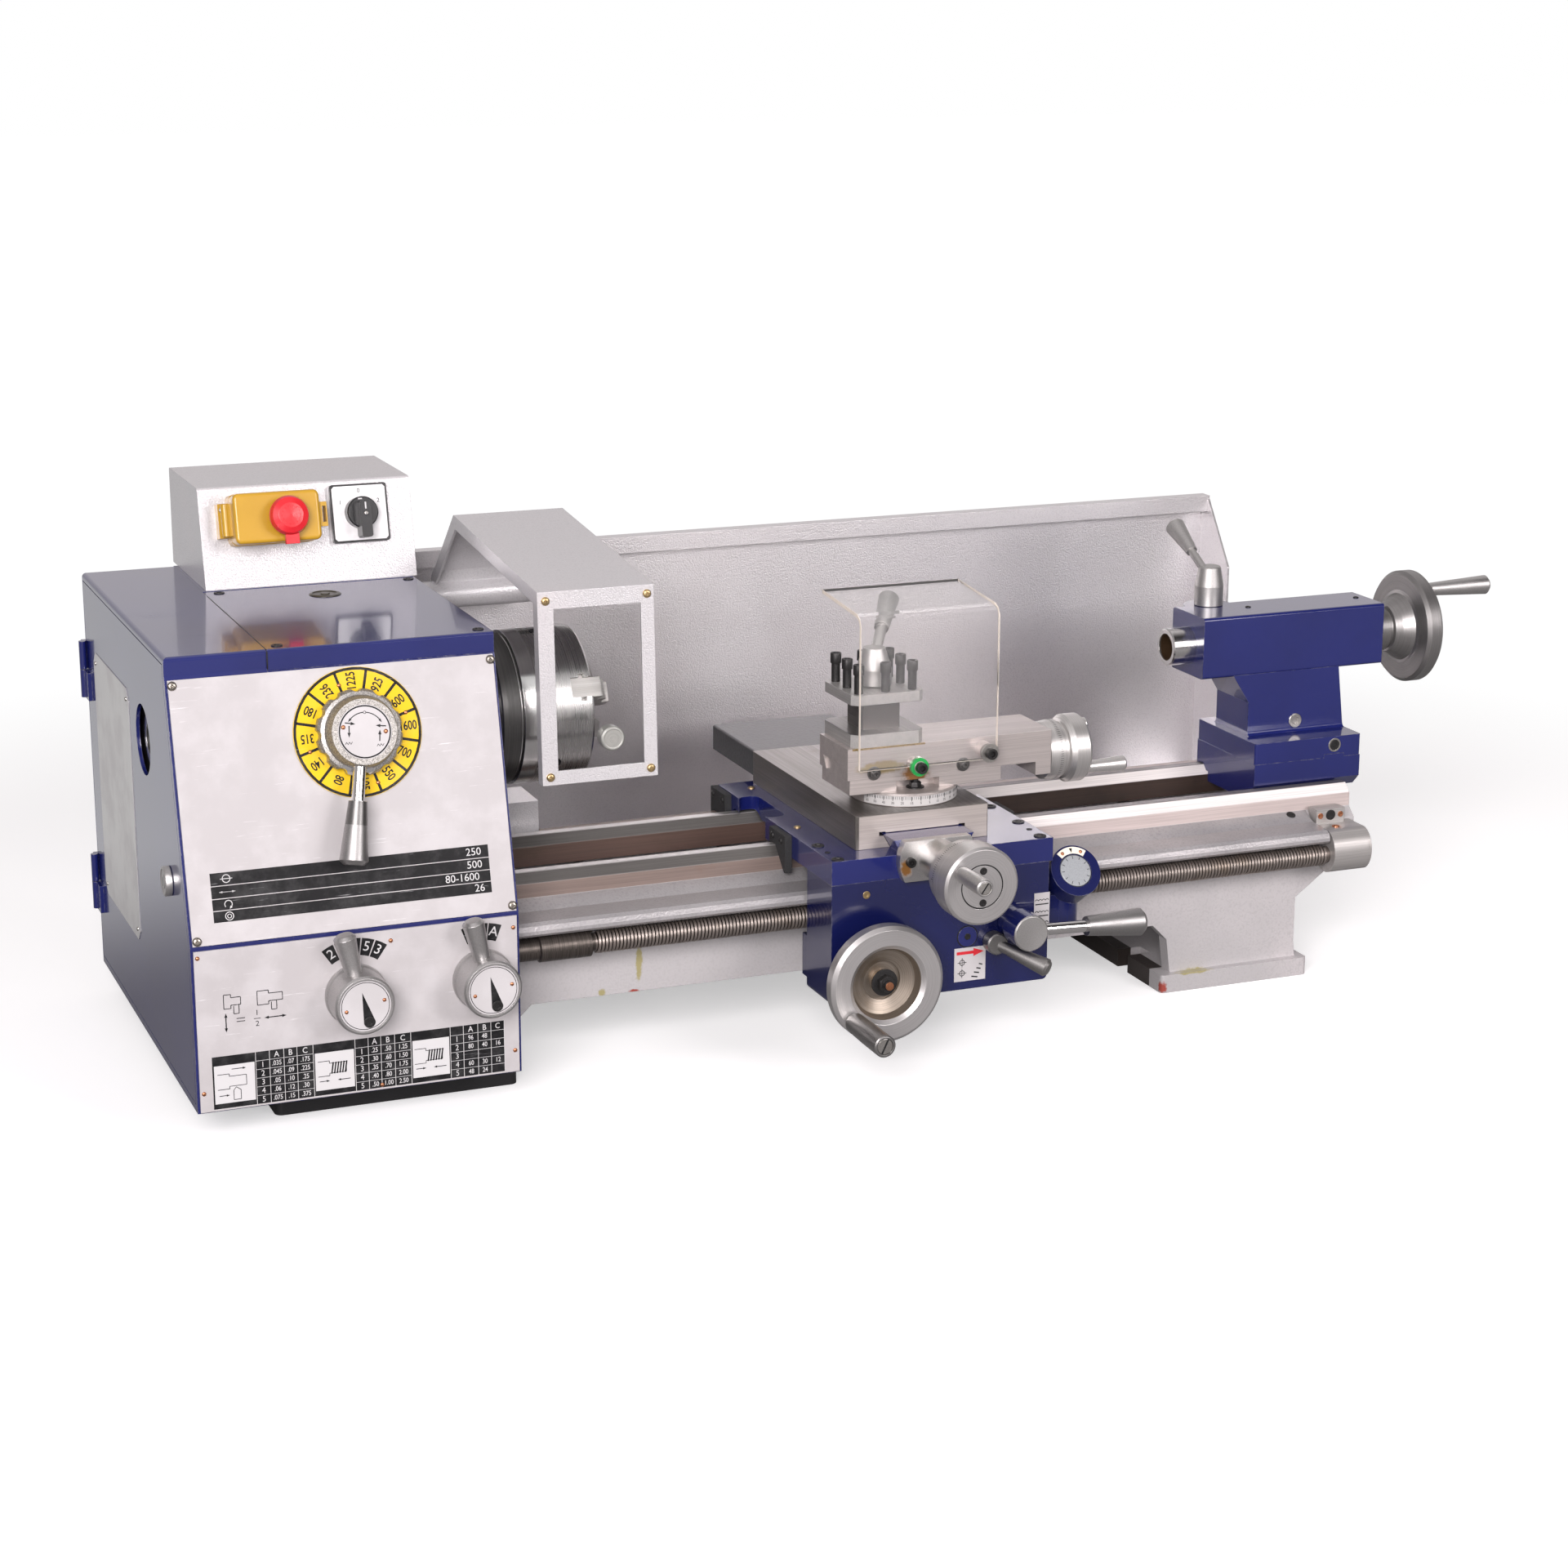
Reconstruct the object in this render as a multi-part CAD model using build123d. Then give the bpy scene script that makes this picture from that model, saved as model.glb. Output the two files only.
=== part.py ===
from build123d import *
import os
from math import acos, cos, hypot, radians, sin

os.makedirs("parts", exist_ok=True)

# All sizes in millimetres. X runs along the bed from the headstock's right face towards the
# tailstock, Y runs from the operator to the back with the spindle at 0, Z is up from the bench.
# Every part is shifted along X on export, so that the origin is the centre of the four bench bolts.

# Bench bolts and feet
BOLT_LEFT_X = -86.0
BOLT_RIGHT_X = 668.0
BOLT_HALF_Y = 45.0
BOLT_HOLE_D = 13.0
FOOT_T = 16.0
ARCH_Z = 60.0
LEG_END = 731.0
HAUNCH_END = 761.0
HAUNCH_Z = 92.0

# Ways and spindle axis
BED_Z = 157.5
AXIS_UP = 127.5
BED_HALF_W = 75.0
BED_END = 787.0
FRONT_WAY_IN = -32.0
REAR_WAY_IN = 25.0
RIDGE_H = 8.0
RIDGE_TOP = 8.5
WALL_OUT = 84.0
WALL_T = 14.0
LEDGE_FRONT = -119.0
LEDGE_SHORT = 45.0

# Headstock, gear case and panels
HEAD_L = 176.5
CASE_L = 77.5
HEAD_OVER = 85.0
LID_T = 16.0
SLOPE_TOP_Y = -98.4
HEAD_FRONT_Y = -147.7
HEAD_BREAK_Z = 159.5
HEAD_FOOT_Z = 29.5
HEAD_REAR_Y = 112.0
CASE_REAR_Y = 248.0
CASE_WALL = 5.5
CASE_ROUND = 3.5
DOOR_T = 3.0
DOOR_GAP = 0.8
PANEL_T = 1.6
DIAL_X = -113.0
DIAL_Z = 304.0
DIAL_R = 49.5
KNOB_X = (-130.5, -30.5)
KNOB_Z = 109.8
KNOB_R = 23.0

# Control box and switches
BOX_X0 = -173.0
BOX_X1 = 4.0
BOX_FRONT_Y = 134.0
BOX_LEAN = 19.0
BOX_H = 81.0
BOX_REAR_Y = 266.0
SWITCH_X = -116.0
ROTARY_X = -41.0

# Spindle, chuck and drive
SPINDLE_BORE_R = 13.0
SPINDLE_R = 24.0
SPINDLE_TAIL_R = 20.0
BEARING_R = 40.0
BEARING_W = 20.0
NOSE_X = 17.0
CHUCK_R = 62.5
CHUCK_L = 76.0
JAW_W = 16.0
JAW_TILT = 24.0
MOTOR_Y = 182.0
MOTOR_DROP = 30.0
MOTOR_R = 52.0
BIG_PULLEY_R = 62.0
SMALL_PULLEY_R = 27.0
SPINDLE_GEAR_R = 31.7
FEED_GEAR_R = 33.7
FEED_GEAR_Y = -100.0
FEED_GEAR_Z = 118.0
STUD_R = 8.0

# Chuck guard and splash guard
GUARD_X0 = 37.5
GUARD_X1 = 133.0
GUARD_T = 2.0
PIVOT_Y = 205.0
PIVOT_DROP = 33.0
PIN_R = 8.0
PIN_SEAT = 24.0
SPLASH_Y = 246.0
SPLASH_OVER = 25.0

# Leadscrew
SCREW_Y = -110.0
SCREW_Z = 115.0
SCREW_R = 9.0
JOURNAL_R = 7.0
BRACKET_L = 43.0

# Carriage
SADDLE_X0 = 251.0
SADDLE_X1 = 446.0
SADDLE_TOP = 179.0
SADDLE_SPLIT = 159.3
APRON_Y = -173.0
APRON_BACK_Y = -122.0
APRON_Z0 = 58.5
WHEEL_X = 287.0
WHEEL_Z = 82.0
WHEEL_R = 48.5
WHEEL_Y = -205.0
WHEEL_HANDLE_L = 62.0
HANDLE_SEAT = 2.0
HALF_NUT_X = 410.0
HALF_NUT_Z = 112.0
FEED_LEVER_X = 393.0
FEED_LEVER_Z = 97.0
THREAD_DIAL_X = 471.0
THREAD_DIAL_R = 13.7
THREAD_DIAL_RIM = 8.3

# Cross slide and compound
CROSS_X0 = 281.0
CROSS_X1 = 398.0
CROSS_Y0 = -150.0
CROSS_Y1 = 75.0
CROSS_TOP = 207.0
DOVE_H = 12.0
DOVE_W = 70.0
DOVE_RELIEF = 2.8
CROSS_SCREW_Z = 174.5
CROSS_WHEEL_R = 31.5
CROSS_WHEEL_Y = -263.0
CROSS_HANDLE_L = 43.0
BRACKET_R = 33.0
BRACKET_HALF_H = 16.8
SWIVEL_X = 346.0
SWIVEL_Y = -97.0
SWIVEL_R = 44.0
SWIVEL_TOP = 218.0
TOP_X0 = 284.0
SWIVEL_BLOCK_L = 134.5
TOP_X1 = 466.0
TOP_HALF_W = 29.0
TOP_SPLIT = 230.0
TOP_Z = 256.0
POST_X = 320.0
POST_Y = -94.0
POST_W = 63.0
POST_H = 43.5
POST_NECK = 32.0
POST_CUT = 5.0
SHIELD_T = 3.0
TOP_SCREW_L = 122.0
TOP_WHEEL_L = 39.0
TOP_GRIPS = ((-1, 38.0, 6.8), (1, 17.5, 6.0))

# Tailstock
TAIL_X0 = 701.0
TAIL_X1 = 807.5
TAIL_FRONT_Y = -56.4
TAIL_REAR_Y = 45.0
TAIL_SPLIT = 186.0
TAIL_BASE_TOP = 204.8
TAIL_KEY_X0 = 771.0
TAIL_KEY_X1 = 791.0
TAIL_KEY_H = 3.0
TAIL_ROUND = 4.0
BARREL_X0 = 661.7
BARREL_X1 = 843.2
BARREL_HALF = 28.2
BARREL_TOP = 29.0
QUILL_R = 16.4
QUILL_OUT = 22.0
QUILL_TAPER_R = 11.9
LOCK_X = 33.0
LOCK_R = 12.7
LOCK_TOP_R = 9.2
LOCK_H = 34.5
LOCK_STUD_R = 5.0
LOCK_STUD_DEEP = 37.0
LOCK_WALL = 3.0
LOCK_BOSS_R = 22.0
LOCK_BOSS_H = 45.0
TAIL_WHEEL_R = 50.0

# Fits and clearances
RUN_FIT = 0.06
SLIDE_FIT = 0.1
FREE = 0.5

# Derived sizes
AXIS_Z = BED_Z + AXIS_UP
HEAD_TOP = AXIS_Z + HEAD_OVER
MOTOR_Z = AXIS_Z - MOTOR_DROP
PIVOT_Z = HEAD_TOP - PIVOT_DROP
LEDGE_END = BED_END - LEDGE_SHORT
BRACKET_X = BED_END - BRACKET_L
SPLASH_END = BED_END + SPLASH_OVER
SHIFT_X = -(BOLT_LEFT_X + BOLT_RIGHT_X) / 2
CASE_X0 = -HEAD_L - CASE_L
LID_Z = HEAD_TOP - LID_T
CROSS_X = (CROSS_X0 + CROSS_X1) / 2
SLOPE_LEN = hypot(SLOPE_TOP_Y - HEAD_FRONT_Y, LID_Z - HEAD_BREAK_Z)
SLOPE_UP = ((SLOPE_TOP_Y - HEAD_FRONT_Y) / SLOPE_LEN, (LID_Z - HEAD_BREAK_Z) / SLOPE_LEN)
SLOPE_OUT = (-SLOPE_UP[1], SLOPE_UP[0])
DIAL_Y = HEAD_FRONT_Y + (DIAL_Z - HEAD_BREAK_Z) * SLOPE_UP[0] / SLOPE_UP[1]
BOX_LEN = hypot(BOX_LEAN, BOX_H)
BOX_OUT = (-BOX_H / BOX_LEN, BOX_LEAN / BOX_LEN)
SWITCH_Z = HEAD_TOP + 0.66 * BOX_H
SWITCH_Y = BOX_FRONT_Y + 0.66 * BOX_LEAN
CHUCK_FACE = NOSE_X + CHUCK_L
TOP_SCREW_Z = TOP_SPLIT + 1.5


def box(x0, x1, y0, y1, z0, z1):
    """A plain block between two corners."""
    mid = Pos((x0 + x1) / 2, (y0 + y1) / 2, (z0 + z1) / 2)
    return mid * Box(x1 - x0, y1 - y0, z1 - z0)


def along_x(points, x0, x1):
    """A profile in Y and Z carried along X."""
    face = Plane.YZ * make_face(Polyline(*points, close=True))
    return Pos(x0, 0, 0) * extrude(face, amount=x1 - x0, dir=(1, 0, 0))


def along_y(points, y0, y1):
    """A profile in X and Z carried along Y."""
    face = Plane.XZ * make_face(Polyline(*points, close=True))
    return Pos(0, y0, 0) * extrude(face, amount=y1 - y0, dir=(0, 1, 0))


def along_z(points, z0, z1):
    """A profile in X and Y carried along Z."""
    face = make_face(Polyline(*points, close=True))
    return Pos(0, 0, z0) * extrude(face, amount=z1 - z0, dir=(0, 0, 1))


def turned(points, origin, direction):
    """A revolved form from radius and height pairs, standing on origin along direction."""
    face = Plane.XZ * make_face(Polyline(*points, close=True))
    body = revolve(face, Axis.Z)
    return Plane(origin=origin, z_dir=direction).location * body


def rod(start, end, radius):
    """A round bar between two points."""
    length = hypot(*[b - a for a, b in zip(start, end)])
    direction = tuple((b - a) / length for a, b in zip(start, end))
    return turned([(0, 0), (radius, 0), (radius, length), (0, length)], start, direction)


def tapered(start, end, r0, r1):
    """A tapered bar with a rounded far end."""
    length = hypot(*[b - a for a, b in zip(start, end)])
    direction = tuple((b - a) / length for a, b in zip(start, end))
    cap = 0.28 * r1
    profile = [(0, 0), (r0, 0), (r1, length - cap), (r1 - cap, length), (0, length)]
    return turned(profile, start, direction)


def rounded(part, axis, radius, pick=None):
    """Round the edges of a part that run along one axis."""
    edges = part.edges().filter_by(axis)
    if pick:
        edges = edges.filter_by(pick)
    return fillet(edges, radius)


def ridge(y0, side=0.0, top=0.0, depth=0.0):
    """Section of a way ridge, grown by clearances on its slopes and its top."""
    shift = side * 2 ** 0.5
    low = BED_Z - depth
    high = BED_Z + RIDGE_H + top
    left = y0 - shift
    right = y0 + 2 * RIDGE_H + RIDGE_TOP + shift
    rise = RIDGE_H + top
    return [(left - depth, low), (left + rise, high), (right - rise, high), (right + depth, low)]


FRONT_RIDGE = -BED_HALF_W
REAR_RIDGE = REAR_WAY_IN


def bed():
    """Casting with two walls, ridged ways, cross ribs, the front ledge and both feet."""
    wall_in = WALL_OUT - WALL_T
    front = [(-WALL_OUT, ARCH_Z), (-WALL_OUT, 138), (-BED_HALF_W, 146), (-BED_HALF_W, BED_Z)]
    front += [(FRONT_WAY_IN, BED_Z), (FRONT_WAY_IN, 141), (-wall_in, 130), (-wall_in, ARCH_Z)]
    rear = [(WALL_OUT, ARCH_Z), (WALL_OUT, 138), (BED_HALF_W, 146), (BED_HALF_W, BED_Z)]
    rear += [(REAR_WAY_IN, BED_Z), (REAR_WAY_IN, 141), (wall_in, 130), (wall_in, ARCH_Z)]
    x0 = -HEAD_L + FREE
    body = along_x(front, x0, BED_END) + along_x(rear, x0, BED_END)
    body += along_x(ridge(FRONT_RIDGE), x0, BED_END) + along_x(ridge(REAR_RIDGE), x0, BED_END)
    ledge = [(-WALL_OUT, 127), (LEDGE_FRONT + 3, 127), (LEDGE_FRONT, 129.5), (LEDGE_FRONT, 132.5)]
    ledge += [(LEDGE_FRONT + 2, 136), (LEDGE_FRONT + 6, 138), (-WALL_OUT - 6, 139.5)]
    ledge += [(-WALL_OUT + 1, 142.5), (-BED_HALF_W, 146), (-WALL_OUT + 6, 130)]
    body += along_x(ledge, 6, LEDGE_END)
    for x in (-168, -60, 120, 250, 380, 510, 640, 774):
        body += box(x - 5, x + 5, -wall_in, wall_in, 78, 128)
    left = [(-HEAD_L + FREE, FOOT_T - 1), (4, FOOT_T - 1), (8, 40), (30, ARCH_Z + 1), (30, 90)]
    left += [(-HEAD_L + FREE, 90)]
    right = [(608, FOOT_T - 1), (LEG_END + 2, FOOT_T - 1), (LEG_END, 30), (LEG_END, 70)]
    right += [(HAUNCH_END, HAUNCH_Z), (HAUNCH_END, 120)]
    right += [(590, 120), (590, ARCH_Z), (604, 46)]
    haunch = [(LEG_END, ARCH_Z - 1), (LEG_END, 70), (HAUNCH_END, HAUNCH_Z), (BED_END + 1, HAUNCH_Z)]
    haunch += [(BED_END + 1, ARCH_Z - 1)]
    body -= along_y(haunch, -WALL_OUT - 1, WALL_OUT + 1)
    for y0, y1 in ((-WALL_OUT, -wall_in), (wall_in, WALL_OUT)):
        body += along_y(left, y0, y1) + along_y(right, y0, y1)
    left_plate = rounded(box(-184, 12, -98, 98, 0, FOOT_T), Axis.Z, 6)
    right_plate = rounded(box(596, 741, -92, 92, 0, FOOT_T), Axis.Z, 4)
    right_plate -= box(590, 618, -30, -12, -1, FOOT_T + 1)
    body += left_plate + right_plate
    for x in (BOLT_LEFT_X, BOLT_RIGHT_X):
        for y in (-BOLT_HALF_Y, BOLT_HALF_Y):
            body -= rod((x, y, -1), (x, y, FOOT_T + 1), BOLT_HOLE_D / 2)
    return body


def front_profile():
    """Front outline shared by the headstock and the gear case, from the top down."""
    return [(SLOPE_TOP_Y, LID_Z), (HEAD_FRONT_Y, HEAD_BREAK_Z), (HEAD_FRONT_Y, HEAD_FOOT_Z)]


def dial_plane(out=0.0):
    """Plane of the sloped upper panel at the speed dial, raised by out."""
    origin = (DIAL_X, DIAL_Y + SLOPE_OUT[0] * out, DIAL_Z + SLOPE_OUT[1] * out)
    return Plane(origin=origin, x_dir=(1, 0, 0), z_dir=(0, *SLOPE_OUT))


def switch_plane(x, out=0.0):
    """Plane of the control box front at a switch, raised by out."""
    origin = (x, SWITCH_Y + BOX_OUT[0] * out, SWITCH_Z + BOX_OUT[1] * out)
    return Plane(origin=origin, x_dir=(1, 0, 0), z_dir=(0, *BOX_OUT))


def headstock():
    """Casting that sits on the ways, carries the spindle and hangs the feed box in front."""
    outline = front_profile()
    outline += [(-95, HEAD_FOOT_Z), (-95, BED_Z), (HEAD_REAR_Y, BED_Z), (HEAD_REAR_Y, HEAD_TOP - 52)]
    outline += [(CASE_REAR_Y, HEAD_TOP - 52), (CASE_REAR_Y, HEAD_TOP), (131, HEAD_TOP), (131, LID_Z)]
    body = along_x(outline, -HEAD_L, 0)
    body += box(0, 80, 52, 100, BED_Z, 189)
    body -= along_x(ridge(FRONT_RIDGE, 1, 1, 1), -HEAD_L - 1, 1)
    body -= along_x(ridge(REAR_RIDGE, 1, 1, 1), -HEAD_L - 1, 90)
    wall = BEARING_W + 12
    room = box(-HEAD_L + wall, -wall, -84, HEAD_REAR_Y - 14, 196, LID_Z + 1)
    body -= rounded(room, Axis.Z, 10)
    body -= rod((-HEAD_L - 1, 0, AXIS_Z), (1, 0, AXIS_Z), BEARING_R)
    body -= rod((-20, SCREW_Y, SCREW_Z), (1, SCREW_Y, SCREW_Z), SCREW_R + RUN_FIT)
    for x in KNOB_X:
        body -= rod((x, HEAD_FRONT_Y - 1, KNOB_Z), (x, -120, KNOB_Z), 6 + RUN_FIT)
    bore = turned([(0, -24), (8 + RUN_FIT, -24), (8 + RUN_FIT, 1), (0, 1)], (0, 0, 0), (0, 0, 1))
    body -= dial_plane().location * bore
    return body - rod((-PIN_SEAT, PIVOT_Y, PIVOT_Z), (1, PIVOT_Y, PIVOT_Z), PIN_R + RUN_FIT)


def headstock_lid():
    """Thick top cover over the spindle box, with a filler hole."""
    lid = box(-HEAD_L + 0.3, 0, SLOPE_TOP_Y + 0.9, 130.5, LID_Z, HEAD_TOP)
    lid = fillet(lid.edges().filter_by(Axis.X).group_by(Axis.Z)[-1], 2.5)
    return lid - rod((-86, 87, HEAD_TOP - 6), (-86, 87, HEAD_TOP + 1), 13)


def case_outline(inset=0.0):
    """Side outline of the gear case, drawn in by a wall thickness."""
    lean = inset * 1.29
    top = HEAD_TOP - inset
    return [
        (SLOPE_TOP_Y + 0.9 + inset, top),
        (SLOPE_TOP_Y + 0.9 + inset, LID_Z + 2 - 0.25 * inset),
        (HEAD_FRONT_Y + inset, HEAD_BREAK_Z - 0.1 * lean),
        (HEAD_FRONT_Y + inset, HEAD_FOOT_Z + inset),
        (CASE_REAR_Y - inset, HEAD_FOOT_Z + inset),
        (CASE_REAR_Y - inset, top),
    ]


HINGE_X = CASE_X0 - 3.4
HINGE_Y = CASE_REAR_Y - CASE_WALL - 0.8
HINGES = ((265, 313), (79, 127))


def idler_place():
    """Centre and radius of the idler gear that joins the spindle gear to the feed gear."""
    drop = FEED_GEAR_Z - AXIS_Z
    span = hypot(FEED_GEAR_Y, drop)
    gap = 0.3
    radius = (span - SPINDLE_GEAR_R - FEED_GEAR_R) / 2 - gap
    share = (SPINDLE_GEAR_R + gap + radius) / span
    return FEED_GEAR_Y * share, AXIS_Z + drop * share, radius


def gear_case():
    """Open cast box at the left end, with studs for the change gears and half of each hinge."""
    case = along_x(case_outline(), CASE_X0, -HEAD_L)
    end = case.faces().sort_by(Axis.X)[0].edges()
    rim = case.edges().filter_by(Axis.X).group_by(Axis.Z)[-1]
    rim += end.filter_by(lambda e: e.center().Y > CASE_REAR_Y - 1 or e.center().Z > HEAD_TOP - 1)
    case = fillet(rim, CASE_ROUND)
    case -= along_x(case_outline(CASE_WALL), CASE_X0 - 1, -HEAD_L - 5)
    case -= rod((-HEAD_L - 9, 0, AXIS_Z), (-HEAD_L + 1, 0, AXIS_Z), 30)
    case -= rod((-HEAD_L - 9, MOTOR_Y, MOTOR_Z), (-HEAD_L + 1, MOTOR_Y, MOTOR_Z), 14)
    idler_y, idler_z, _ = idler_place()
    for y, z in ((idler_y, idler_z), (FEED_GEAR_Y, FEED_GEAR_Z)):
        case += rod((-HEAD_L - 3, y, z), (-HEAD_L - 32, y, z), STUD_R)
        case += rod((-HEAD_L - 3, y, z), (-HEAD_L - 13, y, z), STUD_R + 5)
    for low, high in HINGES:
        mid = (low + high) / 2 + 0.2
        case += rod((HINGE_X, HINGE_Y, mid), (HINGE_X, HINGE_Y, high), 3)
        case += box(HINGE_X, CASE_X0 + 1, HINGE_Y + 0.9, CASE_REAR_Y, mid, high)
    return case


def end_door():
    """Flush door of the gear case with the spindle hole and its half of each hinge."""
    inset = CASE_WALL + DOOR_GAP
    door = along_x(case_outline(inset), CASE_X0, CASE_X0 + DOOR_T)
    door -= rod((CASE_X0 - 1, 0, AXIS_Z), (CASE_X0 + DOOR_T + 1, 0, AXIS_Z), 28)
    for low, high in HINGES:
        mid = (low + high) / 2 - 0.2
        door += rod((HINGE_X, HINGE_Y, low), (HINGE_X, HINGE_Y, mid), 3)
        door += box(HINGE_X, CASE_X0 + 1, HINGE_Y - 18, HINGE_Y - 0.4, low, mid)
    y, z = -84, 195
    door -= rod((CASE_X0 - 1, y, z), (CASE_X0 + DOOR_T + 1, y, z), 4 + RUN_FIT)
    return door


def door_lock():
    """Turning knob with a cam that holds the door shut."""
    y, z = -84, 195
    knob = [(0, 0), (9, 0), (12, 3), (12, 11), (10, 14), (0, 14)]
    lock = turned(knob, (CASE_X0 - 0.4, y, z), (-1, 0, 0))
    lock -= box(CASE_X0 - 16, CASE_X0 - 12, y - 1.2, y + 1.2, z - 13, z + 13)
    lock += rod((CASE_X0 - 1, y, z), (CASE_X0 + DOOR_T + 5, y, z), 4)
    cam = CASE_X0 + DOOR_T + 1
    return lock + box(cam, cam + 3, y - 6, y + 6, z - 22, z + 6)


def sloped_plate(x0, x1, low, high, thick, out=0.0):
    """A plate lying on the sloped front, between two distances along the slope."""
    def at(run, rise):
        return (HEAD_FRONT_Y + SLOPE_UP[0] * run + SLOPE_OUT[0] * rise,
                HEAD_BREAK_Z + SLOPE_UP[1] * run + SLOPE_OUT[1] * rise)
    corners = [at(low, out), at(high, out), at(high, out + thick), at(low, out + thick)]
    return along_x(corners, x0, x1)


def upper_panel():
    """Printed plate on the sloped front, drilled for the speed lever shaft."""
    plate = sloped_plate(CASE_X0 + 2, -2, 1.5, SLOPE_LEN - 1, PANEL_T)
    hole = turned([(0, -5), (11, -5), (11, 9), (0, 9)], (0, 0, 0), (0, 0, 1))
    return plate - dial_plane().location * hole


def lower_panel():
    """Printed plate on the upright front, drilled for the two feed knobs."""
    plate = box(CASE_X0 + 2, -2, HEAD_FRONT_Y - PANEL_T, HEAD_FRONT_Y, HEAD_FOOT_Z + 1, HEAD_BREAK_Z - 2)
    for x in KNOB_X:
        plate -= rod((x, HEAD_FRONT_Y - 9, KNOB_Z), (x, HEAD_FRONT_Y + 9, KNOB_Z), 8)
    return plate


def speed_dial():
    """Flat ring around the speed lever."""
    ring = turned([(26, 0), (DIAL_R, 0), (DIAL_R, 1.2), (26, 1.2)], (0, 0, 0), (0, 0, 1))
    return dial_plane(PANEL_T).location * ring


def speed_lever():
    """Scalloped hub with a long grip that hangs from it."""
    base = PANEL_T + 1.2 + 0.4
    hub = [(0, -22), (8, -22), (8, base), (33, base), (33, 10), (31, 13), (28, 14), (25, 25), (0, 25)]
    lever = turned(hub, (0, 0, 0), (0, 0, 1))
    for i in range(12):
        spot = Rot(0, 0, 30 * i) * Pos(35.5, 0, 0)
        lever -= spot * turned([(0, base - 1), (5, base - 1), (5, 15), (0, 15)], (0, 0, 0), (0, 0, 1))
    lean = radians(-100)
    way = (cos(lean), sin(lean))
    lever += rod((way[0] * 20, way[1] * 20, 17), (way[0] * 56, way[1] * 56, 20), 5)
    lever += tapered((way[0] * 52, way[1] * 52, 20), (way[0] * 100, way[1] * 100, 22), 7, 11)
    return dial_plane().location * lever


def feed_knob(x):
    """Turned knob on a short shaft with a pin grip standing on its rim."""
    y = HEAD_FRONT_Y - PANEL_T - 0.4
    out = [(0, -24), (6, -24), (6, 0), (KNOB_R + 1, 0), (KNOB_R + 1, 4), (KNOB_R, 6), (KNOB_R, 28)]
    out += [(KNOB_R - 1.5, 30), (KNOB_R - 3, 30), (KNOB_R - 3, 29), (0, 29)]
    knob = turned(out, (x, y, KNOB_Z), (0, -1, 0))
    lean = radians(102)
    foot = (x + 19 * cos(lean), y - 15, KNOB_Z + 19 * sin(lean))
    tip = (x + 54 * cos(lean), y - 15, KNOB_Z + 54 * sin(lean))
    return knob + tapered(foot, tip, 6.2, 8.6)


def control_box():
    """Folded sheet box with a leaning front and the raised square of the rotary switch."""
    top = HEAD_TOP + BOX_H
    outline = [(BOX_FRONT_Y, HEAD_TOP), (BOX_FRONT_Y + BOX_LEAN, top), (BOX_REAR_Y, top)]
    outline += [(BOX_REAR_Y, HEAD_TOP)]
    shell = along_x(outline, BOX_X0, BOX_X1)
    shell = fillet(shell.edges().filter_by(Axis.X).group_by(Axis.Z)[-1], 2.5)
    wall = 2.0
    inner = [(BOX_FRONT_Y + wall, HEAD_TOP - 1), (BOX_FRONT_Y + BOX_LEAN + wall, top - wall)]
    inner += [(BOX_REAR_Y - wall, top - wall), (BOX_REAR_Y - wall, HEAD_TOP - 1)]
    shell -= along_x(inner, BOX_X0 + wall, BOX_X1 - wall)
    pad = rounded(Pos(0, 0, 1.7) * Box(48, 48, 6.4), Axis.Z, 2.5)
    shell += switch_plane(ROTARY_X).location * pad
    hole = rod((0, 0, -8), (0, 0, 9), 4 + RUN_FIT)
    return shell - switch_plane(ROTARY_X).location * hole


def switch_base():
    """Yellow switch frame with two button wells and the fixed half of the lid hinge."""
    base = rounded(Pos(0, 0, 7) * Box(70, 42, 14), Axis.Z, 5)
    base += Pos(-39, 0, 6) * Box(10, 28, 12)
    for u in (-14, 8):
        base -= rod((u, 0, 0.6), (u, 0, 15), 7 + RUN_FIT)
    return switch_plane(SWITCH_X).location * base


def push_button(u):
    """Round button in its well."""
    return switch_plane(SWITCH_X).location * rod((u, 0, 4), (u, 0, 17), 7)


def switch_lid():
    """Hollow hinged lid with a latch and the hole for the stop mushroom."""
    lid = Pos(0.5, 0, 22.9) * Box(71, 41, 17)
    lid = fillet(lid.edges().filter_by(Axis.Z), 5)
    lid = fillet(lid.faces().sort_by(Axis.Z)[-1].edges(), 3)
    lid -= Pos(0.5, 0, 21) * Box(66.5, 36.5, 16)
    lid += Pos(39, 0, 21) * Box(7, 20, 11) - Pos(40, 0, 21) * Box(3, 13, 13)
    lid += rod((-39.5, -13, 18), (-39.5, 13, 18), 3.4) + Pos(-36.5, 0, 19) * Box(5, 26, 4)
    lid -= rod((8, 0, 20), (8, 0, 40), 6.6)
    return switch_plane(SWITCH_X).location * lid


def stop_mushroom():
    """Red domed stop cap on a stem through the lid, with its release tab."""
    cap = [(0, 22), (6, 22), (6, 36), (15, 36), (16, 38), (16, 41), (14.5, 45), (10, 47.5), (0, 48.5)]
    body = turned(cap, (8, 0, 0), (0, 0, 1)) + Pos(9, -17, 39) * Box(11, 12, 5)
    return switch_plane(SWITCH_X).location * body


def rotary_knob():
    """Black selector knob with a pointer handle."""
    knob = turned([(0, -6), (4, -6), (4, 5.4), (13, 5.4), (13, 15), (12, 16), (0, 16)],
                  (0, 0, 0), (0, 0, 1))
    knob += rounded(Pos(0, -6, 18) * Box(9, 30, 16), Axis.Z, 2)
    return switch_plane(ROTARY_X).location * knob


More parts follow.
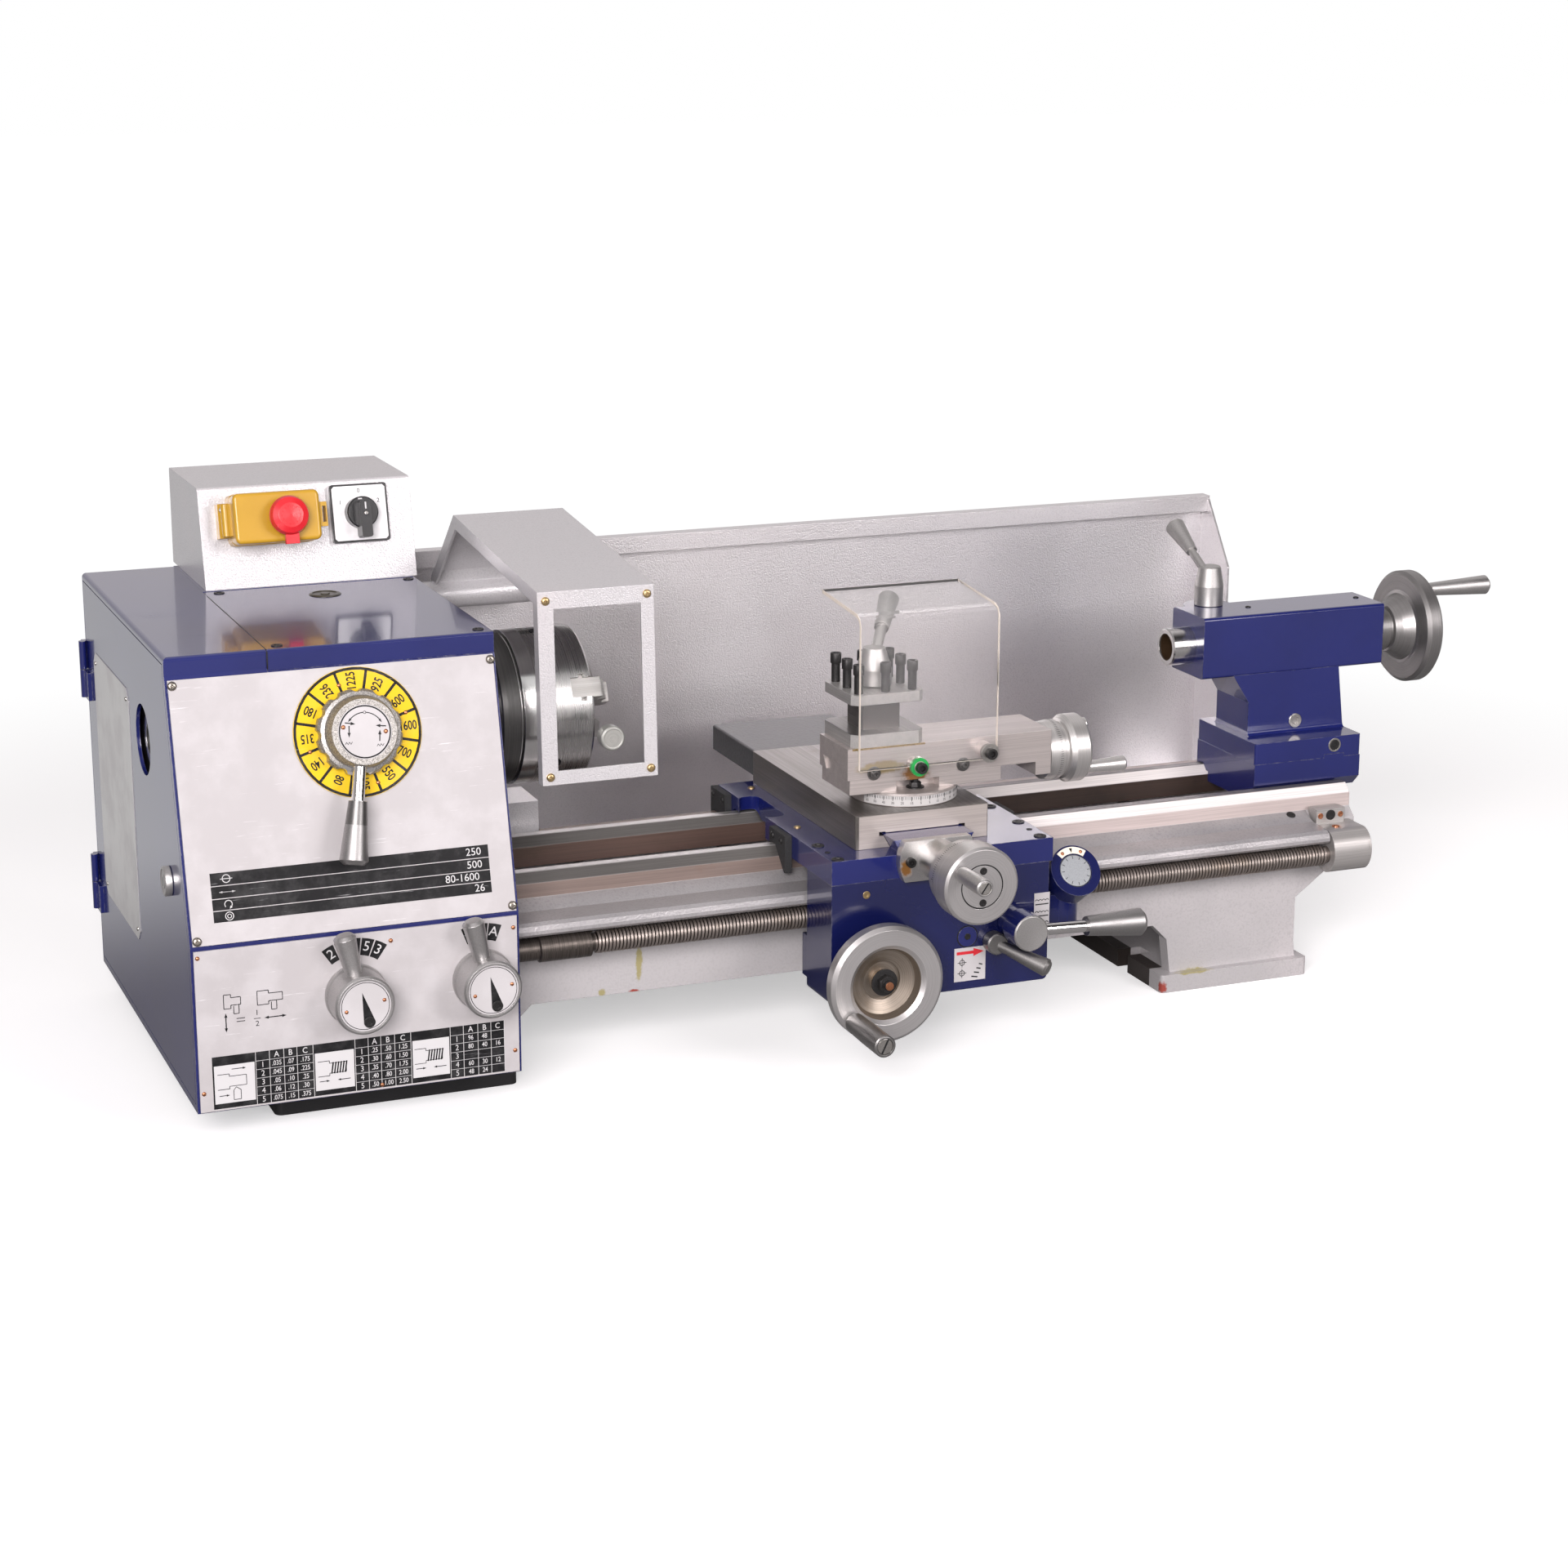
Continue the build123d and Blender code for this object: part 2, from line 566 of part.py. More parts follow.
def motor():
    """Finned motor bolted to the back of the headstock."""
    x0, x1 = -172.0, -10.0
    shell = [(0, 0), (MOTOR_R - 8, 0), (MOTOR_R - 3, 6), (MOTOR_R - 3, 26)]
    x = 26.0
    while x < 128:
        shell += [(MOTOR_R, x), (MOTOR_R, x + 4), (MOTOR_R - 4, x + 4), (MOTOR_R - 4, x + 10)]
        x += 10
    length = x1 - x0
    shell += [(MOTOR_R - 1, x), (MOTOR_R - 1, length - 6), (MOTOR_R - 8, length), (0, length)]
    body = turned(shell, (x0, MOTOR_Y, MOTOR_Z), (1, 0, 0))
    foot = [(HEAD_REAR_Y, MOTOR_Z - 40), (HEAD_REAR_Y + 8, MOTOR_Z - 40), (MOTOR_Y - 30, MOTOR_Z - 26)]
    foot += [(MOTOR_Y - 30, MOTOR_Z + 26), (HEAD_REAR_Y + 8, MOTOR_Z + 40), (HEAD_REAR_Y, MOTOR_Z + 40)]
    body += along_x(foot, -140, -50)
    return body - rod((x0 - 1, MOTOR_Y, MOTOR_Z), (x0 + 32, MOTOR_Y, MOTOR_Z), 9.5 + RUN_FIT)


PULLEY_X = (-HEAD_L - 68, -HEAD_L - 46)


def pulley(radius, hub, y, z):
    """Flanged belt pulley."""
    x0, x1 = PULLEY_X
    width = x1 - x0
    rim = radius + 4
    form = [(hub, 0), (rim, 0), (rim, 1.6), (radius, 1.9), (radius, width - 1.9), (rim, width - 1.6)]
    form += [(rim, width), (hub + 8, width), (hub + 8, width + 8), (hub, width + 8)]
    return turned(form, (x0, y, z), (1, 0, 0))


def motor_pulley():
    """Small pulley with the motor shaft."""
    wheel = pulley(SMALL_PULLEY_R, 0, MOTOR_Y, MOTOR_Z)
    return wheel + rod((PULLEY_X[0] - 4, MOTOR_Y, MOTOR_Z), (-142, MOTOR_Y, MOTOR_Z), 9.5)


def belt_section(r1, r2, gap):
    """Filled outline around both pulleys."""
    span = hypot(MOTOR_Y, MOTOR_Z - AXIS_Z)
    ux, uz = MOTOR_Y / span, (MOTOR_Z - AXIS_Z) / span
    big, small = r1 + gap, r2 + gap
    turn = acos((big - small) / span)
    sides = []
    for s in (1, -1):
        nx = ux * cos(turn) - s * uz * sin(turn)
        nz = s * ux * sin(turn) + uz * cos(turn)
        sides.append(((big * nx, AXIS_Z + big * nz), (MOTOR_Y + small * nx, MOTOR_Z + small * nz)))
    quad = [sides[0][0], sides[0][1], sides[1][1], sides[1][0]]
    x0, x1 = PULLEY_X[0] + 2.6, PULLEY_X[1] - 2.6
    body = along_x(quad, x0, x1)
    body += rod((x0, 0, AXIS_Z), (x1, 0, AXIS_Z), big)
    return body + rod((x0, MOTOR_Y, MOTOR_Z), (x1, MOTOR_Y, MOTOR_Z), small)


def drive_belt():
    """Flat belt around the two pulleys."""
    return belt_section(BIG_PULLEY_R, SMALL_PULLEY_R, 3.2) - belt_section(BIG_PULLEY_R, SMALL_PULLEY_R, 0.4)


def spindle():
    """Hollow spindle with its gear, two bearing seats and the nose flange."""
    tail = CASE_X0 + DOOR_T + 2
    g0, g1 = -HEAD_L - 29, -HEAD_L - 15
    form = [(SPINDLE_BORE_R, tail), (SPINDLE_TAIL_R, tail), (SPINDLE_TAIL_R, g0), (SPINDLE_GEAR_R, g0)]
    form += [(SPINDLE_GEAR_R, g1), (SPINDLE_TAIL_R + 2, g1), (SPINDLE_TAIL_R + 2, -HEAD_L)]
    form += [(SPINDLE_R, -HEAD_L), (SPINDLE_R, 3), (45, 3), (45, NOSE_X), (15.6, NOSE_X)]
    form += [(SPINDLE_BORE_R, NOSE_X - 50)]
    return turned(form, (0, 0, AXIS_Z), (1, 0, 0))


def spindle_bearings():
    """Two ring bearings pressed into the headstock."""
    bore = SPINDLE_R + RUN_FIT
    ring = [(bore, 0), (BEARING_R, 0), (BEARING_R, BEARING_W), (bore, BEARING_W)]
    return [turned(ring, (x, 0, AXIS_Z), (1, 0, 0)) for x in (-HEAD_L + 10, -BEARING_W - 10)]


def change_gear(y, z, radius):
    """Spoked change gear blank running on its stud."""
    bore = STUD_R + RUN_FIT
    width = 14.0
    form = [(bore, -2), (bore + 8, -2), (bore + 8, 4), (radius - 7, 4), (radius - 7, 0), (radius, 0)]
    form += [(radius, width), (radius - 7, width), (radius - 7, 10), (bore + 8, 10), (bore + 8, width)]
    form += [(bore, width)]
    gear = turned(form, (-HEAD_L - 29, y, z), (1, 0, 0))
    hole_r = (radius - bore - 15) / 2 - 2
    ring_r = bore + 8 + 2 + hole_r
    if hole_r > 4:
        for i in range(5):
            a = radians(72 * i)
            p = (y + ring_r * cos(a), z + ring_r * sin(a))
            gear -= rod((-HEAD_L - 40, *p), (-HEAD_L, *p), hole_r)
    return gear


def jaw_frame(index):
    """Plane whose X runs outwards along a jaw slot and whose Z runs along the spindle."""
    a = radians(JAW_TILT + 120 * index)
    return Plane(origin=(0, 0, AXIS_Z), x_dir=(0, -cos(a), sin(a)), z_dir=(1, 0, 0))


def chuck():
    """Chuck body on its backplate, with three guideways and three key sockets."""
    form = [(16, NOSE_X), (CHUCK_R - 2, NOSE_X), (CHUCK_R - 1, NOSE_X + 1), (CHUCK_R - 1, NOSE_X + 15)]
    form += [(CHUCK_R - 3, NOSE_X + 15), (CHUCK_R - 3, NOSE_X + 17), (CHUCK_R, NOSE_X + 18)]
    form += [(CHUCK_R, CHUCK_FACE - 2), (CHUCK_R - 2, CHUCK_FACE), (18, CHUCK_FACE), (16, CHUCK_FACE - 2)]
    body = turned(form, (0, 0, AXIS_Z), (1, 0, 0))
    half = JAW_W / 2 + SLIDE_FIT / 2
    for i in range(3):
        place = jaw_frame(i).location
        body -= place * box(0, CHUCK_R + 5, -half, half, CHUCK_FACE - 18, CHUCK_FACE + 1)
        body -= place * box(0, CHUCK_R + 5, -half - 3, half + 3, CHUCK_FACE - 11, CHUCK_FACE - 6)
        key = Plane(origin=(NOSE_X + 36, 0, AXIS_Z), x_dir=(1, 0, 0), z_dir=jaw_frame(i).x_dir * -1)
        body -= key.location * box(-5, 5, -5, 5, CHUCK_R - 16, CHUCK_R + 3)
    return body


def jaw(index):
    """Stepped chuck jaw with its guide ribs."""
    face = CHUCK_FACE
    steps = [(14, face - 17.6), (58, face - 17.6), (58, face + 8), (44, face + 8), (44, face + 15)]
    steps += [(30, face + 15), (30, face + 22), (17, face + 22), (14, face + 19)]
    half = JAW_W / 2
    body = along_y(steps, -half, half)
    body += box(16, 57, -half - 2.9, half + 2.9, face - 10.8, face - 6.2)
    return jaw_frame(index).location * body


GUARD_LINE = ((-97.0, HEAD_TOP - 127), (-90.0, HEAD_TOP + 26), (138.0, HEAD_TOP + 48), (207.0, HEAD_TOP - 15))


def strip(a, b, width):
    """Four corners of a strip that lies to the right of the way from a to b."""
    length = hypot(b[0] - a[0], b[1] - a[1])
    n = ((b[1] - a[1]) / length * width, -(b[0] - a[0]) / length * width)
    return [a, b, (b[0] + n[0], b[1] + n[1]), (a[0] + n[0], a[1] + n[1])]


def guard():
    """Bent sheet guard over the chuck with side flanges, window frame and pivot pin."""
    front, top, rear, foot = GUARD_LINE
    body = along_x(strip(front, top, GUARD_T), GUARD_X0, GUARD_X1)
    body += along_x(strip(top, rear, GUARD_T), GUARD_X0, GUARD_X1)
    body += along_x(strip(rear, foot, GUARD_T), GUARD_X0, GUARD_X1)
    for x in (GUARD_X0, GUARD_X1 - GUARD_T):
        for a, b in ((front, top), (top, rear), (rear, foot)):
            body += along_x(strip(a, b, 11), x, x + GUARD_T)
    web = [(PIVOT_Y - 1, PIVOT_Z), (PIVOT_Y - 6, HEAD_TOP - 8), (PIVOT_Y - 2, HEAD_TOP - 9)]
    web += [(PIVOT_Y + 6, HEAD_TOP - 17), (PIVOT_Y + 8, PIVOT_Z)]
    body += along_x(web, GUARD_X0, GUARD_X1)
    body += rod((8, PIVOT_Y, PIVOT_Z), (GUARD_X1, PIVOT_Y, PIVOT_Z), PIN_R + 4)
    body += rod((FREE - PIN_SEAT, PIVOT_Y, PIVOT_Z), (GUARD_X0, PIVOT_Y, PIVOT_Z), PIN_R)
    return body - box(GUARD_X0 + 13, GUARD_X1 - 11, -110, -80, HEAD_TOP - 116, HEAD_TOP + 12)


def guard_window():
    """Clear pane behind the guard frame with its turned lifting knob."""
    (y0, z0), (y1, z1) = GUARD_LINE[0], GUARD_LINE[1]
    length = hypot(y1 - y0, z1 - z0)
    u = ((y1 - y0) / length, (z1 - z0) / length)
    inner = (y0 + u[1] * GUARD_T, z0 - u[0] * GUARD_T)
    low = (inner[0] + u[0] * 4, inner[1] + u[1] * 4)
    high = (inner[0] + u[0] * 147, inner[1] + u[1] * 147)
    pane = along_x(strip(low, high, 3), GUARD_X0 + 4.5, GUARD_X1 - 4.5)
    mid = (90, inner[0] + u[0] * 37, inner[1] + u[1] * 37)
    knob = [(0, -1), (6, -1), (6, 8), (9.5, 10), (9.5, 20), (8.5, 21), (0, 21)]
    return pane + turned(knob, mid, (0, -u[1], u[0]))


def splash_guard():
    """Folded sheet behind the bed with a rolled top, a side wing and a rear pan."""
    back = SPLASH_Y + 2
    body = box(5, SPLASH_END, SPLASH_Y, back, 88, HEAD_TOP)
    body += box(5, SPLASH_END, back - 14, back, HEAD_TOP - 2, HEAD_TOP)
    body += box(5, SPLASH_END, back - 14, back - 12, HEAD_TOP - 15, HEAD_TOP)
    wing = [(back, 88), (back, HEAD_TOP), (back - 12, HEAD_TOP), (back - 56, HEAD_TOP - 62), (back - 56, 88)]
    body += along_x(wing, SPLASH_END - 2, SPLASH_END)
    body += box(5, SPLASH_END, WALL_OUT, back, 88, 90)
    return body + box(5, BED_END, WALL_OUT, WALL_OUT + 2, 66, 90)


def leadscrew():
    """Leadscrew blank with its coupling sleeve and end journal."""
    form = [(0, -19), (SCREW_R, -19), (SCREW_R, 26), (11, 27), (11, 69), (SCREW_R - 1.5, 70)]
    form += [(SCREW_R - 1.5, 73), (SCREW_R, 74), (SCREW_R, BRACKET_X - 5), (JOURNAL_R, BRACKET_X - 4)]
    form += [(JOURNAL_R, BRACKET_X + 34), (0, BRACKET_X + 34)]
    return turned(form, (0, SCREW_Y, SCREW_Z), (1, 0, 0))


def leadscrew_bracket():
    """Round bearing housing with the block that bolts it to the bed."""
    x0, x1 = BRACKET_X, BED_END - 0.5
    form = [(JOURNAL_R + RUN_FIT, 0), (20, 0), (21, 1), (21, x1 - x0 - 2), (19, x1 - x0), (0, x1 - x0)]
    form += [(0, 36), (JOURNAL_R + RUN_FIT, 36)]
    body = turned(form, (x0, SCREW_Y, SCREW_Z), (1, 0, 0))
    lug = [(-WALL_OUT, 122), (-WALL_OUT, 138), (-BED_HALF_W - 3, 145), (-BED_HALF_W - 3, 150), (-92, 150)]
    lug += [(-112, 137), (-112, SCREW_Z + 15), (-100, SCREW_Z + 15)]
    return body + along_x(lug, x0, x0 + 32)


def saddle():
    """Bridge casting on the ways with the dovetail for the cross slide."""
    outline = [(APRON_Y, SADDLE_SPLIT), (APRON_Y, SADDLE_TOP), (80, SADDLE_TOP), (80, BED_Z + SLIDE_FIT)]
    outline += [(52, BED_Z + SLIDE_FIT), (52, 160), (20, 160), (-52, 160), (-60, SADDLE_SPLIT)]
    body = along_x(outline, SADDLE_X0, SADDLE_X1)
    body -= along_x(ridge(FRONT_RIDGE, SLIDE_FIT, 1, 2), SADDLE_X0 - 1, SADDLE_X1 + 1)
    body -= along_x(ridge(REAR_RIDGE, 2, 2, 2), SADDLE_X0 - 1, SADDLE_X1 + 1)
    for x0, x1 in ((SADDLE_X0 - 1, SADDLE_X0 + 18), (SADDLE_X1 - 18, SADDLE_X1 + 1)):
        body -= rounded(box(x0, x1, -34, 34, 140, 190), Axis.Z, 8)
    half = DOVE_W / 2
    foot = half - 7
    dove = [(CROSS_X - foot, SADDLE_TOP - 2), (CROSS_X - foot, SADDLE_TOP)]
    dove += [(CROSS_X - half, SADDLE_TOP + DOVE_H), (CROSS_X + half, SADDLE_TOP + DOVE_H)]
    dove += [(CROSS_X + foot, SADDLE_TOP), (CROSS_X + foot, SADDLE_TOP - 2)]
    body += along_y(dove, APRON_Y, 80)
    return body - rod((CROSS_X, APRON_Y - 1, CROSS_SCREW_Z), (CROSS_X, 62, CROSS_SCREW_Z), 7)


def way_wipers():
    """Four felt wipers in black holders at the saddle corners."""
    front = [(-89, 147), (-89, SADDLE_TOP - 1), (-54, SADDLE_TOP - 1), (-54, 150), (-76, 147)]
    rear = [(48, 150), (48, SADDLE_TOP - 1), (82, SADDLE_TOP - 1), (82, 150)]
    solids = []
    for x0 in (SADDLE_X0 - 6, SADDLE_X1):
        pad = along_x(front, x0, x0 + 6) - along_x(ridge(FRONT_RIDGE, 0.5, 0.6, 14), x0 - 1, x0 + 7)
        solids.append(pad - box(x0 - 1, x0 + 7, -BED_HALF_W - 0.6, 0, 100, BED_Z + 0.6))
        pad = along_x(rear, x0, x0 + 6) - box(x0 - 1, x0 + 7, 40, BED_HALF_W + 0.6, 100, BED_Z + 0.6)
        solids.append(pad - along_x(ridge(REAR_RIDGE, 0.6, 0.6, 2), x0 - 1, x0 + 7))
    return solids


DIAL_TILT = radians(35)


def thread_dial_plane(out=0.0):
    """Plane of the thread dial face, raised by out."""
    n = (0, -cos(DIAL_TILT), sin(DIAL_TILT))
    origin = (THREAD_DIAL_X, -166 + n[1] * out, 146 + n[2] * out)
    return Plane(origin=origin, x_dir=(1, 0, 0), z_dir=n)


def apron():
    """Gear housing under the saddle with the thread dial housing on its right side."""
    body = box(SADDLE_X0, SADDLE_X1 - 3, APRON_Y, APRON_BACK_Y, APRON_Z0, SADDLE_SPLIT)
    body = fillet(body.edges().filter_by(Axis.Y).group_by(Axis.Z)[0], 4)
    body += box(SADDLE_X0 + 6, SADDLE_X1 - 9, APRON_BACK_Y - 1, -98, APRON_Z0 + 4, SCREW_Z - SCREW_R - 8)
    x = THREAD_DIAL_X - 5
    body += box(SADDLE_X1 - 8, x, -162, -138, 98, 126)
    body += turned([(0, 0), (10, 0), (14, 5), (14, 44), (0, 44)], (x, -150, 94), (0, 0, 1))
    rim = THREAD_DIAL_R + THREAD_DIAL_RIM
    head = turned([(0, -24), (rim - 3.5, -24), (rim, -20), (rim, 0), (0, 0)], (0, 0, 0), (0, 0, 1))
    body += thread_dial_plane().location * head
    edge = THREAD_DIAL_R + 0.4
    well = turned([(0, -2.6), (edge, -2.6), (edge, 1), (0, 1)], (0, 0, 0), (0, 0, 1))
    body -= thread_dial_plane().location * well
    for px, pz, r in ((WHEEL_X, WHEEL_Z, 8), (HALF_NUT_X, HALF_NUT_Z, 7), (FEED_LEVER_X, FEED_LEVER_Z, 5)):
        body -= rod((px, APRON_Y - 1, pz), (px, APRON_Y + 26, pz), r + RUN_FIT)
    return body


def thread_dial():
    """Turning disc in the thread dial housing."""
    r = THREAD_DIAL_R
    disc = turned([(0, -2.2), (r, -2.2), (r, -0.3), (r - 0.5, 0.2), (0, 0.2)], (0, 0, 0), (0, 0, 1))
    return thread_dial_plane().location * disc


GRIP_A = radians(222)
GRIP_X = WHEEL_X + 40 * cos(GRIP_A)
GRIP_Z = WHEEL_Z + 40 * sin(GRIP_A)


def carriage_handwheel():
    """Dished handwheel on its shaft, with the pin for the revolving handle."""
    gap = APRON_Y - WHEEL_Y
    form = [(0, -24), (8, -24), (8, 0.4), (15, 0.4), (15, 14), (30, gap - 14), (44, gap - 15)]
    form += [(WHEEL_R - 1, gap - 14), (WHEEL_R, gap - 12), (WHEEL_R, gap - 3), (WHEEL_R - 3, gap)]
    form += [(33, gap), (29.5, gap - 3), (27, gap - 10), (16, gap - 14), (16, gap - 16), (9, gap - 16)]
    form += [(9, gap - 9), (0, gap - 9)]
    wheel = turned(form, (WHEEL_X, APRON_Y, WHEEL_Z), (0, -1, 0))
    end = WHEEL_Y - WHEEL_HANDLE_L + HANDLE_SEAT
    return wheel + rod((GRIP_X, WHEEL_Y + 4, GRIP_Z), (GRIP_X, end, GRIP_Z), 4)


def revolving_handle(x, y, z, length, radius):
    """Straight handle that turns on a pin, with a seat for the screw that holds it."""
    bore = 4 + RUN_FIT
    seat = 0.74 * radius
    form = [(bore, 0.5), (radius - 1.5, 0.5), (radius - 0.6, 3), (radius, 0.5 * length), (radius, length - 1)]
    form += [(radius - 1, length), (seat, length), (seat, length - HANDLE_SEAT), (bore, length - HANDLE_SEAT)]
    return turned(form, (x, y, z), (0, -1, 0))


def half_nut_lever():
    """Hub on the apron with a rod and a tapered grip pointing right."""
    hub = [(0, -22), (7, -22), (7, 0.4), (12.5, 0.4), (12.5, 12), (15, 15), (15, 36), (14, 37), (0, 37)]
    body = turned(hub, (HALF_NUT_X, APRON_Y, HALF_NUT_Z), (0, -1, 0))
    y = APRON_Y - 29
    body += rod((HALF_NUT_X + 8, y, HALF_NUT_Z), (HALF_NUT_X + 56, y, HALF_NUT_Z - 2), 5)
    tip = (HALF_NUT_X + 105, y, HALF_NUT_Z - 4)
    return body + tapered((HALF_NUT_X + 53, y, HALF_NUT_Z - 2), tip, 8, 11.5)


def feed_lever():
    """Short lever with a ball-ended grip that leans out from the apron."""
    hub = [(0, -20), (5, -20), (5, 0.4), (9, 0.4), (9, 10), (8, 11), (0, 11)]
    body = turned(hub, (FEED_LEVER_X, APRON_Y, FEED_LEVER_Z), (0, -1, 0))
    foot = (FEED_LEVER_X + 1, APRON_Y - 6, FEED_LEVER_Z - 1)
    tip = (FEED_LEVER_X + 31, APRON_Y - 41, FEED_LEVER_Z - 15)
    return body + tapered(foot, tip, 4.2, 7.5)


def dove_slot(grow):
    """Section of the saddle dovetail grown by a clearance."""
    half = DOVE_W / 2 + grow
    foot = half - 7
    top = SADDLE_TOP + DOVE_H + 0.4
    low = SADDLE_TOP - 1
    return [(CROSS_X - foot, low), (CROSS_X - foot, SADDLE_TOP), (CROSS_X - half, top),
            (CROSS_X + half, top), (CROSS_X + foot, SADDLE_TOP), (CROSS_X + foot, low)]


def cross_slide():
    """Ground slide on the saddle dovetail, relieved in the corners of its slot."""
    body = box(CROSS_X0, CROSS_X1, CROSS_Y0, CROSS_Y1, SADDLE_TOP + SLIDE_FIT, CROSS_TOP)
    body = chamfer(body.edges().filter_by(Axis.Z), 1)
    body -= along_y(dove_slot(0.3), CROSS_Y0 - 1, CROSS_Y1 + 1)
    top = SADDLE_TOP + DOVE_H
    for x in (CROSS_X - DOVE_W / 2, CROSS_X + DOVE_W / 2):
        body -= box(x - DOVE_RELIEF, x + DOVE_RELIEF, CROSS_Y0 - 1, CROSS_Y1 + 1, top - 2, top + 1.2)
    return body


def cross_cover():
    """Black folded cover behind the cross slide."""
    x0, x1 = CROSS_X0 + 1, CROSS_X1 - 1
    y1 = CROSS_Y1 + 99
    body = box(x0, x1, CROSS_Y1, y1, SADDLE_TOP + 6, CROSS_TOP)
    body = fillet(body.edges().filter_by(Axis.Y).group_by(Axis.Z)[-1], 2)
    return body - box(x0 + 2, x1 - 2, CROSS_Y1 - 1, y1 - 2, SADDLE_TOP, CROSS_TOP - 2)


def cross_bracket():
    """Round flange with two flats, and the barrel on it that carries the cross screw."""
    z = CROSS_SCREW_Z
    flange = Plane.XZ * (Circle(BRACKET_R) & Rectangle(2 * BRACKET_R, 2 * BRACKET_HALF_H))
    body = Pos(CROSS_X, APRON_Y - 8, z) * extrude(flange, amount=8, dir=(0, 1, 0))
    r = BRACKET_HALF_H
    form = [(0, 7), (r, 7), (r, 40), (r - 2, 42), (0, 42)]
    body += turned(form, (CROSS_X, APRON_Y, z), (0, -1, 0))
    return body - rod((CROSS_X, APRON_Y + 2, z), (CROSS_X, APRON_Y - 60, z), 6 + RUN_FIT)


CROSS_GRIP_A = radians(145)
CROSS_GRIP_X = CROSS_X + 22 * cos(CROSS_GRIP_A)
CROSS_GRIP_Z = CROSS_SCREW_Z + 22 * sin(CROSS_GRIP_A)


def cross_handwheel():
    """Cross feed wheel with its graduated collar, long screw and handle pin."""
    face = APRON_Y - CROSS_WHEEL_Y
    r = CROSS_WHEEL_R
    form = [(0, -220), (6, -220), (6, 42.5), (16, 42.5), (24, 46), (28, 52), (28, 62), (26.5, 63)]
    form += [(26.5, 65), (r - 1, 66), (r, 67), (r, face - 2), (r - 2, face), (0, face)]
    wheel = turned(form, (CROSS_X, APRON_Y, CROSS_SCREW_Z), (0, -1, 0))
    ring = turned([(17, face - 1), (18, face - 1), (18, face + 1), (17, face + 1)],
                  (CROSS_X, APRON_Y, CROSS_SCREW_Z), (0, -1, 0))
    wheel -= ring
    pin = (CROSS_GRIP_X, CROSS_WHEEL_Y + 4, CROSS_GRIP_Z)
    end = CROSS_WHEEL_Y - CROSS_HANDLE_L + HANDLE_SEAT
    return wheel + rod(pin, (CROSS_GRIP_X, end, CROSS_GRIP_Z), 4)


def swivel_base():
    """Graduated disc with the lower dovetail slide of the compound."""
    body = turned([(0, 0), (SWIVEL_R, 0), (SWIVEL_R, SWIVEL_TOP - CROSS_TOP - 1.2),
                   (SWIVEL_R - 1, SWIVEL_TOP - CROSS_TOP - 0.2), (0, SWIVEL_TOP - CROSS_TOP - 0.2)],
                  (SWIVEL_X, SWIVEL_Y, CROSS_TOP + 0.2), (0, 0, 1))
    y0, y1 = SWIVEL_Y - TOP_HALF_W, SWIVEL_Y + TOP_HALF_W
    x0, x1 = TOP_X0 + 2, TOP_X0 + 2 + SWIVEL_BLOCK_L
    block = box(x0, x1, y0 + 0.2, y1 - 0.2, SWIVEL_TOP - 0.1, TOP_SPLIT)
    body += block - box(SWIVEL_X - 19, SWIVEL_X + 19, y0 - 1, y0 + 12, SWIVEL_TOP, SWIVEL_TOP + 8)
    half = 15.0
    dove = [(SWIVEL_Y - half, TOP_SPLIT - 1), (SWIVEL_Y - half, TOP_SPLIT)]
    dove += [(SWIVEL_Y - half - 6, TOP_SPLIT + 10), (SWIVEL_Y + half + 6, TOP_SPLIT + 10)]
    dove += [(SWIVEL_Y + half, TOP_SPLIT), (SWIVEL_Y + half, TOP_SPLIT - 1)]
    body += along_x(dove, x0, x1)
    return body - rod((x0 + 18, SWIVEL_Y, TOP_SCREW_Z), (TOP_X1, SWIVEL_Y, TOP_SCREW_Z), 6)


SHIELD_Y = SWIVEL_Y - TOP_HALF_W - 10.5
SHIELD_PIVOT_X = 403.0
SHIELD_PIVOT_Z = 246.0


def top_slide():
    """Upper slide of the compound with its end plate, the tool post stud and the shield pins."""
    y0, y1 = SWIVEL_Y - TOP_HALF_W, SWIVEL_Y + TOP_HALF_W
    body = box(TOP_X0, TOP_X1, y0, y1, TOP_SPLIT + SLIDE_FIT, TOP_Z)
    half = 15.3
    slot = [(SWIVEL_Y - half, TOP_SPLIT - 1), (SWIVEL_Y - half, TOP_SPLIT)]
    slot += [(SWIVEL_Y - half - 6.2, TOP_SPLIT + 10.4), (SWIVEL_Y + half + 6.2, TOP_SPLIT + 10.4)]
    slot += [(SWIVEL_Y + half, TOP_SPLIT), (SWIVEL_Y + half, TOP_SPLIT - 1)]
    body -= along_x(slot, TOP_X0 - 1, TOP_X1 - 14)
    body += box(TOP_X1 - 14, TOP_X1, y0, y1, TOP_SPLIT - 11, TOP_Z)
    body -= rod((TOP_X1 - 30, SWIVEL_Y, TOP_SCREW_Z), (TOP_X1 + 1, SWIVEL_Y, TOP_SCREW_Z), 5 + RUN_FIT)
    body += rod((POST_X, POST_Y, TOP_Z - 6), (POST_X, POST_Y, TOP_Z + POST_H + 20), 9)
    px, pz = SHIELD_PIVOT_X, SHIELD_PIVOT_Z
    body += rod((px, y0 + 4, pz), (px, SHIELD_Y + 0.2, pz), 7)
    body += rod((px, y0 + 4, pz), (px, SHIELD_Y - SHIELD_T - 1.5, pz), 4)
    return body + rod((341, y0 + 4, 240), (341, SHIELD_Y - SHIELD_T - 2, 240), 5)


